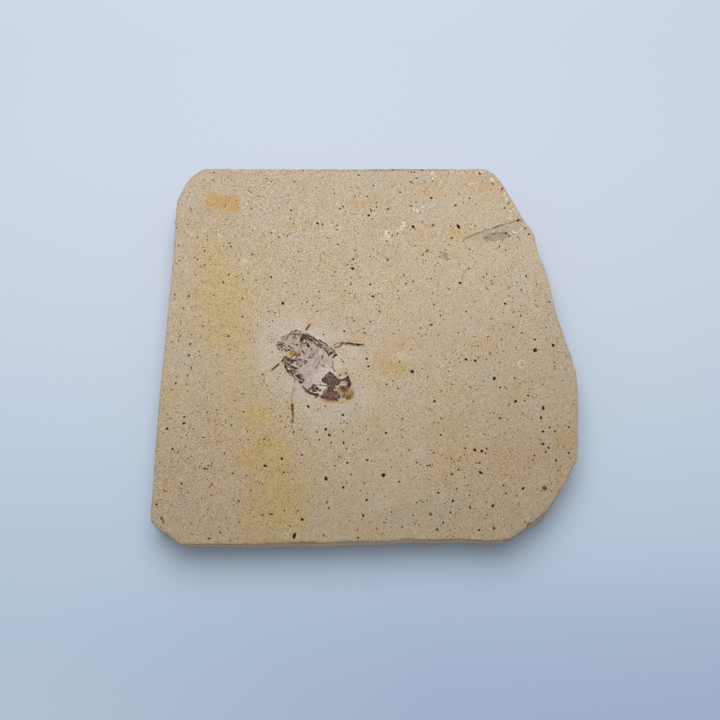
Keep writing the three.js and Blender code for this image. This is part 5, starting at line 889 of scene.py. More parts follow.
FACE_STROKES = [
    ('crease', 0.75, 0.27, [(24.72, 28.28), (26.73, 29.31), (28.84, 30.13)]),
    ('crease', 0.35, 0.22, [(28.84, 30.13), (30.35, 30.75), (31.95, 31.15)]),
    ('crease', 0.75, 0.36, [(31.95, 31.15), (32.96, 31.6), (33.78, 32.09), (35.58, 32.31)]),
    ('crease', 0.45, 0.23, [(35.58, 32.31), (36.8, 32.87), (38.43, 33.54), (39.64, 33.99)]),
    ('crease', 0.55, 0.25, [(24.76, 28.28), (24.4, 27.77), (24.61, 26.78)]),
    ('crease', 0.4, 0.32, [(29.99, 27.44), (31.18, 27.77), (32.55, 27.7), (34.16, 28.32), (36.16, 28.87), (37.38, 29.53)]),
    ('crease', 0.3, 0.25, [(24.61, 26.78), (25.2, 25.8), (24.2, 25.25)]),
    ('crease', 0.6, 0.68, [(29.94, 28.43), (31.05, 28.98)]),
    ('crease', 0.55, 0.43, [(31.46, 29.31), (33.06, 29.76), (35.43, 29.87), (36.0, 29.53)]),
    ('fleck', 0.63, 0.36, [(33.71, 30.75), (34.07, 30.2)]),
    ('fleck', 0.63, 0.36, [(36.23, 30.09), (36.89, 29.53)]),
    ('fleck', 0.47, 0.4, [(39.02, 30.53), (40.3, 31.87)]),
    ('dark', 0.9, 0.32, [(34.98, 42.63), (35.67, 43.48)]),
    ('dark', 0.75, 0.4, [(29.36, 47.9), (29.88, 47.34)]),
    ('fleck', 0.63, 0.36, [(26.01, 44.4), (27.02, 44.47), (27.64, 44.94)]),
    ('fleck', 0.42, 0.25, [(27.62, 44.47), (29.46, 45.01), (31.1, 45.4)]),
    ('fleck', 0.53, 0.29, [(21.71, 48.32), (22.74, 48.6)]),
    ('fleck', 0.79, 0.22, [(31.39, 24.34), (32.96, 24.34)]),
    ('umber', 0.7, 0.33, [(19.66, 22.46), (20.63, 22.43)]),
    ('pale', 0.5, 0.18, [(24.11, 27.88), (24.32, 27.06), (24.61, 26.23)]),
    ('fleck', 0.79, 0.27, [(-33.02, 40.39), (-32.16, 39.88)]),
    ('fleck', 0.63, 0.27, [(-31.59, 40.11), (-30.97, 40.07)]),
    ('fleck', 0.73, 0.21, [(-33.48, 37.79), (-32.05, 37.36)]),
    ('olivestain', 0.5, 0.3, [(-33.27, 38.55), (-32.1, 38.4)]),
    ('rosestain', 0.3, 0.24, [(-44.4, 35.66), (-43.41, 35.61), (-42.2, 34.82), (-41.06, 33.88)]),
    ('rosestain', 0.22, 0.21, [(-43.53, 35.01), (-42.47, 33.88), (-42.12, 33.6)]),
    ('fleck', 0.63, 0.33, [(10.25, 35.98), (10.91, 36.07), (11.42, 36.45)]),
    ('fleck', 0.53, 0.3, [(10.43, 36.82), (11.09, 36.92)]),
    ('fleck', 0.63, 0.33, [(12.59, 36.73), (13.07, 36.07), (13.47, 35.6)]),
    ('fleck', 0.53, 0.3, [(13.08, 36.73), (13.61, 36.5)]),
    ('fleck', 0.53, 0.27, [(2.89, 28.17), (4.2, 28.08), (5.83, 28.17), (6.49, 28.45)]),
    ('fleck', 0.53, 0.24, [(-4.02, 34.85), (-3.02, 35.04), (-2.36, 34.85), (-1.62, 33.91)]),
    ('fleck', 0.53, 0.24, [(-3.93, 33.91), (-3.19, 34.01)]),
    ('umber', 0.75, 0.24, [(4.65, 36.79), (5.94, 36.88)]),
    ('dark', 0.85, 0.33, [(11.24, 31.96), (11.65, 31.86), (11.8, 31.4), (12.09, 30.85)]),
    ('dark', 0.8, 0.33, [(11.1, 45.32), (11.51, 44.84), (11.84, 44.55)]),
    ('dark', 0.85, 0.36, [(16.25, 39.95), (16.67, 40.04), (17.04, 40.14)]),
    ('dark', 0.8, 0.3, [(16.43, 31.96), (16.8, 31.96), (17.24, 32.33)]),
    ('dark', 0.85, 0.3, [(-3.12, 43.43), (-2.83, 43.16), (-2.53, 43.05)]),
    ('umber', 0.5, 0.27, [(6.1, 49.12), (7.28, 48.98)]),
    ('umber', 0.85, 0.36, [(-47.44, -42.81), (-47.19, -43.46), (-46.89, -43.97), (-47.08, -44.26)]),
    ('dark', 0.9, 0.19, [(35.61, -45.21), (36.09, -44.89), (36.58, -44.44)]),
    ('fleck', 0.44, 0.26, [(38.28, -5.87), (38.04, -6.47), (37.51, -6.85), (36.88, -6.85), (36.39, -6.47), (36.24, -5.87), (36.47, -5.26), (37.0, -4.89), (37.64, -4.89), (38.12, -5.26), (38.28, -5.87)]),
    ('fleck', 0.53, 0.29, [(-5.27, 35.41), (-5.03, 35.25), (-5.01, 34.97)]),
    ('fleck', 0.55, 0.26, [(-4.34, 35.5), (-4.3, 35.71), (-4.24, 35.73)]),
    ('fleck', 0.42, 0.26, [(-2.35, 34.52), (-2.35, 34.28), (-2.17, 34.25)]),
    ('fleck', 0.68, 0.29, [(-4.76, 34.53), (-4.55, 34.59), (-4.19, 34.52)]),
    ('fleck', 0.68, 0.29, [(-4.4, 32.75), (-4.07, 32.76), (-3.97, 32.83)]),
    ('fleck', 0.47, 0.26, [(-4.38, 34.77), (-4.35, 34.77), (-4.14, 34.61)]),
    ('fleck', 0.53, 0.27, [(-1.09, 34.54), (-0.93, 34.68), (-0.77, 34.69)]),
    ('fleck', 0.39, 0.28, [(-0.76, 32.7), (-0.6, 32.53), (-0.57, 32.56)]),
    ('fleck', 0.62, 0.29, [(-4.8, 33.84), (-4.57, 33.86), (-4.58, 33.76)]),
    ('fleck', 0.41, 0.27, [(-3.15, 33.93), (-2.96, 33.92), (-2.79, 34.01)]),
    ('fleck', 0.67, 0.23, [(-2.53, 35.96), (-2.45, 35.89), (-2.29, 35.89)]),
    ('fleck', 0.4, 0.21, [(-3.66, 33.74), (-3.54, 33.9), (-3.33, 33.87)]),
    ('fleck', 0.45, 0.26, [(-5.41, 36.87), (-5.46, 36.74), (-5.52, 36.62)]),
    ('fleck', 0.39, 0.25, [(-2.06, 34.19), (-2.02, 34.23), (-1.75, 34.42)]),
    ('fleck', 0.51, 0.21, [(-3.0, 34.89), (-2.77, 34.75), (-2.69, 34.51)]),
    ('fleck', 0.68, 0.25, [(-9.03, 30.36), (-8.72, 30.39), (-8.67, 30.53)]),
    ('fleck', 0.69, 0.3, [(-10.25, 30.66), (-10.14, 30.73), (-9.84, 30.73)]),
    ('fleck', 0.62, 0.29, [(-7.58, 31.48), (-7.53, 31.65), (-7.28, 31.67)]),
    ('fleck', 0.6, 0.23, [(-9.74, 29.6), (-9.42, 29.74), (-9.24, 29.77)]),
    ('fleck', 0.58, 0.26, [(-10.04, 32.26), (-9.84, 32.12), (-9.54, 32.21)]),
    ('fleck', 0.63, 0.23, [(-7.29, 30.69), (-7.06, 30.72), (-6.98, 30.79)]),
    ('fleck', 0.65, 0.27, [(-9.61, 31.65), (-9.48, 31.81), (-9.27, 32.04)]),
    ('fleck', 0.53, 0.27, [(-6.03, 31.09), (-5.75, 31.09), (-5.64, 31.25)]),
    ('fleck', 0.59, 0.24, [(-8.7, 31.03), (-8.57, 31.17), (-8.57, 31.28)]),
    ('fleck', 0.59, 0.22, [(-9.87, 31.82), (-9.72, 31.85), (-9.39, 31.84)]),
    ('fleck', 0.56, 0.21, [(12.41, 36.95), (12.48, 37.13), (12.57, 37.13)]),
    ('fleck', 0.8, 0.22, [(12.36, 36.28), (12.44, 36.13), (12.58, 36.09)]),
    ('fleck', 0.59, 0.28, [(13.03, 36.61), (13.17, 36.63), (13.42, 36.61)]),
    ('fleck', 0.95, 0.28, [(12.46, 36.51), (12.59, 36.31), (12.8, 36.22)]),
    ('fleck', 0.8, 0.26, [(13.65, 37.57), (13.81, 37.49), (14.03, 37.31)]),
    ('fleck', 0.79, 0.26, [(16.01, 37.04), (16.04, 37.33), (16.32, 37.37)]),
    ('fleck', 0.64, 0.23, [(14.91, 36.1), (15.08, 35.88), (15.32, 35.73)]),
    ('fleck', 0.76, 0.24, [(13.96, 36.72), (14.1, 36.36), (14.37, 36.32)]),
    ('fleck', 0.59, 0.26, [(11.82, 37.34), (11.7, 37.11), (11.7, 36.97)]),
    ('fleck', 0.95, 0.28, [(11.69, 36.45), (11.96, 36.49), (12.22, 36.43)]),
    ('fleck', 0.81, 0.25, [(12.52, 36.61), (12.77, 36.57), (12.76, 36.47)]),
    ('fleck', 0.68, 0.23, [(11.63, 37.26), (11.74, 37.02), (11.96, 36.89)]),
    ('fleck', 0.56, 0.23, [(14.21, 37.27), (14.46, 37.28), (14.58, 37.32)]),
    ('fleck', 0.75, 0.27, [(8.01, 31.77), (8.37, 31.83), (8.58, 31.83)]),
    ('fleck', 0.86, 0.22, [(8.97, 32.79), (9.19, 33.0), (9.46, 33.08)]),
    ('fleck', 0.83, 0.29, [(8.72, 30.91), (8.81, 30.88), (8.93, 30.79)]),
    ('fleck', 0.57, 0.26, [(8.38, 31.7), (8.56, 31.6), (8.74, 31.47)]),
    ('fleck', 0.81, 0.3, [(9.05, 32.48), (9.23, 32.5), (9.33, 32.33)]),
    ('fleck', 0.78, 0.3, [(8.24, 31.09), (8.45, 31.16), (8.49, 31.09)]),
    ('fleck', 0.57, 0.26, [(8.93, 32.6), (9.12, 32.56), (9.26, 32.5)]),
    ('fleck', 0.75, 0.27, [(8.85, 31.89), (8.93, 31.97), (9.23, 31.86)]),
    ('fleck', 0.7, 0.21, [(5.31, 30.19), (5.49, 30.17), (5.68, 30.33)]),
    ('fleck', 0.79, 0.26, [(5.8, 30.05), (6.02, 30.05), (6.25, 30.21)]),
    ('fleck', 0.7, 0.27, [(5.01, 28.9), (5.08, 28.96), (5.34, 28.9)]),
    ('fleck', 0.58, 0.21, [(4.37, 29.36), (4.39, 29.09), (4.63, 28.99)]),
    ('fleck', 0.86, 0.21, [(4.73, 30.23), (5.04, 30.52), (5.2, 30.52)]),
    ('fleck', 0.95, 0.27, [(5.13, 28.76), (5.1, 28.57), (5.21, 28.32)]),
    ('fleck', 0.69, 0.24, [(5.22, 30.29), (5.4, 30.35), (5.67, 30.42)]),
    ('fleck', 0.91, 0.25, [(5.4, 28.92), (5.61, 28.71), (5.66, 28.56)]),
    ('fleck', 0.56, 0.29, [(4.45, 30.47), (4.58, 30.61), (4.96, 30.59)]),
    ('fleck', 0.81, 0.24, [(5.25, 31.24), (5.36, 31.13), (5.48, 31.21)]),
    ('fleck', 0.43, 0.23, [(3.89, 28.16), (3.99, 28.01), (4.16, 28.06)]),
    ('fleck', 0.39, 0.29, [(5.02, 28.18), (5.11, 28.11), (5.33, 28.06)]),
    ('fleck', 0.59, 0.23, [(2.84, 27.97), (3.19, 28.16), (3.31, 28.13)]),
    ('fleck', 0.45, 0.21, [(3.39, 28.25), (3.39, 28.5), (3.55, 28.48)]),
    ('fleck', 0.76, 0.22, [(15.18, 46.18), (15.3, 46.18), (15.55, 46.28)]),
    ('fleck', 0.86, 0.2, [(17.34, 47.08), (17.52, 46.79), (17.63, 46.59)]),
    ('fleck', 0.61, 0.21, [(17.71, 46.74), (17.96, 46.56), (17.96, 46.46)]),
    ('fleck', 0.57, 0.21, [(16.85, 45.96), (17.14, 45.92), (17.19, 45.72)]),
    ('fleck', 0.85, 0.22, [(16.46, 47.0), (16.5, 47.21), (16.77, 47.15)]),
    ('fleck', 0.51, 0.25, [(16.98, 47.75), (17.1, 47.81), (17.43, 47.77)]),
    ('fleck', 0.69, 0.24, [(17.45, 47.52), (17.75, 47.52), (18.03, 47.51)]),
    ('fleck', 0.8, 0.22, [(16.79, 47.83), (16.96, 48.09), (17.23, 48.22)]),
    ('fleck', 0.34, 0.22, [(-13.25, 46.26), (-13.17, 46.32), (-12.98, 46.22)]),
    ('fleck', 0.5, 0.2, [(-15.21, 46.11), (-15.06, 46.11), (-14.78, 45.95)]),
    ('fleck', 0.46, 0.29, [(-13.56, 46.17), (-13.45, 45.98), (-13.24, 45.97)]),
    ('fleck', 0.48, 0.3, [(-13.3, 46.96), (-13.18, 47.11), (-13.04, 47.32)]),
    ('fleck', 0.36, 0.23, [(-13.95, 47.23), (-13.88, 47.28), (-13.62, 47.15)]),
    ('fleck', 0.29, 0.21, [(20.22, 36.12), (20.4, 36.18), (20.45, 36.23)]),
    ('fleck', 0.37, 0.23, [(21.99, 35.03), (22.09, 34.79), (22.32, 34.62)]),
    ('fleck', 0.41, 0.22, [(20.71, 34.38), (21.05, 34.45), (21.26, 34.34)]),
    ('fleck', 0.39, 0.24, [(20.98, 36.82), (21.23, 36.69), (21.58, 36.77)]),
    ('fleck', 0.42, 0.21, [(20.76, 37.39), (21.03, 37.13), (21.3, 37.16)]),
    ('fleck', 0.49, 0.24, [(21.78, 36.73), (21.93, 36.71), (22.03, 36.69)]),
    ('fleck', 0.46, 0.22, [(21.22, 35.56), (21.36, 35.5), (21.48, 35.41)]),
    ('fleck', 0.57, 0.28, [(-31.43, 21.75), (-31.17, 21.55), (-30.97, 21.4)]),
    ('fleck', 0.88, 0.22, [(-31.92, 22.38), (-31.87, 22.33), (-31.62, 22.37)]),
    ('fleck', 0.5, 0.25, [(-31.21, 22.78), (-30.93, 22.65), (-30.8, 22.52)]),
    ('fleck', 0.63, 0.24, [(-31.7, 22.57), (-31.57, 22.72), (-31.34, 22.65)]),
    ('fleck', 0.79, 0.25, [(-31.86, 22.02), (-31.69, 21.77), (-31.74, 21.69)]),
    ('fleck', 0.62, 0.21, [(-31.35, 21.98), (-31.13, 22.13), (-30.99, 22.22)]),
    ('fleck', 0.62, 0.27, [(-30.96, 21.84), (-30.78, 21.72), (-30.51, 21.81)]),
    ('fleck', 0.6, 0.28, [(-42.62, 30.48), (-42.27, 30.25), (-42.18, 30.26)]),
    ('fleck', 0.55, 0.24, [(-42.25, 32.15), (-42.3, 32.21), (-42.24, 32.43)]),
    ('fleck', 0.66, 0.26, [(-42.2, 30.77), (-42.0, 30.68), (-41.9, 30.77)]),
    ('fleck', 0.44, 0.23, [(-42.27, 31.17), (-42.19, 31.32), (-42.04, 31.56)]),
    ('fleck', 0.72, 0.22, [(-38.6, 29.39), (-38.51, 29.09), (-38.25, 28.96)]),
    ('fleck', 0.64, 0.29, [(-38.04, 29.11), (-37.86, 28.9), (-37.64, 28.75)]),
    ('fleck', 0.45, 0.21, [(-38.8, 29.43), (-38.47, 29.37), (-38.39, 29.22)]),
    ('fleck', 0.71, 0.21, [(-38.85, 29.55), (-38.66, 29.45), (-38.56, 29.45)]),
    ('fleck', 0.78, 0.29, [(-24.49, 30.81), (-24.23, 30.68), (-23.89, 30.74)]),
    ('fleck', 0.55, 0.22, [(-24.87, 30.21), (-24.69, 30.39), (-24.35, 30.37)]),
    ('fleck', 0.84, 0.27, [(-24.94, 30.54), (-24.62, 30.53), (-24.43, 30.64)]),
    ('fleck', 0.37, 0.24, [(5.73, -9.63), (5.85, -9.62), (6.15, -9.75)]),
    ('fleck', 0.46, 0.24, [(4.33, -9.47), (4.46, -9.52), (4.8, -9.58)]),
    ('fleck', 0.34, 0.28, [(4.98, -10.68), (5.26, -10.71), (5.31, -10.58)]),
    ('fleck', 0.5, 0.29, [(3.74, -10.14), (3.84, -10.04), (3.96, -10.02)]),
    ('fleck', 0.4, 0.28, [(4.01, -10.5), (4.21, -10.38), (4.38, -10.37)]),
    ('fleck', 0.34, 0.23, [(3.38, -10.06), (3.5, -10.08), (3.75, -10.05)]),
    ('slate', 0.6, 0.34, [(-12.22, 48.66), (-4.79, 48.72), (3.17, 48.79), (11.13, 48.82), (19.09, 48.75), (24.92, 48.69)]),
    ('slate', 0.42, 0.34, [(-12.21, 48.36), (-4.79, 48.42), (3.17, 48.48), (11.12, 48.51), (19.08, 48.45), (24.91, 48.39)]),
    ('fleck', 0.36, 0.34, [(7.4, -4.21), (7.22, -4.7), (6.78, -5.0), (6.24, -5.0), (5.8, -4.7), (5.64, -4.21), (5.82, -3.73), (6.26, -3.43), (6.8, -3.43), (7.24, -3.73), (7.4, -4.21)]),
]
FACE_DOTS = [
    ('dark', 0.8, 0.27, (35.47, 29.82)),
    ('fleck', 0.73, 0.27, (32.3, 30.31)),
    ('fleck', 0.73, 0.32, (37.43, 30.31)),
    ('fleck', 0.73, 0.25, (38.21, 30.09)),
    ('fleck', 0.73, 0.4, (40.51, 32.09)),
    ('umber', 0.8, 0.31, (38.87, 33.65)),
    ('umber', 0.8, 0.32, (40.49, 31.26)),
    ('umber', 0.8, 0.22, (38.47, 28.7)),
    ('umber', 0.8, 0.22, (39.81, 33.54)),
    ('fleck', 0.63, 0.36, (28.75, 47.97)),
    ('fleck', 0.63, 0.32, (30.02, 48.08)),
    ('fleck', 0.63, 0.43, (32.54, 45.87)),
    ('fleck', 0.63, 0.32, (32.92, 45.4)),
    ('fleck', 0.63, 0.43, (36.9, 36.24)),
    ('fleck', 0.63, 0.36, (36.69, 34.33)),
    ('fleck', 0.63, 0.4, (36.23, 39.99)),
    ('fleck', 0.63, 0.32, (35.82, 41.48)),
    ('fleck', 0.63, 0.32, (37.84, 36.92)),
    ('fleck', 0.63, 0.25, (29.82, 35.9)),
    ('greybrown', 0.7, 0.36, (32.87, 44.52)),
    ('pale', 0.5, 0.39, (21.32, 17.69)),
    ('fleck', 0.79, 0.27, (-31.68, 38.4)),
    ('fleck', 0.79, 0.3, (-32.04, 35.34)),
    ('fleck', 0.79, 0.25, (-38.9, 30.72)),
    ('fleck', 0.79, 0.19, (-38.55, 29.62)),
    ('fleck', 0.79, 0.22, (-41.74, 31.56)),
    ('fleck', 0.79, 0.27, (-45.57, 29.62)),
    ('fleck', 0.79, 0.21, (-49.58, 28.33)),
    ('fleck', 0.79, 0.24, (-29.3, 31.46)),
    ('fleck', 0.79, 0.21, (-48.32, 34.73)),
    ('fleck', 0.79, 0.18, (-42.01, 30.5)),
    ('fleck', 0.63, 0.24, (12.06, 37.07)),
    ('fleck', 0.63, 0.27, (14.27, 37.58)),
    ('fleck', 0.63, 0.33, (7.59, 30.72)),
    ('fleck', 0.63, 0.36, (16.89, 47.66)),
    ('fleck', 0.63, 0.3, (17.27, 46.2)),
    ('fleck', 0.63, 0.24, (8.51, 31.12)),
    ('fleck', 0.53, 0.21, (-3.43, 32.52)),
    ('fleck', 0.53, 0.24, (-2.69, 32.61)),
    ('fleck', 0.53, 0.21, (-5.57, 47.27)),
    ('fleck', 0.53, 0.3, (1.7, 35.6)),
    ('pinkgrey', 0.6, 0.12, (40.47, -36.02)),
    ('pinkgrey', 0.6, 0.12, (40.71, -36.36)),
    ('pinkgrey', 0.6, 0.11, (40.37, -36.49)),
    ('pinkgrey', 0.6, 0.09, (40.75, -36.69)),
    ('dark', 0.85, 0.3, (-17.25, 48.51)),
    ('dark', 0.85, 0.24, (2.11, 48.66)),
    ('dark', 0.85, 0.22, (3.43, 48.72)),
    ('dark', 0.85, 0.26, (6.62, 48.66)),
    ('dark', 0.85, 0.28, (14.31, 48.66)),
    ('slate', 0.1, 0.8, (6.52, -4.21)),
]
YELLOW_BAND = [(-39.6, 27.3, 4.7, 0.35), (-37.7, 20.8, 7.3, 0.66), (-36.1, 13.3, 9.0, 0.88), (-35.6, 5.7, 7.9, 0.84), (-33.9, -1.7, 7.3, 0.58), (-31.7, -8.9, 7.5, 0.48), (-29.7, -16.0, 8.1, 0.42), (-26.1, -23.9, 7.5, 0.46), (-25.2, -28.7, 7.5, 0.46), (-22.5, -34.3, 7.9, 0.5), (-21.4, -39.0, 7.9, 0.54), (-21.8, -43.5, 7.3, 0.48), (-22.4, -47.6, 6.8, 0.4)]
ORANGE_SPOTS = [(16.2, 42.2, 3.8, 2.6, 0.52), (29.4, 42.9, 5.5, 3.2, 0.46), (-3.2, 38.2, 3.2, 1.7, 0.5), (3.1, 39.0, 3.2, 1.5, 0.48), (14.5, 29.0, 2.6, 1.9, 0.32), (23.4, 30.0, 2.4, 1.7, 0.62), (36.9, 27.3, 2.4, 1.1, 0.35), (8.2, -1.2, 4.5, 1.5, 0.45), (4.5, -4.8, 2.8, 1.5, 0.3), (7.1, -7.4, 3.2, 1.9, 0.28), (27.2, -1.7, 2.3, 1.3, 0.35), (30.9, -2.8, 1.4, 0.9, 0.25), (19.9, -28.2, 4.5, 4.5, 0.28), (17.8, -21.4, 1.9, 1.9, 0.04), (46.1, -25.3, 2.6, 2.4, 0.55), (44.3, -32.9, 2.4, 2.1, 0.42), (-45.4, -13.0, 3.3, 1.9, 0.28), (-39.4, -17.0, 3.0, 3.9, 0.3), (-45.6, -35.3, 3.0, 2.4, 0.35), (-44.6, -30.6, 2.6, 2.1, 0.25), (-27.8, 3.6, 1.5, 1.3, 0.3), (-19.1, -16.8, 1.1, 3.2, 0.48), (-13.8, 5.7, 2.1, 1.3, 0.6), (-4.1, 0.2, 1.5, 0.8, 0.55), (28.6, -30.6, 4.7, 3.8, 0.35), (-45.8, 36.0, 2.8, 1.3, 0.2), (-37.4, 34.3, 3.8, 1.1, 0.3), (-28.9, -30.6, 2.6, 1.9, 0.36), (-26.2, -34.3, 2.8, 2.1, 0.32), (-18.9, -31.0, 2.1, 2.8, 0.34), (-24.4, -40.6, 3.3, 2.3, 0.34), (-19.9, -27.7, 2.1, 1.9, 0.3), (22.0, 30.2, 1.1, 1.4, 0.62), (-40.7, 36.9, 2.3, 0.9, 0.3), (-27.2, -27.7, 0.9, 0.9, 0.5), (-14.1, 4.4, 1.4, 0.8, 0.92), (-13.0, 5.3, 0.8, 0.6, 0.5), (-15.2, 4.1, 0.7, 0.7, 0.35), (-3.7, 0.6, 1.2, 0.7, 0.35)]
YELLOW_SPOTS = [(7.9, 10.5, 1.5, 1.3, 0.3), (26.2, 29.0, 2.8, 2.1, 0.35), (19.3, 25.0, 3.8, 1.7, 0.25), (14.0, 24.4, 2.1, 1.7, 0.22), (-43.2, 44.4, 2.3, 1.1, 0.12), (18.6, -20.5, 2.5, 1.9, 0.3), (25.0, -18.0, 1.7, 1.3, 0.3), (-43.4, 30.2, 2.8, 2.8, 0.15), (6.6, -6.9, 3.6, 2.1, 0.55), (-49.0, -16.0, 1.1, 5.6, 0.2), (-47.0, 16.6, 0.8, 8.5, 0.18), (-13.3, -34.3, 3.8, 5.6, 0.25), (-27.6, 22.2, 1.9, 1.9, 0.2), (-21.5, -8.9, 2.8, 2.4, 0.35), (-19.2, -15.6, 0.8, 1.5, 0.55), (-20.6, -15.6, 0.6, 1.9, 0.55), (-20.6, -14.5, 0.5, 1.1, 0.3), (-17.4, -17.7, 0.5, 1.4, 0.25), (-33.4, -16.7, 1.6, 2.1, 0.42), (-34.5, -22.4, 1.6, 1.9, 0.35), (-26.9, -18.7, 2.8, 2.6, 0.42), (-24.0, -26.3, 4.2, 3.1, 0.5), (-29.9, -29.4, 2.1, 1.6, 0.62), (-20.9, -27.5, 1.9, 1.6, 0.32), (-21.2, -32.0, 2.3, 2.1, 0.56), (-19.2, -37.1, 5.2, 2.3, 0.42), (-27.8, -41.0, 1.9, 2.3, 0.58), (-29.1, -37.8, 1.6, 1.4, 0.4), (-19.5, -42.4, 3.5, 2.8, 0.54), (-16.2, -45.1, 2.1, 1.4, 0.4), (-14.9, -35.3, 1.6, 1.4, 0.3), (-28.1, -44.0, 1.9, 1.9, 0.35), (-18.4, -47.6, 3.3, 1.4, 0.25), (-42.7, 11.6, 2.1, 2.1, 0.35), (-29.0, 8.6, 1.9, 2.1, 0.35), (-40.5, 25.3, 2.6, 1.6, 0.25), (22.4, 30.8, 1.4, 1.9, 0.35)]
PINK_SPOTS = [(5.3, 31.9, 1.9, 1.9, 0.45), (4.0, 30.0, 1.5, 1.1, 0.35), (-48.2, 5.7, 1.7, 1.9, 0.3), (-22.2, 11.6, 1.5, 1.3, 0.3), (-38.3, -19.0, 2.6, 2.4, 0.3), (-44.5, -31.0, 2.4, 1.9, 0.3), (-39.5, -29.2, 1.3, 1.1, 0.3), (31.2, -26.8, 4.7, 4.7, 0.45), (38.7, -27.2, 4.5, 3.4, 0.8), (34.5, -34.3, 3.8, 2.3, 0.45), (12.6, -1.2, 2.3, 1.7, 0.3), (-43.8, 36.0, 1.5, 0.9, 0.35), (-32.8, 46.8, 1.5, 0.9, 0.25), (-45.9, -44.0, 2.4, 1.3, 0.25), (25.1, -46.7, 5.6, 1.3, 0.3), (8.8, -46.2, 3.8, 1.1, 0.2), (3.8, 2.0, 1.1, 0.9, 0.2), (-13.7, 6.1, 1.1, 0.6, 0.55), (-44.1, 37.5, 1.6, 1.2, 0.45), (-37.2, 35.7, 3.3, 0.9, 0.35), (12.1, -1.2, 1.6, 2.1, 0.55), (8.7, -0.4, 1.6, 1.6, 0.45), (-34.5, -26.8, 3.5, 3.5, 0.45), (-35.8, -37.1, 3.8, 3.3, 0.3), (-30.3, -31.0, 1.4, 1.4, 0.4), (-29.1, -47.6, 3.3, 1.6, 0.45), (-26.3, -37.4, 2.3, 1.9, 0.4), (22.1, -46.7, 2.1, 1.2, 0.5), (17.4, -46.7, 1.9, 1.2, 0.4)]
PALE_SPOTS = [(8.1, -3.8, 1.6, 1.3, 0.75), (-8.3, 30.0, 1.7, 1.7, 0.22), (40.3, 2.5, 1.9, 1.7, 0.22), (13.7, 4.6, 1.9, 1.5, 0.2), (11.4, -28.2, 1.5, 1.5, 0.35), (-5.4, -32.0, 1.7, 1.5, 0.4), (3.4, -39.4, 1.7, 1.7, 0.55), (0.1, -41.9, 3.2, 1.9, 0.25), (-0.2, -3.6, 1.3, 1.5, 0.35), (2.8, 0.4, 0.9, 0.9, 0.2), (16.7, 38.4, 1.3, 0.9, 0.3), (-11.6, -23.9, 1.9, 1.1, 0.3), (-45.6, 17.7, 1.3, 1.3, 0.2), (21.2, -4.8, 0.9, 0.9, 0.15), (-16.8, 5.4, 1.9, 1.1, 0.15), (-19.2, 5.2, 1.4, 0.9, 0.12), (-11.5, 3.8, 1.4, 0.9, 0.18), (-24.2, -1.7, 1.4, 1.4, 0.35), (-5.8, -5.9, 1.6, 1.6, 0.3), (-22.4, -9.5, 1.4, 1.2, 0.25), (-10.1, 6.5, 1.9, 1.2, 0.55), (-6.6, -20.0, 2.3, 1.4, 0.45), (-11.1, -21.4, 2.8, 1.6, 0.45), (-0.9, -14.0, 1.9, 2.1, 0.4), (-4.1, -4.1, 1.6, 1.2, 0.2), (11.1, 46.2, 2.3, 1.4, 0.22), (2.4, 46.2, 1.9, 1.2, 0.18), (15.0, 23.9, 1.6, 1.4, 0.2), (21.8, -3.8, 1.9, 1.4, 0.18), (-12.1, -19.5, 2.1, 1.6, 0.35), (-7.1, -17.7, 1.9, 1.4, 0.3), (-1.9, -4.3, 1.6, 1.4, 0.3), (-5.6, -3.3, 1.4, 1.2, 0.2), (-18.2, -47.1, 2.3, 0.9, 0.75), (-45.5, -45.3, 1.2, 1.4, 0.35), (6.7, 19.4, 2.8, 3.3, 0.16), (35.7, -43.3, 1.4, 1.2, 0.5), (11.1, -1.5, 1.6, 1.9, 0.45), (-38.8, -37.6, 1.9, 1.6, 0.25), (29.9, -1.7, 2.1, 1.9, 0.25), (38.7, 15.5, 1.9, 1.9, 0.25)]
GREY_SPOTS = [(33.9, 30.0, 4.3, 1.1, 0.55), (-41.7, -24.8, 2.8, 4.7, 0.1), (-38.7, -41.7, 4.7, 3.8, 0.1), (0.6, -43.5, 5.6, 3.8, 0.12), (31.2, -19.0, 5.6, 4.7, 0.14), (12.7, -42.2, 14.6, 3.5, 0.34), (19.7, -45.6, 4.2, 1.2, 0.2), (-41.6, 39.6, 0.7, 1.9, 0.2), (-43.4, 11.9, 1.4, 1.9, 0.3), (-21.3, -7.7, 1.9, 2.1, 0.25), (-22.4, -11.2, 1.9, 1.9, 0.25), (-17.2, -15.0, 2.1, 1.9, 0.35), (28.4, 38.7, 1.9, 1.4, 0.2), (-45.0, 16.9, 1.4, 1.6, 0.3), (-41.9, 36.0, 1.4, 0.9, 0.25)]

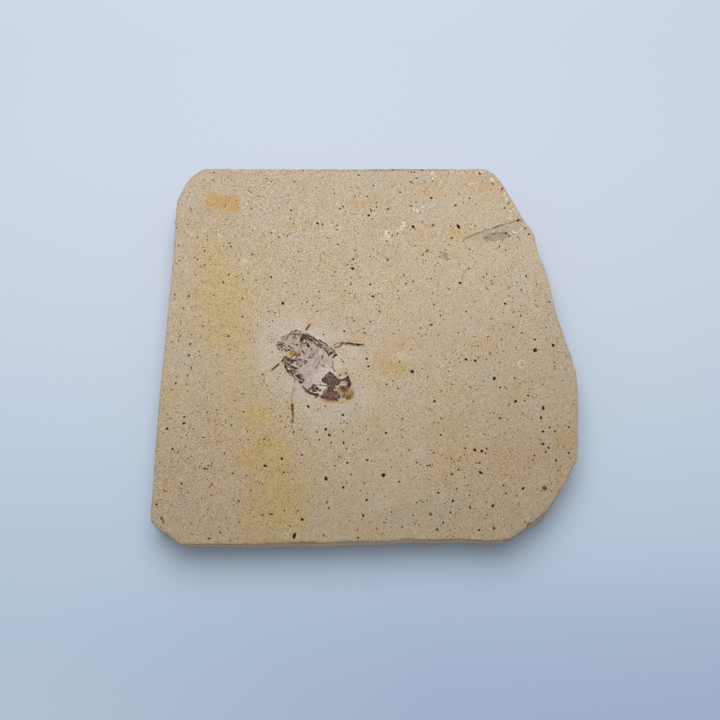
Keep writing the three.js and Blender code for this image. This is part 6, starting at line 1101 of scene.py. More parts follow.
# The larger grains of iron and manganese oxide: x, y, radius, 1 where faint.
GRAINS = [
    (40.7, -2.3, 0.40, 0), (10.5, -7.8, 0.35, 0), (23.3, 31.8, 0.40, 0), (-17.0, -47.1, 0.38, 0),
    (-21.4, 10.2, 0.32, 0), (3.3, -33.2, 0.37, 0), (45.2, -1.0, 0.32, 0), (-4.0, 19.8, 0.33, 0),
    (40.4, -36.2, 0.36, 1), (35.1, -15.3, 0.30, 0), (30.3, -9.6, 0.34, 0), (25.9, -5.0, 0.28, 0),
    (11.6, 31.7, 0.30, 0), (0.1, 35.0, 0.28, 0), (23.1, 15.8, 0.28, 0), (-9.4, -23.6, 0.25, 0),
    (41.6, -17.0, 0.31, 0), (26.4, -27.5, 0.30, 0), (-15.3, -43.4, 0.28, 0), (24.8, -27.2, 0.28, 0),
    (-47.8, -22.1, 0.26, 0), (-24.6, 17.4, 0.23, 0), (35.5, -36.3, 0.26, 0), (23.7, -4.7, 0.28, 0),
    (34.1, 10.1, 0.25, 0), (25.9, -32.6, 0.30, 0), (-45.0, 12.2, 0.22, 0), (-0.1, -6.5, 0.23, 0),
    (40.9, -25.8, 0.26, 0), (1.1, 12.1, 0.26, 0), (22.8, 38.0, 0.25, 0), (28.3, -40.3, 0.26, 0),
    (-10.0, -34.0, 0.34, 0), (28.3, -45.4, 0.30, 1), (15.5, 4.4, 0.23, 0), (4.9, 22.2, 0.23, 0),
    (15.7, -15.3, 0.26, 0), (8.4, 41.9, 0.20, 0), (19.2, -39.2, 0.23, 0), (-6.0, -36.1, 0.22, 0),
    (-0.6, -39.0, 0.23, 0), (29.1, 17.4, 0.20, 0), (40.8, 0.5, 0.22, 0), (41.1, -22.8, 0.23, 0),
    (-13.1, 32.7, 0.26, 0), (-14.5, -16.6, 0.26, 0), (-10.2, -22.2, 0.26, 0), (-43.9, -19.2, 0.22, 0),
    (-1.4, -42.5, 0.23, 0), (-6.0, 2.7, 0.22, 0), (4.0, -23.1, 0.23, 0), (-43.9, -3.6, 0.26, 1),
    (15.4, -45.7, 0.30, 1), (16.5, 40.2, 0.22, 0), (-46.1, -27.0, 0.22, 0), (20.8, -31.9, 0.20, 0),
    (16.7, 32.2, 0.25, 1), (14.0, -42.2, 0.28, 1), (-3.9, 22.4, 0.23, 0), (-24.2, -31.0, 0.27, 0),
    (-20.4, -29.3, 0.23, 0), (-48.6, 26.3, 0.16, 0), (38.2, -13.9, 0.20, 0), (-43.9, -20.8, 0.25, 0),
    (40.9, -19.4, 0.23, 0), (0.4, 15.4, 0.22, 0), (42.1, -26.7, 0.22, 0), (-11.7, -24.8, 0.18, 0),
    (31.2, -19.5, 0.26, 1), (-6.2, -18.7, 0.25, 0), (43.7, -29.7, 0.23, 0), (15.9, -37.3, 0.22, 0),
    (-43.8, -0.7, 0.26, 1), (38.9, 33.7, 0.25, 0), (-20.8, 29.1, 0.18, 0), (-0.5, -4.5, 0.22, 0),
    (-35.2, 26.0, 0.20, 0), (16.9, -23.6, 0.20, 0), (-43.4, -35.2, 0.20, 0), (-2.5, 47.1, 0.20, 0),
    (15.0, 24.8, 0.22, 0), (19.2, -33.0, 0.27, 1), (-3.6, 5.4, 0.18, 0), (29.6, 47.6, 0.22, 0),
    (-17.8, -22.9, 0.20, 0), (24.9, -45.8, 0.20, 0), (-1.0, 2.3, 0.20, 0), (-20.9, 15.7, 0.18, 0),
    (2.7, 8.0, 0.23, 1), (-24.9, 7.9, 0.18, 0), (21.5, 28.4, 0.26, 1), (-47.4, -43.1, 0.26, 1),
    (-29.6, 23.9, 0.22, 1), (-5.1, -30.3, 0.22, 0), (25.5, 19.8, 0.22, 1), (32.6, 0.5, 0.16, 0),
    (-39.1, -24.2, 0.18, 0), (5.1, 36.9, 0.20, 0), (-48.8, -40.0, 0.20, 0), (-23.3, 7.6, 0.16, 0),
    (4.7, 27.5, 0.18, 0), (-30.0, -39.2, 0.20, 0), (6.2, 29.1, 0.16, 0), (35.4, 29.9, 0.20, 0),
    (2.2, 37.5, 0.18, 0), (-20.1, 36.6, 0.22, 0), (33.6, 26.1, 0.20, 0), (-35.3, 18.1, 0.18, 0),
    (-15.7, -28.4, 0.18, 0), (-35.6, 27.0, 0.20, 0), (35.5, 37.2, 0.20, 0), (23.1, 21.1, 0.14, 0),
    (38.7, -28.5, 0.18, 0), (-36.3, -47.7, 0.18, 0), (-25.7, -8.5, 0.18, 0), (47.3, -21.7, 0.20, 0),
    (37.8, 6.9, 0.18, 0), (-22.4, -42.2, 0.26, 1), (35.7, 3.8, 0.18, 0), (-28.3, 16.6, 0.16, 0),
    (11.2, 37.8, 0.20, 0), (-9.3, -40.8, 0.18, 0), (1.4, 43.9, 0.18, 0),
    (-3.56, 5.33, 0.14, 0), (-11.17, 1.82, 0.17, 0), (-6.17, 5.89, 0.10, 0), (-5.46, 6.13, 0.08, 0), (-2.61, 2.78, 0.11, 1), (-3.62, -4.48, 0.12, 0),
    (-4.99, -4.32, 0.12, 1), (-3.55, -1.25, 0.09, 1), (-24.60, 3.92, 0.14, 0), (-20.90, 5.50, 0.10, 1), (-22.44, 1.64, 0.09, 0), (-23.93, 0.51, 0.10, 0),
    (-23.82, -0.33, 0.11, 0), (-23.65, -2.75, 0.15, 0), (-3.95, -8.26, 0.09, 0), (-2.22, -8.99, 0.11, 1), (-24.57, -11.37, 0.14, 0), (-22.02, -9.64, 0.12, 0),
    (-22.10, -10.56, 0.11, 1), (-21.00, -12.55, 0.09, 0), (-19.91, -13.03, 0.11, 1), (-23.38, -14.79, 0.11, 0), (-19.53, -15.59, 0.11, 0), (-18.96, -17.06, 0.10, 0),
    (-12.61, -14.31, 0.11, 0), (-10.44, -16.54, 0.16, 0), (-7.56, -15.16, 0.12, 0), (-2.90, -15.98, 0.12, 0), (-3.51, -17.17, 0.12, 0), (-1.45, -11.90, 0.12, 0),
    (-2.80, -11.98, 0.09, 0), (-2.29, -13.83, 0.08, 1), (-3.67, -14.39, 0.08, 0), (-1.99, -16.93, 0.09, 1), (-12.25, -17.57, 0.10, 0), (-6.18, -5.23, 0.11, 0),
    (-21.37, -8.26, 0.09, 1), (-24.82, 1.43, 0.08, 1), (-24.30, 2.19, 0.08, 0), (-23.76, 2.36, 0.07, 1), (-23.26, 1.69, 0.07, 0), (-24.80, 0.84, 0.07, 1),
    (-24.11, 1.27, 0.08, 0), (-23.38, 0.51, 0.07, 1), (-22.92, 0.84, 0.07, 0), (-24.30, 0.01, 0.07, 1), (-25.06, -0.66, 0.08, 1), (-21.17, -7.28, 0.08, 1),
    (-23.04, -9.15, 0.08, 1), (-20.19, -11.50, 0.08, 0), (-14.86, 5.67, 0.08, 1), (-9.49, 5.25, 0.10, 1), (-11.60, 4.05, 0.09, 1), (-8.00, -0.83, 0.08, 1),
    (-16.52, -17.25, 0.09, 1), (-15.19, -15.35, 0.08, 1), (-6.33, -15.82, 0.08, 1), (-8.29, -18.04, 0.09, 0), (-18.50, 5.59, 0.08, 1), (-19.45, 5.67, 0.09, 0),
    (-22.17, 6.61, 0.09, 1), (-25.29, 5.59, 0.09, 1), (-25.18, -5.47, 0.08, 1), (-24.40, -13.91, 0.08, 0),
    (-25.43, 1.42, 0.06, 1), (-25.03, 1.53, 0.07, 1), (-24.31, 1.31, 0.06, 1), (-23.72, 1.96, 0.07, 1), (-23.83, 2.29, 0.07, 1), (-23.28, 1.09, 0.07, 1), (-22.69, 1.74, 0.06, 1), (-24.08, 0.65, 0.06, 1), (-23.66, 0.43, 0.06, 1), (-24.89, 0.43, 0.06, 1), (-24.56, -0.22, 0.07, 1), (-23.94, -0.44, 0.07, 1), (-23.24, -0.00, 0.07, 1), (-22.38, 1.63, 0.06, 1), (-25.16, -0.44, 0.06, 1), (-25.44, -0.98, 0.07, 1), (-24.43, 1.85, 0.07, 1), (-23.86, 1.37, 0.07, 1), (-23.06, 0.54, 0.07, 1), (-25.89, -0.00, 0.06, 1), (-24.80, 0.98, 0.06, 1), (-24.12, -0.00, 0.07, 1),
]


# ------------------------------------------------------------------ stains of the bedding face
BODY_XY = np.array(BODY)


def in_reach(x, y, pts, reach):
    """Indices of the points within reach of the corners' box."""
    lo, hi = np.min(pts, 0) - reach, np.max(pts, 0) + reach
    return np.where((x > lo[0]) & (x < hi[0]) & (y > lo[1]) & (y < hi[1]))[0]


def spots(x, y, rows, seed):
    wx = x + 0.55 * noise(x / 1.7, y / 1.7, seed=seed) + 0.25 * noise(x / 0.6, y / 0.6, seed=seed + 1)
    wy = y + 0.55 * noise(x / 1.7, y / 1.7, seed=seed + 2) + 0.25 * noise(x / 0.6, y / 0.6, seed=seed + 3)
    out = np.zeros(x.shape)
    for cx, cy, a, b, s in rows:
        r2 = ((wx - cx) / a) ** 2 + ((wy - cy) / b) ** 2
        out = np.maximum(out, out + s * np.exp(-r2 ** 1.15) * (1 - 0.5 * out))
    return out


def stains(x, y):
    """Masks of the iron and clay stains, 0..1, on the bedding face."""
    band = np.array(YELLOW_BAND)
    best = np.full(x.shape, 1e9)
    half = np.ones(x.shape)
    power = np.zeros(x.shape)
    wx = x + 1.5 * noise(x / 5, y / 5, seed=101) + 0.6 * noise(x / 1.5, y / 1.5, seed=102)
    wy = y + 1.5 * noise(x / 5, y / 5, seed=103) + 0.6 * noise(x / 1.5, y / 1.5, seed=104)
    for a, b in zip(band[:-1], band[1:]):
        d = b[:2] - a[:2]
        t = np.clip(((wx - a[0]) * d[0] + (wy - a[1]) * d[1]) / (d @ d), 0, 1)
        dist = np.hypot(wx - a[0] - d[0] * t, wy - a[1] - d[1] * t)
        near = dist < best
        best = np.where(near, dist, best)
        half = np.where(near, a[2] + (b[2] - a[2]) * t, half)
        power = np.where(near, a[3] + (b[3] - a[3]) * t, power)
    yellow = power * smooth(1.30, 0.25, best / half)
    yellow = yellow * (0.88 + 0.24 * fbm(x / 2.6, y / 2.6, seed=105, octaves=3)) + spots(x, y, YELLOW_SPOTS, 110)
    body = poly_sd(x, y, BODY_XY)
    wob = body + 1.1 * noise(x / 3.1, y / 3.1, seed=120) + 0.5 * noise(x / 1.1, y / 1.1, seed=121)
    halo = smooth(8.4, 1.2, wob) * (0.88 + 0.22 * noise(x / 2.3, y / 2.3, seed=122))
    # whitest close to the upper and right-hand side of the body
    facing = smooth(-0.3, 0.9, ((x + 13.0) * 0.45 + (y + 5.5) * 0.89) / 9.0)
    rim = smooth(2.6, 0.4, wob) * facing
    halo = halo * (1 - 0.42 * smooth(0.1, 0.9, ((x + 13.0) * 0.8 - (y + 5.5) * 0.6) / 9.0))
    masks = {
        "yellow": yellow * (1 - 0.85 * np.clip(halo, 0, 1)),
        "orange": spots(x, y, ORANGE_SPOTS, 130),
        "pink": spots(x, y, PINK_SPOTS, 140),
        "pale": 0.5 * spots(x, y, PALE_SPOTS, 150) * (1 - 0.4 * halo) + 0.42 * halo + 0.26 * rim,
        "grey": spots(x, y, GREY_SPOTS, 160),
    }
    return {k: np.clip(m, 0, 1.2) for k, m in masks.items()}


def painted(x, y, areas, strokes, dots, seed, nets=()):
    """Colour and cover of the marks at each point, laid over one another in order."""
    rgb = np.zeros((len(x), 3))
    cover = np.zeros(len(x))
    wx = x + 0.065 * noise(x / 0.33, y / 0.33, seed=seed) + 0.040 * noise(x / 0.16, y / 0.16, seed=seed + 1)
    wy = y + 0.065 * noise(x / 0.33, y / 0.33, seed=seed + 2) + 0.040 * noise(x / 0.16, y / 0.16, seed=seed + 3)
    patch = fbm(x / 0.42, y / 0.42, seed=seed + 4, octaves=3)

    def lay(i, tone, a):
        a = np.clip(a, 0, 1)
        rgb[i] = rgb[i] * (1 - a[:, None]) + np.array(TONE[tone]) * a[:, None]
        cover[i] = cover[i] * (1 - a) + a

    for tone, strength, soft, poly in areas:
        i = in_reach(x, y, poly, soft + 0.4)
        if len(i) == 0:
            continue
        d = poly_sd(wx[i], wy[i], poly) + 0.45 * soft * patch[i]
        lay(i, tone, strength * smooth(soft, -soft, d) * (1 - 0.22 * smooth(0.1, 0.6, patch[i])))
    for k, (tone, strength, size, slant, stretch, poly) in enumerate(nets):
        i = in_reach(x, y, poly, 0.3)
        c, s = math.cos(math.radians(slant)), math.sin(math.radians(slant))
        u, v = (wx[i] * c + wy[i] * s) / max(stretch, 1.0), wy[i] * c - wx[i] * s
        n = fbm(u / size, v / size, seed=seed + 10 + 3 * k, octaves=2, gain=0.4)
        if stretch:        # short broken lines
            n = smooth(0.26, 0.07, np.abs(n)) * smooth(-0.40, 0.05, noise(x[i] / 0.8, y[i] / 0.8, seed=seed + 11 + 3 * k))
        else:              # blotches
            n = smooth(-0.10, 0.28, n)
        lay(i, tone, strength * n * smooth(0.12, -0.22, poly_sd(wx[i], wy[i], poly)))
    for tone, strength, width, line in strokes:
        i = in_reach(x, y, line, width + 0.3)
        if len(i) == 0:
            continue
        w = 0.35 if tone.startswith("leg") else 1.0
        d, t, _ = seg_dist(x[i] + w * (wx[i] - x[i]), y[i] + w * (wy[i] - y[i]), line)
        half = (0.5 * width + 0.03) * (1 - 0.55 * np.abs(2 * t - 1) ** 4) * (1 + 0.45 * patch[i])
        lay(i, tone, strength * smooth(0.055, -0.055, d - half) * (1 - 0.30 * smooth(0.0, -0.5, patch[i])))
    for tone, strength, radius, centre in dots:
        i = in_reach(x, y, [centre], radius * 1.6 + 0.2)
        if len(i) == 0:
            continue
        d = np.hypot(wx[i] - centre[0], wy[i] - centre[1])
        lay(i, tone, strength * smooth(0.06, -0.05, d - (radius + 0.03) * (1.0 + 0.4 * patch[i])))
    ok = cover > 1e-4
    rgb[ok] /= np.maximum(cover[ok], 1e-4)[:, None]
    return rgb, cover


# Where the face carries the insect: its body and legs with a strip of bleached stone round them.
def insect_reach(x, y):
    d = poly_sd(x, y, BODY_XY) - 0.9
    for name, line in LEGS.items():
        e, t, _ = seg_dist(x, y, line)
        d = np.minimum(d, e - (0.75 if name == "hind_right" else 0.60))
    return d


# ------------------------------------------------------------------ relief of the bedding face
SCRATCH = [(24.48, 28.02), (28.47, 29.84), (31.94, 31.12), (35.27, 32.43), (41.6, 34.5)]


def face_relief(x, y, bed=True):
    """Height of the stone about the bedding plane, mm."""
    h = 0.045 * fbm(x / 23, y / 23, seed=3, octaves=3)
    h += 0.014 * fbm(x / 4.1, y / 4.1, seed=5, octaves=3)
    h += 0.006 * noise(x / 0.9, y / 0.9, seed=7)
    d, t, side = seg_dist(x, y, SCRATCH)
    wob = 0.10 * noise(x / 0.8, y / 0.8, seed=11)
    below = np.where(side < 0, smooth(2.6, 0.0, d + 3 * wob), smooth(0.22, 0.0, d))
    h -= 0.17 * below * smooth(-0.02, 0.10, t)
    h += 0.03 * np.exp(-((d - 0.25) / 0.2) ** 2) * (side > 0)
    if bed:        # the bed that holds the insect
        i = in_reach(x, y, [(-24.5, -21.5), (0.5, 5.5)], 0.5)
        if len(i):
            h[i] -= 0.22 * smooth(-0.12, -0.55, insect_reach(x[i], y[i]))
    return h


# ------------------------------------------------------------------ the plate of stone
def hexgrid(lo, hi, gap, seed, jitter=0.12):
    pts = []
    for k, yv in enumerate(np.arange(lo[1], hi[1], gap * math.sqrt(3) / 2)):
        xs = np.arange(lo[0] + (gap / 2 if k % 2 else 0), hi[0], gap)
        pts.append(np.c_[xs, np.full(len(xs), yv)])
    pts = np.concatenate(pts)
    i = np.arange(len(pts))
    o = np.zeros(len(pts), int)
    return pts + np.c_[lattice(i, o, o, seed), lattice(i, o + 1, o, seed + 1)] * jitter * gap


def fine_points(gap):
    """Closer points where the face carries small marks."""
    kept = []
    jobs = [("area", p, s) for _, _, s, p in FACE_AREAS if s < 0.3]
    jobs += [("line", p, w / 2) for _, _, w, p in FACE_STROKES]
    jobs += [("dot", [p], r) for _, _, r, p in FACE_DOTS]
    for kind, pts, size in jobs:
        pts = np.array(pts, float)
        grid = hexgrid(pts.min(0) - 0.6, pts.max(0) + 0.6, gap, 81)
        x, y = grid.T
        if kind == "area":
            d = np.abs(poly_sd(x, y, pts)) - 0.15 if size < 0.2 else poly_sd(x, y, pts)
        elif kind == "line":
            d = seg_dist(x, y, pts)[0] - size if len(pts) > 1 else np.hypot(x - pts[0, 0], y - pts[0, 1]) - size
        else:
            d = np.hypot(x - pts[0, 0], y - pts[0, 1]) - size
        kept.append(grid[d < 0.22])
    kept = np.concatenate(kept)
    key = np.round(kept / (gap * 0.8)).astype(np.int64)       # thin where two marks meet
    _, first = np.unique(key[:, 0] * 100003 + key[:, 1], return_index=True)
    return kept[np.sort(first)]


def build_slab():
    n = len(LOOP)
    th = ARC / PERIMETER * 2 * math.pi
    cx, cy = np.cos(th) * PERIMETER / (2 * math.pi), np.sin(th) * PERIMETER / (2 * math.pi)
    wear = 0.17 + 0.09 * fbm(cx / 3.0, cy / 3.0, seed=21) + 0.16 * np.maximum(noise(cx / 1.3, cy / 1.3, seed=22) - 0.35, 0)
    wear_b = 0.35 + 0.15 * fbm(cx / 3.0, cy / 3.0, seed=23)
    # rim holds, ring by ring, the painted shade and grime that darken the rounded upper arris and the top of the
    # broken edge
    rings, rim = [], []

    def side_out(z):
        zz = np.full(n, z) if np.isscalar(z) else z
        flare = FOOT * (1 - zz / T)
        lam = 0.10 * fbm(cx / 9, cy / 9, zz / 0.55, seed=31, octaves=3)
        lam += 0.05 * noise(cx / 0.9, cy / 0.9, zz / 0.5, seed=33)
        lam += 0.07 * noise(cx / 40, cy / 40, zz / 0.8, seed=35)
        # beds that break back further than their neighbours
        lam -= 0.10 * smooth(0.25, 0.55, noise(cx / 14, cy / 14, np.floor(zz / 1.15 + 0.2 * noise(cx / 8, cy / 8, seed=37)), seed=36))
        return flare + lam - 0.10

    def ring(out, z):
        p = LOOP + NORMAL * out[:, None]
        rings.append(np.c_[p, np.full(n, z) if np.isscalar(z) else z])

    for a in (0, 25, 55):
        r = math.radians(a)
        out = side_out(T - wear) * math.sin(r) - wear * (1 - math.sin(r))
        p = LOOP + NORMAL * out[:, None]
        rings.append(np.c_[p, T + face_relief(p[:, 0], p[:, 1]) * (1 - math.sin(r)) - wear * (1 - math.cos(r))])
        rim.append((0.30, 0.95, 1.0)[a // 27])
    for f in np.linspace(0, 1, 21):
        z = (T - wear) * (1 - f) + wear_b * f
        ring(side_out(z), z)
        rim.append(max(0.0, 1.0 - f * 7))
    for a in (60, 30, 0):
        r = math.radians(a)
        ring(side_out(wear_b) - wear_b * (1 - math.sin(r)), wear_b * (1 - math.cos(r)))
        rim.append(0.0)

    def fill(loop, pts, up):
        both = np.concatenate([loop, pts])
        edges = [(i, (i + 1) % len(loop)) for i in range(len(loop))]
        vs, _, faces, orig, _, _ = delaunay_2d_cdt([Vector(p) for p in both], edges, [], 1, 1e-7)
        assert len(vs) == len(both), (len(vs), len(both))
        back = [o[0] for o in orig]
        tris = np.array([[back[i] for i in f] for f in faces])
        a, b, c = both[tris[:, 0]], both[tris[:, 1]], both[tris[:, 2]]
        area = (b[:, 0] - a[:, 0]) * (c[:, 1] - a[:, 1]) - (b[:, 1] - a[:, 1]) * (c[:, 0] - a[:, 0])
        wrong = (area < 0) if up else (area > 0)
        tris[wrong] = tris[wrong][:, ::-1]
        return tris

    rings = np.array(rings)
    count = len(rings)
    verts = [rings.reshape(-1, 3)]
    quads = []
    i = np.arange(n)
    k = (i + 1) % n
    for r in range(count - 1):
        quads.append(np.c_[r * n + i, (r + 1) * n + i, (r + 1) * n + k, r * n + k])
    quads = np.concatenate(quads)
    base = count * n

    edge = rings[0][:, :2]
    coarse = hexgrid(edge.min(0), edge.max(0), 0.52, 71)
    fine = fine_points(0.15)
    coarse_key = np.round(coarse / 0.4).astype(np.int64)
    fine_key = np.round(fine / 0.4).astype(np.int64)
    busy = set(map(tuple, fine_key))
    coarse = coarse[[tuple(c) not in busy for c in coarse_key]]
    top_pts = np.concatenate([coarse, fine])
    top_pts = top_pts[poly_sd(top_pts[:, 0], top_pts[:, 1], edge) < -0.28]
    t_tris = fill(edge, top_pts, True)
    verts.append(np.c_[top_pts, T + face_relief(top_pts[:, 0], top_pts[:, 1])])
    t_idx = np.where(t_tris < n, t_tris, t_tris - n + base)
    top_start = base
    base += len(top_pts)

    foot = rings[-1][:, :2]
    bot_pts = hexgrid(foot.min(0), foot.max(0), 0.90, 75)
    sd = poly_sd(bot_pts[:, 0], bot_pts[:, 1], foot)
    bot_pts, sd = bot_pts[sd < -0.5], sd[sd < -0.5]
    b_tris = fill(foot, bot_pts, False)
    # a split face: low steps between beds, with a fine roughness
    bx, by = bot_pts.T
    step = fbm(bx / 17, by / 17, seed=41, octaves=4)
    lift = 0.34 * np.clip(np.round(step * 3.2 + 0.5), 0, 3) + 0.05 * (1 + fbm(bx / 2.6, by / 2.6, seed=43)) + 0.03 * (1 + noise(bx / 1.2, by / 1.2, seed=44))
    verts.append(np.c_[bot_pts, lift * smooth(0, 2.5, -sd)])
    b_idx = np.where(b_tris < n, b_tris + (count - 1) * n, b_tris - n + base)

    v = np.concatenate(verts)
    total = len(v)
    side = np.zeros(total)                 # 0 bedding face, 1 broken edge
    rim_grime_and_shade = np.zeros(total)
    along = np.zeros(total)
    for r in range(count):
        s = slice(r * n, (r + 1) * n)
        side[s] = min(1.0, max(0.0, (r - 1) / 2.0))
        # the rim's painted shade is heavier on edges that face the front, away from the lamps
        facing = 0.66 + 0.34 * smooth(0.2, 0.9, -NORMAL[:, 1])
        rim_grime_and_shade[s] = rim[r] * facing * (0.75 + 0.45 * fbm(cx / 1.1, cy / 1.1, seed=45, octaves=2))
    under = np.zeros(total)
    under[top_start + len(top_pts):] = 1.0
    under[(count - 1) * n:count * n] = 1.0
    under[(count - 2) * n:(count - 1) * n] = 0.5
    return v, quads, np.concatenate([t_idx, b_idx]), side, rim_grime_and_shade, under, top_start, len(top_pts)


def mesh_object(name, verts_mm, quads=None, tris=None, smooth_shade=True):
    me = bpy.data.meshes.new(name)
    nq = 0 if quads is None else len(quads)
    nt = 0 if tris is None else len(tris)
    me.vertices.add(len(verts_mm))
    me.vertices.foreach_set("co", (verts_mm * MM).astype(np.float32).ravel())
    loops = np.concatenate([a.ravel() for a in (quads, tris) if a is not None]).astype(np.int32)
    starts = np.concatenate([np.arange(nq) * 4, nq * 4 + np.arange(nt) * 3]).astype(np.int32)
    me.loops.add(len(loops))
    me.loops.foreach_set("vertex_index", loops)
    me.polygons.add(nq + nt)
    me.polygons.foreach_set("loop_start", starts)
    me.polygons.foreach_set("use_smooth", np.full(nq + nt, smooth_shade))
    me.update(calc_edges=True)
    me.validate()
    ob = bpy.data.objects.new(name, me)
    bpy.context.scene.collection.objects.link(ob)
    return ob


def faces_of(me):
    """Corner vertex, corner face, and the lowest and highest vertex of each corner's face."""
    corner = np.zeros(len(me.loops), np.int32)
    me.loops.foreach_get("vertex_index", corner)
    first = np.zeros(len(me.polygons), np.int32)
    size = np.zeros(len(me.polygons), np.int32)
    me.polygons.foreach_get("loop_start", first)
    me.polygons.foreach_get("loop_total", size)
    assert (first == np.cumsum(size) - size).all()
    face = np.repeat(np.arange(len(size)), size)
    return corner, np.minimum.reduceat(corner, first)[face], np.maximum.reduceat(corner, first)[face]


def flat_map(ob, u, v):
    """The piece's flattened surface, for textures made from its pattern."""
    layer = ob.data.uv_layers.new(name="OFBake")
    layer.data.foreach_set("uv", np.c_[u, v].astype(np.float32).ravel())


def store(ob, name, values):
    a = ob.data.attributes.new(name, "FLOAT", "POINT")
    a.data.foreach_set("value", np.asarray(values, np.float32))


def store_colour(ob, name, rgb, alpha):
    a = ob.data.attributes.new(name, "FLOAT_COLOR", "POINT")
    a.data.foreach_set("color", np.c_[rgb, alpha].astype(np.float32).ravel())


lo_mm = np.array(cad_box[0]) / MM
hi_mm = np.array(cad_box[1]) / MM


def inside_box(v):
    return np.clip(v, lo_mm + 0.001, hi_mm - 0.001)


v, q, t, side, rim_grime_and_shade, under, top0, ntop = build_slab()
slab = mesh_object("limestone_slab", inside_box(v), q, t)
vx, vy = v[:, 0], v[:, 1]
slab_stains = stains(vx, vy)
for key, mask in slab_stains.items():
    mask = mask.copy()
    mask[under > 0] = 0
    store(slab, key, mask)
store(slab, "side", side)
store(slab, "rim", rim_grime_and_shade)
store(slab, "under", under)
paint_rgb, paint_a = painted(vx, vy, FACE_AREAS, FACE_STROKES, FACE_DOTS, 201)
paint_a[(side > 0.6) | (under > 0)] = 0
store_colour(slab, "paint", paint_rgb, paint_a)
# flattened: the face at full size, the edge in three strips below it, the underside small
low, high = v[:, :2].min(0), v[:, :2].max(0)
scale = 0.70 / (high[0] - low[0])
corner, least, most = faces_of(slab.data)
nl = len(LOOP)
nr = top0 // nl
u_map = 0.006 + (vx[corner] - low[0]) * scale
v_map = 0.30 + (vy[corner] - low[1]) * scale
below = (least >= top0 + ntop) | ((least >= (nr - 4) * nl) & (least < top0) & (most < top0)) | (most >= top0 + ntop)
u_map[below] = 0.716 + (vx[corner] - low[0])[below] * scale * 0.39
v_map[below] = 0.30 + (vy[corner] - low[1])[below] * scale * 0.39
wall = (most < top0) & (least >= 2 * nl) & (least < (nr - 4) * nl)
at = corner % nl
start = least % nl                 # the face's own place round the edge
wraps = (most % nl == nl - 1) & (start == 0)
start = np.where(wraps, nl - 1, start)
arc = np.where(wraps & (at == 0), PERIMETER, ARC[at])
strip = np.minimum(ARC[start] * scale // 0.97, 2)
u_map = np.where(wall, 0.008 + arc * scale - strip * 0.97, u_map)
v_map = np.where(wall, 0.012 + strip * 0.095 + (corner // nl - 2) / (nr - 6) * 0.080, v_map)
flat_map(slab, u_map, v_map)
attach(slab, "root")
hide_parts("fossil_slab")


# ------------------------------------------------------------------ the insect
GRID = 0.08


def insect_relief(x, y):
    """Height of the fossil about the bedding plane, mm."""
    h = face_relief(x, y, bed=False) + 0.025
    depth = -poly_sd(x, y, BODY_XY)
    wob = depth + 0.12 * noise(x / 0.7, y / 0.7, seed=301)
    h += 0.13 * smooth(0.0, 0.7, wob) + 0.07 * smooth(0.5, 3.2, wob)
    # the break between head and body, and the sunken middle of the body
    neck, _, _ = seg_dist(x, y, [(-16.6, -1.6), (-16.2, -2.9), (-17.3, -3.9), (-20.2, -4.2)])
    h -= 0.09 * np.exp(-(neck / 0.35) ** 2) * smooth(0, 0.5, wob)
    mid, _, _ = seg_dist(x, y, [(-15.0, -3.0), (-11.5, -8.0)])
    h -= 0.06 * smooth(3.0, 0.6, mid)
    h += (0.014 * fbm(x / 0.9, y / 0.9, seed=303) + 0.010 * noise(x / 0.3, y / 0.3, seed=304)) * smooth(-0.4, 0.3, wob)
    ridge = {"white": 0.030, "dark": 0.045, "umber": 0.035, "black": 0.045, "bronze": 0.04, "greybrown": 0.02,
             "legbrown": 0.10, "legblack": 0.12, "legdark": 0.10, "violet": 0.03}
    for tone, strength, width, line in FILM_STROKES:
        i = in_reach(x, y, line, 0.8)
        if len(i) == 0:
            continue
        d, t, _ = seg_dist(x[i], y[i], line)
        w = width * (1 - 0.4 * np.abs(2 * t - 1) ** 4)
        h[i] += ridge.get(tone, 0.015) * np.exp(-(d / (0.62 * w + 0.03)) ** 2)
    for tone, strength, soft, poly in FILM_AREAS:
        up = {"film": 0.055, "filmred": 0.012, "greyfilm": 0.045, "redbrown": 0.03, "tan": 0.05, "ochre": 0.02,
              "pinkwhite": -0.03, "white": 0.025, "olive": 0.02}.get(tone, 0)
        if up == 0:
            continue
        i = in_reach(x, y, poly, 0.6)
        if len(i) == 0:
            continue
        d = poly_sd(x[i] + 0.04 * noise(x[i] / 0.3, y[i] / 0.3, seed=305), y[i], poly)
        crack = 0.012 * np.abs(noise(x[i] / 0.45, y[i] / 0.45, seed=306))
        h[i] += (up - crack) * smooth(0.10, -0.10, d)
    return np.minimum(h, 0.33)


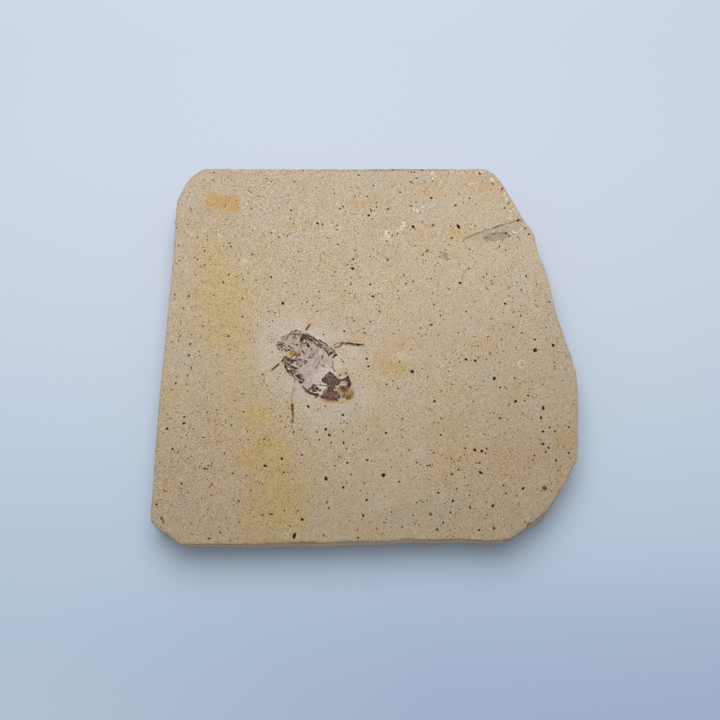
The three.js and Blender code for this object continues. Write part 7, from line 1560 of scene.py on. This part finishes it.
def build_insect():
    xs = np.arange(-25.2, 0.9, GRID)
    ys = np.arange(-22.0, 6.4, GRID)
    gx, gy = np.meshgrid(xs, ys, indexing="ij")
    d = insect_reach(gx.ravel(), gy.ravel()).reshape(gx.shape)
    keep = d < 0.0
    cell = keep[:-1, :-1] & keep[1:, :-1] & keep[:-1, 1:] & keep[1:, 1:]
    for _ in range(3):       # no two cells may meet at a corner only
        a = cell[:-1, :-1] & cell[1:, 1:] & ~cell[1:, :-1] & ~cell[:-1, 1:]
        b = ~cell[:-1, :-1] & ~cell[1:, 1:] & cell[1:, :-1] & cell[:-1, 1:]
        cell[1:, :-1] |= a
        cell[:-1, :-1] |= b
    ci, cj = np.nonzero(cell)
    ny = len(ys)
    corner = np.stack([ci * ny + cj, (ci + 1) * ny + cj, (ci + 1) * ny + cj + 1, ci * ny + cj + 1], 1)
    used, flat = np.unique(corner, return_inverse=True)
    quad = flat.reshape(corner.shape)
    x, y = gx.ravel()[used].copy(), gy.ravel()[used].copy()
    # edges with one face form the border
    e = np.concatenate([quad[:, [0, 1]], quad[:, [1, 2]], quad[:, [2, 3]], quad[:, [3, 0]]])
    key = np.sort(e, 1)
    _, inv, cnt = np.unique(key[:, 0] * (len(x) + 1) + key[:, 1], return_inverse=True, return_counts=True)
    border = e[cnt[inv] == 1]
    bi = np.unique(border)
    for _ in range(2):       # draw the border onto the smooth limit
        h = 0.02
        f = insect_reach(x[bi], y[bi])
        dx = (insect_reach(x[bi] + h, y[bi]) - insect_reach(x[bi] - h, y[bi])) / (2 * h)
        dy = (insect_reach(x[bi], y[bi] + h) - insect_reach(x[bi], y[bi] - h)) / (2 * h)
        m = np.maximum(dx * dx + dy * dy, 0.2)
        x[bi] -= np.clip(f * dx / m, -GRID, GRID)
        y[bi] -= np.clip(f * dy / m, -GRID, GRID)
    reach = insect_reach(x, y)
    z = T + insect_relief(x, y)
    z -= 0.13 * smooth(-0.30, 0.0, reach)
    n = len(x)
    top = np.c_[x, y, z]
    bottom = np.c_[x, y, np.full(n, T - 0.42)]
    walls = np.c_[border[:, 0], border[:, 0] + n, border[:, 1] + n, border[:, 1]]
    quads = np.concatenate([quad, quad[:, ::-1] + n, walls])
    return np.concatenate([top, bottom]), quads, n


iv, iq, itop = build_insect()
insect = mesh_object("fossil_insect", inside_box(iv), iq)
ix, iy = iv[:, 0], iv[:, 1]
for key, mask in stains(ix, iy).items():
    store(insect, key, mask)
film_rgb, film_a = painted(ix, iy, FILM_AREAS, FILM_STROKES, FILM_DOTS, 231, FILM_NETS)
film_a *= smooth(0.0, -0.14, insect_reach(ix, iy))
film_a[itop:] = 0
store_colour(insect, "paint", film_rgb, film_a)
corner, least, most = faces_of(insect.data)
u_map = 0.004 + (ix[corner] - ix.min()) / (ix.max() - ix.min()) * 0.90
v_map = 0.004 + (iy[corner] - iy.min()) / (iy.max() - iy.min()) * 0.97
hidden = most >= itop              # the buried sides and back
u_map = np.where(hidden, 0.915 + u_map * 0.07 + np.where(corner < itop, 0.004, 0.0), u_map)
v_map = np.where(hidden, v_map * 0.08 + np.where(corner < itop, 0.004, 0.0), v_map)
flat_map(insect, u_map, v_map)
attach(insect, "root")


# ------------------------------------------------------------------ mineral grains
def build_grains():
    rng = np.random.default_rng(7)
    rows = [(x, y, (1.24 if s else 1.26) * r + 0.015, s) for x, y, r, s in GRAINS]
    big = np.array([r[:2] for r in rows])
    # smaller ones of the same kind, scattered at random
    tried = rng.uniform((-50, -49), (50, 49), (2600, 2))
    ok = poly_sd(tried[:, 0], tried[:, 1], LOOP) < -0.5
    ok &= (insect_reach(tried[:, 0], tried[:, 1]) > 0.25) & (poly_sd(tried[:, 0], tried[:, 1], BODY_XY) > 5.0)
    ok &= np.hypot(tried[:, None, 0] - big[None, :, 0], tried[:, None, 1] - big[None, :, 1]).min(1) > 0.8
    for k, (x, y) in enumerate(tried[ok][:1500]):
        u = rng.random()
        if k < 260:
            r = 0.185 + 0.085 * u ** 1.6
        elif k < 690:
            r = 0.140 + 0.050 * u
        else:
            r = 0.105 + 0.040 * u
        rows.append((x, y, r, 1 if rng.random() < 0.30 else 0))
    verts, tris, tone, flat = [], [], [], []
    across = math.ceil(math.sqrt(len(rows) + 1))        # each grain has its own square of the map
    base = 0
    for k, (x, y, r, faint) in enumerate(rows):
        n = 12 if r > 0.3 else 9 if r > 0.18 else 7
        a = np.arange(n) / n * 2 * math.pi
        turn = rng.uniform(0, math.pi)
        stretch = 1 + abs(rng.normal(0, 0.12)) + (rng.uniform(0.25, 0.6) if rng.random() < 0.16 else 0)
        wob = 1 + 0.12 * np.cos(2 * a + rng.uniform(0, 6.3)) + 0.10 * np.cos(3 * a + rng.uniform(0, 6.3)) + rng.uniform(-0.08, 0.08, n)
        px = np.cos(a) * wob * r * stretch
        py = np.sin(a) * wob * r / stretch ** 0.6
        c, s = math.cos(turn), math.sin(turn)
        px, py = px * c - py * s, px * s + py * c
        z0 = T + face_relief(np.array([x]), np.array([y]))[0]
        rise = 0.010 + 0.02 * min(1, r / 0.4)
        rings = [(1.0, -0.07), (0.92, rise), (0.45, rise + 0.008 + rng.uniform(-0.006, 0.006))]
        if r > 0.18:
            rings.insert(1, (1.0, -0.006))
        for f, dz in rings:
            verts.append(np.c_[x + px * f, y + py * f, np.full(n, z0 + dz) + (rng.uniform(-0.004, 0.004, n) if dz > 0 else 0)])
        verts.append(np.array([[x, y, z0 + rise + 0.006], [x, y, z0 - 0.07]]))
        i = np.arange(n)
        j = (i + 1) % n
        m = len(rings)
        for g in range(m - 1):
            lo, hi = base + g * n, base + (g + 1) * n
            tris += [np.c_[lo + i, lo + j, hi + j], np.c_[lo + i, hi + j, hi + i]]
        last = base + (m - 1) * n
        tris += [np.c_[last + i, last + j, np.full(n, base + m * n)], np.c_[base + j, base + i, np.full(n, base + m * n + 1)]]
        count = m * n + 2
        tone += [float(faint)] * count
        spread = np.concatenate([np.repeat(0.44 * (m - np.arange(m)) / m, n), [0, 0]])
        local = np.c_[np.cos(np.append(np.tile(a, m), [0, 0])), np.sin(np.append(np.tile(a, m), [0, 0]))] * spread[:, None]
        flat.append(np.c_[local, np.full(count, k % across), np.full(count, k // across), np.arange(count) == count - 1])
        base += count
    return np.concatenate(verts), np.concatenate(tris), np.array(tone), np.concatenate(flat), across


gv, gt, gtone, gflat, gacross = build_grains()
grains = mesh_object("mineral_grains", inside_box(gv), None, gt)
store(grains, "faint", gtone)
corner, least, most = faces_of(grains.data)
buried = gflat[most, 4] > 0
flat_map(grains, (gflat[corner, 0] + np.where(buried, gacross - 1, gflat[corner, 2]) + 0.5) / gacross,
         (gflat[corner, 1] + np.where(buried, gacross - 1, gflat[corner, 3]) + 0.5) / gacross)
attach(grains, "root")


# ------------------------------------------------------------------ materials
class Nodes:
    """Short names for building a node tree. Lengths in the trees are millimetres."""

    def __init__(self, tree):
        self.t = tree
        self.count = 0

    def new(self, kind, **props):
        n = self.t.nodes.new("ShaderNode" + kind)
        n.location = (-1800 + 190 * (self.count % 12), 900 - 210 * (self.count // 12))
        self.count += 1
        for k, v in props.items():
            setattr(n, k, v)
        return n

    def put(self, socket, value):
        if isinstance(value, bpy.types.NodeSocket):
            self.t.links.new(value, socket)
        else:
            socket.default_value = value

    def math(self, op, a, b=0.0, clamp=False):
        n = self.new("Math", operation=op, use_clamp=clamp)
        self.put(n.inputs[0], a)
        self.put(n.inputs[1], b)
        return n.outputs[0]

    def times(self, a, b):
        return self.math("MULTIPLY", a, b)

    def plus(self, a, b):
        return self.math("ADD", a, b)

    def vec(self, op, a, b=None, scale=None):
        n = self.new("VectorMath", operation=op)
        self.put(n.inputs[0], a)
        if b is not None:
            self.put(n.inputs[1], b)
        if scale is not None:
            self.put(n.inputs["Scale"], scale)
        return n.outputs[0]

    def mix(self, f, a, b, blend="MIX"):
        n = self.new("Mix", data_type="RGBA", blend_type=blend, clamp_factor=True)
        self.put(n.inputs[0], f)
        self.put(n.inputs[6], a if isinstance(a, bpy.types.NodeSocket) else (*a, 1))
        self.put(n.inputs[7], b if isinstance(b, bpy.types.NodeSocket) else (*b, 1))
        return n.outputs[2]

    def noise(self, vec, scale, detail=0.0, rough=0.5, colour=False):
        n = self.new("TexNoise", noise_dimensions="3D")
        self.put(n.inputs["Vector"], vec)
        n.inputs["Scale"].default_value = scale
        n.inputs["Detail"].default_value = detail
        n.inputs["Roughness"].default_value = rough
        return n.outputs["Color" if colour else "Fac"]

    def voronoi(self, vec, scale):
        n = self.new("TexVoronoi", voronoi_dimensions="3D", feature="F1")
        self.put(n.inputs["Vector"], vec)
        n.inputs["Scale"].default_value = scale
        return n.outputs["Distance"], n.outputs["Color"]

    def span(self, v, a, b, c=0.0, d=1.0, kind="SMOOTHSTEP"):
        n = self.new("MapRange", interpolation_type=kind)
        for s, x in zip(("Value", "From Min", "From Max", "To Min", "To Max"), (v, a, b, c, d)):
            self.put(n.inputs[s], x)
        return n.outputs[0]

    def attr(self, name):
        return self.new("Attribute", attribute_name=name)

    def ramp(self, v, stops):
        n = self.new("ValToRGB")
        self.put(n.inputs[0], v)
        e = n.color_ramp.elements
        while len(e) < len(stops):
            e.new(0.5)
        for el, (p, c) in zip(e, stops):
            el.position = p
            el.color = (*c, 1)
        return n.outputs[0]

    def split(self, v):
        n = self.new("SeparateXYZ")
        self.put(n.inputs[0], v)
        return n.outputs

    def spots(self, vec, scale, share, r0, r1, soft):
        """Round grains: a share of the cells holds one, of radius r0..r1 mm."""
        dist, col = self.voronoi(vec, scale)
        c = self.split(col)
        if isinstance(share, bpy.types.NodeSocket):
            start = self.math("SUBTRACT", 1.0, share)
        else:
            start = 1.0 - share
        on = self.math("GREATER_THAN", c[0], start)
        rad = self.times(self.span(c[1], 0.0, 1.0, r0, r1, "LINEAR"), scale)
        inner = self.math("SUBTRACT", rad, soft * scale)
        outer = self.plus(rad, soft * scale)
        return self.times(self.span(dist, inner, outer, 1.0, 0.0), on), c[2]


def clear(name):
    m = bpy.data.materials.new(name)
    m.use_nodes = True
    return m, m.node_tree, m.node_tree.nodes["Principled BSDF"]


def stone_nodes(g, whole):
    """Colour and height of the limestone; whole adds its broken edge and underside."""
    co = g.new("TexCoord").outputs["Object"]
    p = g.vec("SCALE", co, scale=1000.0)
    xyz = g.split(p)
    warp = g.vec("SUBTRACT", g.noise(p, 2.4, 1.0, colour=True), (0.5, 0.5, 0.5))
    pw = g.vec("ADD", p, g.vec("SCALE", warp, scale=0.34))

    y01 = g.span(xyz[1], -48.0, 48.0, 0.0, 1.0, "LINEAR")
    base = g.ramp(y01, [(0.0, (0.412, 0.322, 0.216)), (0.19, (0.444, 0.350, 0.240)), (0.40, (0.488, 0.389, 0.270)),
                        (0.60, (0.514, 0.414, 0.293)), (1.0, (0.514, 0.417, 0.301))])
    # broad and middling clouds
    n1 = g.noise(p, 0.085, 3.0, 0.55)
    n2 = g.noise(p, 0.40, 3.0, 0.60)
    n3 = g.noise(p, 1.45, 2.0, 0.60)
    n4 = g.noise(p, 2.6, 0.0)
    n5 = g.noise(p, 7.2, 0.0)
    light = g.plus(g.times(g.math("SUBTRACT", n1, 0.5), 0.08), 1.0)
    light = g.plus(light, g.times(g.math("SUBTRACT", n2, 0.5), 0.020))
    light = g.plus(light, g.times(g.math("SUBTRACT", n3, 0.5), 0.03))
    fineness = g.span(g.plus(g.times(xyz[0], 0.7), g.times(xyz[1], -0.7)), -50.0, 50.0, 1.22, 0.82, "LINEAR")
    grit = g.plus(g.times(g.math("SUBTRACT", n4, 0.5), 0.06), g.times(g.math("SUBTRACT", n5, 0.5), 1.80))
    grit = g.times(g.times(grit, fineness), g.span(g.attr("pale").outputs["Fac"], 0.08, 0.50, 1.0, 0.62, "LINEAR"))
    light = g.plus(light, g.times(grit, 0.6))
    light = g.times(light, g.span(xyz[0], -12.0, -52.0, 1.025, 0.985))
    light = g.times(light, g.span(xyz[0], 2.0, 52.0, 1.0, 0.905))
    light = g.times(light, g.plus(g.times(g.span(xyz[0], 8.0, 32.0), g.span(xyz[1], 2.0, 22.0, 0.0, 0.090)), 1.0))
    # warm and cool drift
    hue = g.noise(g.vec("ADD", p, (40.0, 11.0, 3.0)), 0.11, 2.0)
    base = g.mix(g.span(hue, 0.45, 0.70), base, (1.0, 0.965, 0.915), "MULTIPLY")
    base = g.mix(g.span(hue, 0.50, 0.30), base, (0.985, 1.0, 1.03), "MULTIPLY")
    spot_hue = g.noise(g.vec("ADD", p, (9.0, 71.0, 5.0)), 0.55, 2.0)
    base = g.mix(g.span(spot_hue, 0.48, 0.66), base, (1.0, 0.972, 0.925), "MULTIPLY")
    base = g.mix(g.span(spot_hue, 0.50, 0.34), base, (0.985, 1.0, 1.04), "MULTIPLY")
    # stains
    fine = g.plus(g.times(g.math("SUBTRACT", n3, 0.5), 0.9), 1.0)
    for name, tint in (("yellow", (1.000, 0.945, 0.600)), ("orange", (1.02, 0.86, 0.64)), ("pink", (1.01, 0.90, 0.85)),
                       ("pale", (1.20, 1.36, 1.70)), ("grey", (0.80, 0.84, 0.84))):
        base = g.mix(g.times(g.attr(name).outputs["Fac"], fine), base, tint, "MULTIPLY")
    # grains: dark ones of three sizes, closer together on the left, and pale ones
    left = g.span(xyz[0], 4.0, -34.0, 0.0, 1.0)
    s2, t2 = g.spots(pw, 1.35, g.plus(g.times(left, 0.18), 0.27), 0.070, 0.140, 0.035)
    s3, t3 = g.spots(g.vec("ADD", pw, (3.7, 9.1, 1.3)), 2.7, g.plus(g.times(left, 0.22), 0.28), 0.045, 0.090, 0.028)
    s4, t4 = g.spots(g.vec("ADD", pw, (7.7, 2.1, 5.3)), 1.15, g.plus(g.times(left, 0.10), 0.24), 0.065, 0.135, 0.03)
    dark = g.math("MAXIMUM", g.times(s2, g.span(t2, 0.0, 1.0, 0.40, 0.95, "LINEAR")), g.times(s3, 0.60))
    extra = None
    if whole:
        side = g.attr("side").outputs["Fac"]
        under = g.attr("under").outputs["Fac"]
        rim = g.attr("rim").outputs["Fac"]
        s1, t1 = g.spots(g.vec("ADD", pw, (1.1, 4.4, 8.8)), 0.62, 0.30, 0.13, 0.30, 0.04)
        dark = g.math("MAXIMUM", dark, g.times(g.times(s1, 0.85), g.math("MAXIMUM", side, under)))
        # bedding shows as bands round the broken edge
        flat = g.vec("MULTIPLY", p, (0.10, 0.10, 1.7))
        bands = g.noise(flat, 1.0, 3.0, 0.65)
        seam = g.noise(g.vec("MULTIPLY", p, (0.05, 0.05, 3.1)), 1.0, 1.0, 0.5)
        edge_light = g.plus(g.times(g.math("SUBTRACT", bands, 0.5), 0.55), 0.97)
        edge_light = g.times(edge_light, g.span(seam, 0.60, 0.68, 1.0, 0.80))
        coarse = g.noise(p, 0.9, 3.0, 0.65)
        edge_light = g.plus(edge_light, g.times(g.math("SUBTRACT", coarse, 0.5), 0.30))
        edge_painted_light = g.mix(0.62, base, (0.66, 0.540, 0.415))       # paler, greyer broken edge; the paleness is painted light standing in for light reflected onto the shaded edge
        base = g.mix(side, base, g.vec("SCALE", edge_painted_light, scale=edge_light))
        iron = g.span(g.noise(g.vec("MULTIPLY", p, (0.12, 0.12, 0.5)), 1.0, 2.0), 0.56, 0.72)
        base = g.mix(g.times(g.times(iron, side), 0.65), base, (1.0, 0.84, 0.60), "MULTIPLY")
        # underside: duller, with broad rusty clouds
        base = g.mix(under, base, (0.95, 0.93, 0.89), "MULTIPLY")
        damp = g.span(g.noise(g.vec("ADD", p, (2.0, 31.0, 9.0)), 0.16, 4.0, 0.65), 0.42, 0.66)
        base = g.mix(g.times(g.times(damp, under), 0.75), base, (0.86, 0.86, 0.87), "MULTIPLY")
        rust = g.span(g.noise(p, 0.055, 4.0, 0.60), 0.50, 0.70)
        base = g.mix(g.times(rust, under), base, (0.98, 0.87, 0.66), "MULTIPLY")
        extra = (side, under, rim, coarse)
    paint = g.attr("paint")
    cover = paint.outputs["Alpha"]
    cover = g.times(cover, g.span(n4, 0.25, 0.75, 1.06, 0.90, "LINEAR"))
    stone = g.vec("ADD", g.vec("SCALE", base, scale=light), g.vec("SCALE", (0.38, 0.38, 0.38), scale=g.times(grit, 0.4)))
    stone = g.mix(g.times(s4, 0.64), stone, (0.78, 0.675, 0.520))
    # dark film is blotchy, down to a fine net; the pale areas are even
    film = g.span(g.split(paint.outputs["Color"])[0], 0.34, 0.10)
    mark = g.plus(g.times(g.math("SUBTRACT", n3, 0.5), g.plus(g.times(film, 0.75), 0.30)), 1.0)
    mark = g.plus(mark, g.times(g.math("SUBTRACT", n4, 0.5), g.plus(g.times(film, 1.10), 0.55)))
    mark = g.plus(mark, g.times(g.math("SUBTRACT", n5, 0.5), g.plus(g.times(film, 0.85), 0.45)))
    mark = g.math("MAXIMUM", mark, 0.25)
    marked = g.vec("SCALE", paint.outputs["Color"], scale=mark)
    shift = g.noise(g.vec("ADD", p, (5.0, 17.0, 2.0)), 1.9, 1.0)
    marked = g.mix(film, g.mix(1.0, marked, (0.99, 0.965, 0.965), "MULTIPLY"), g.mix(1.0, marked, (1.0, 0.93, 0.88), "MULTIPLY"))
    marked = g.mix(g.times(g.span(shift, 0.50, 0.68), film), marked, (1.10, 0.95, 0.90), "MULTIPLY")
    marked = g.mix(g.times(g.span(shift, 0.50, 0.34), film), marked, (0.93, 0.98, 1.10), "MULTIPLY")
    colour = g.mix(cover, stone, marked)
    hide = g.math("SUBTRACT", 1.0, g.times(cover, 0.75))
    colour = g.mix(g.times(dark, hide), colour, (0.066, 0.038, 0.011))
    height = g.plus(g.times(n4, 0.3), g.plus(g.times(n3, 0.4), g.times(n5, 0.45)))
    height = g.math("SUBTRACT", height, g.times(dark, 0.5))
    if whole:
        side, under, rim, coarse = extra
        # painted shade and grime darken the upper arris and the top of the broken edge
        colour = g.mix(g.times(rim, 0.95), colour, (0.38, 0.325, 0.26), "MULTIPLY")
        rough_face = g.math("MAXIMUM", side, under)
        height = g.plus(height, g.times(g.times(coarse, rough_face), 5.0))
    return colour, height, cover, paint


def finish_stone(name, whole):
    m, tree, bsdf = clear(name)
    g = Nodes(tree)
    colour, height, cover, paint = stone_nodes(g, whole)
    bump = g.new("Bump")
    bump.inputs["Strength"].default_value = 0.55
    bump.inputs["Distance"].default_value = 0.00003
    g.put(bump.inputs["Height"], height)
    g.put(bsdf.inputs["Normal"], bump.outputs[0])
    g.put(bsdf.inputs["Base Color"], colour)
    if whole:
        g.put(bsdf.inputs["Roughness"], g.span(height, 0.3, 1.2, 0.95, 0.86, "LINEAR"))
        bsdf.inputs["Specular IOR Level"].default_value = 0.12
    else:
        lum = g.split(paint.outputs["Color"])
        film = g.times(g.span(lum[0], 0.34, 0.06), cover)
        g.put(bsdf.inputs["Roughness"], g.span(film, 0.0, 1.0, 0.92, 0.58, "LINEAR"))
        bsdf.inputs["Specular IOR Level"].default_value = 0.07
    return m


slab.data.materials.append(finish_stone("laminated_limestone", True))
insect.data.materials.append(finish_stone("carbon_film_on_limestone", False))

gm, gtree, gb = clear("iron_oxide_grains")
g = Nodes(gtree)
gp = g.vec("SCALE", g.new("TexCoord").outputs["Object"], scale=1000.0)
ga = g.noise(gp, 5.2, 2.0, 0.7)
gbn = g.noise(gp, 0.6, 1.0)
gc = g.ramp(ga, [(0.30, (0.018, 0.008, 0.002)), (0.55, (0.034, 0.015, 0.003)), (0.75, (0.085, 0.046, 0.016))])
gc = g.mix(g.span(gbn, 0.45, 0.65), gc, (1.0, 0.82, 0.64), "MULTIPLY")
gf = g.mix(g.span(ga, 0.3, 0.7), (0.062, 0.035, 0.012), (0.165, 0.110, 0.054))
gc = g.mix(g.attr("faint").outputs["Fac"], gc, gf)
g.put(gb.inputs["Base Color"], gc)
g.put(gb.inputs["Roughness"], g.span(ga, 0.3, 0.7, 0.60, 0.88, "LINEAR"))
gb.inputs["Specular IOR Level"].default_value = 0.08
gbump = g.new("Bump")
gbump.inputs["Strength"].default_value = 0.7
gbump.inputs["Distance"].default_value = 0.00003
g.put(gbump.inputs["Height"], ga)
g.put(gb.inputs["Normal"], gbump.outputs[0])
grains.data.materials.append(gm)


# ------------------------------------------------------------------ floor, light, camera
bpy.ops.mesh.primitive_plane_add(size=3.0, location=(0, 0, -0.00002))
floor = bpy.context.object
floor.name = "floor"
fm = bpy.data.materials.new("floor_paper")
fm.use_nodes = True
ft = fm.node_tree
fb = ft.nodes["Principled BSDF"]
fb.inputs["Roughness"].default_value = 0.85
fb.inputs["Specular IOR Level"].default_value = 0.1
f_co = ft.nodes.new("ShaderNodeTexCoord")
f_sep = ft.nodes.new("ShaderNodeSeparateXYZ")
f_map = ft.nodes.new("ShaderNodeMapRange")
f_map.inputs["From Min"].default_value = -0.08
f_map.inputs["From Max"].default_value = 0.10
f_ramp = ft.nodes.new("ShaderNodeValToRGB")
# the paper darkens and turns bluer towards the front; the bluish tint is its own, the darkening is painted shade for
# the fall-off of the lamps' light
FLOOR_PAINTED_SHADE = [(0.0, (0.447, 0.554, 0.728)), (0.07, (0.457, 0.568, 0.735)), (0.156, (0.498, 0.610, 0.761)),
         (0.24, (0.524, 0.628, 0.765)), (0.32, (0.550, 0.646, 0.772)), (0.41, (0.572, 0.654, 0.777)),
         (0.57, (0.600, 0.661, 0.781)), (0.78, (0.598, 0.658, 0.774)), (0.98, (0.581, 0.639, 0.756))]
while len(f_ramp.color_ramp.elements) < len(FLOOR_PAINTED_SHADE):
    f_ramp.color_ramp.elements.new(0.5)
for stop, (place, tone) in zip(f_ramp.color_ramp.elements, FLOOR_PAINTED_SHADE):
    stop.position = place
    stop.color = (*tone, 1)
ft.links.new(f_co.outputs["Object"], f_sep.inputs[0])
ft.links.new(f_sep.outputs["Y"], f_map.inputs["Value"])
ft.links.new(f_map.outputs[0], f_ramp.inputs["Fac"])
# painted light and shade on the paper: lighter and warmer at the front left, darker and greyer at the front right
f_x = ft.nodes.new("ShaderNodeMapRange")
f_x.inputs["From Min"].default_value = -0.075
f_x.inputs["From Max"].default_value = 0.015
f_y = ft.nodes.new("ShaderNodeMapRange")
f_y.inputs["From Min"].default_value = -0.046
f_y.inputs["From Max"].default_value = -0.084
ft.links.new(f_sep.outputs["X"], f_x.inputs["Value"])
ft.links.new(f_sep.outputs["Y"], f_y.inputs["Value"])
f_painted_light_tint = ft.nodes.new("ShaderNodeMix")
f_painted_light_tint.data_type = "RGBA"
f_painted_light_tint.inputs[6].default_value = (1.12, 1.11, 1.03, 1)
f_painted_light_tint.inputs[7].default_value = (0.905, 0.91, 0.93, 1)
ft.links.new(f_x.outputs[0], f_painted_light_tint.inputs[0])
f_mul = ft.nodes.new("ShaderNodeMix")
f_mul.data_type = "RGBA"
f_mul.blend_type = "MULTIPLY"
ft.links.new(f_y.outputs[0], f_mul.inputs[0])
ft.links.new(f_ramp.outputs["Color"], f_mul.inputs[6])
ft.links.new(f_painted_light_tint.outputs[2], f_mul.inputs[7])
ft.links.new(f_mul.outputs[2], fb.inputs["Base Color"])
floor.data.materials.append(fm)

world = bpy.data.worlds.new("studio")
world.use_nodes = True
bpy.context.scene.world = world
bg = world.node_tree.nodes["Background"]
bg.inputs["Color"].default_value = (1, 1, 1, 1)
bg.inputs["Strength"].default_value = 0.406


def area(name, loc, size, power, target=(0, 0, 0), colour=(1, 1, 1)):
    data = bpy.data.lights.new(name, "AREA")
    data.shape = "RECTANGLE"
    data.size, data.size_y = size
    data.energy = power
    data.color = colour
    ob = bpy.data.objects.new(name, data)
    ob.location = loc
    ob.rotation_euler = (Vector(target) - Vector(loc)).to_track_quat("-Z", "Y").to_euler()
    bpy.context.scene.collection.objects.link(ob)
    return ob


area("softbox_over", (-0.022, 0.13, 0.34), (0.36, 0.36), 0.632)
area("softbox_back", (-0.022, 0.30, 0.45), (0.50, 0.50), 1.049)

cam_data = bpy.data.cameras.new("camera")
cam_data.sensor_width = 36.0
cam_data.lens = 828.0 / 720.0 * 36.0
cam_data.clip_start = 0.005
cam = bpy.data.objects.new("camera", cam_data)
cam.location = (-0.002136, -0.072492, 0.198)
cam.rotation_euler = (math.radians(19.6), 0, 0)
bpy.context.scene.collection.objects.link(cam)
bpy.context.scene.camera = cam
bpy.context.scene.view_settings.view_transform = "Standard"
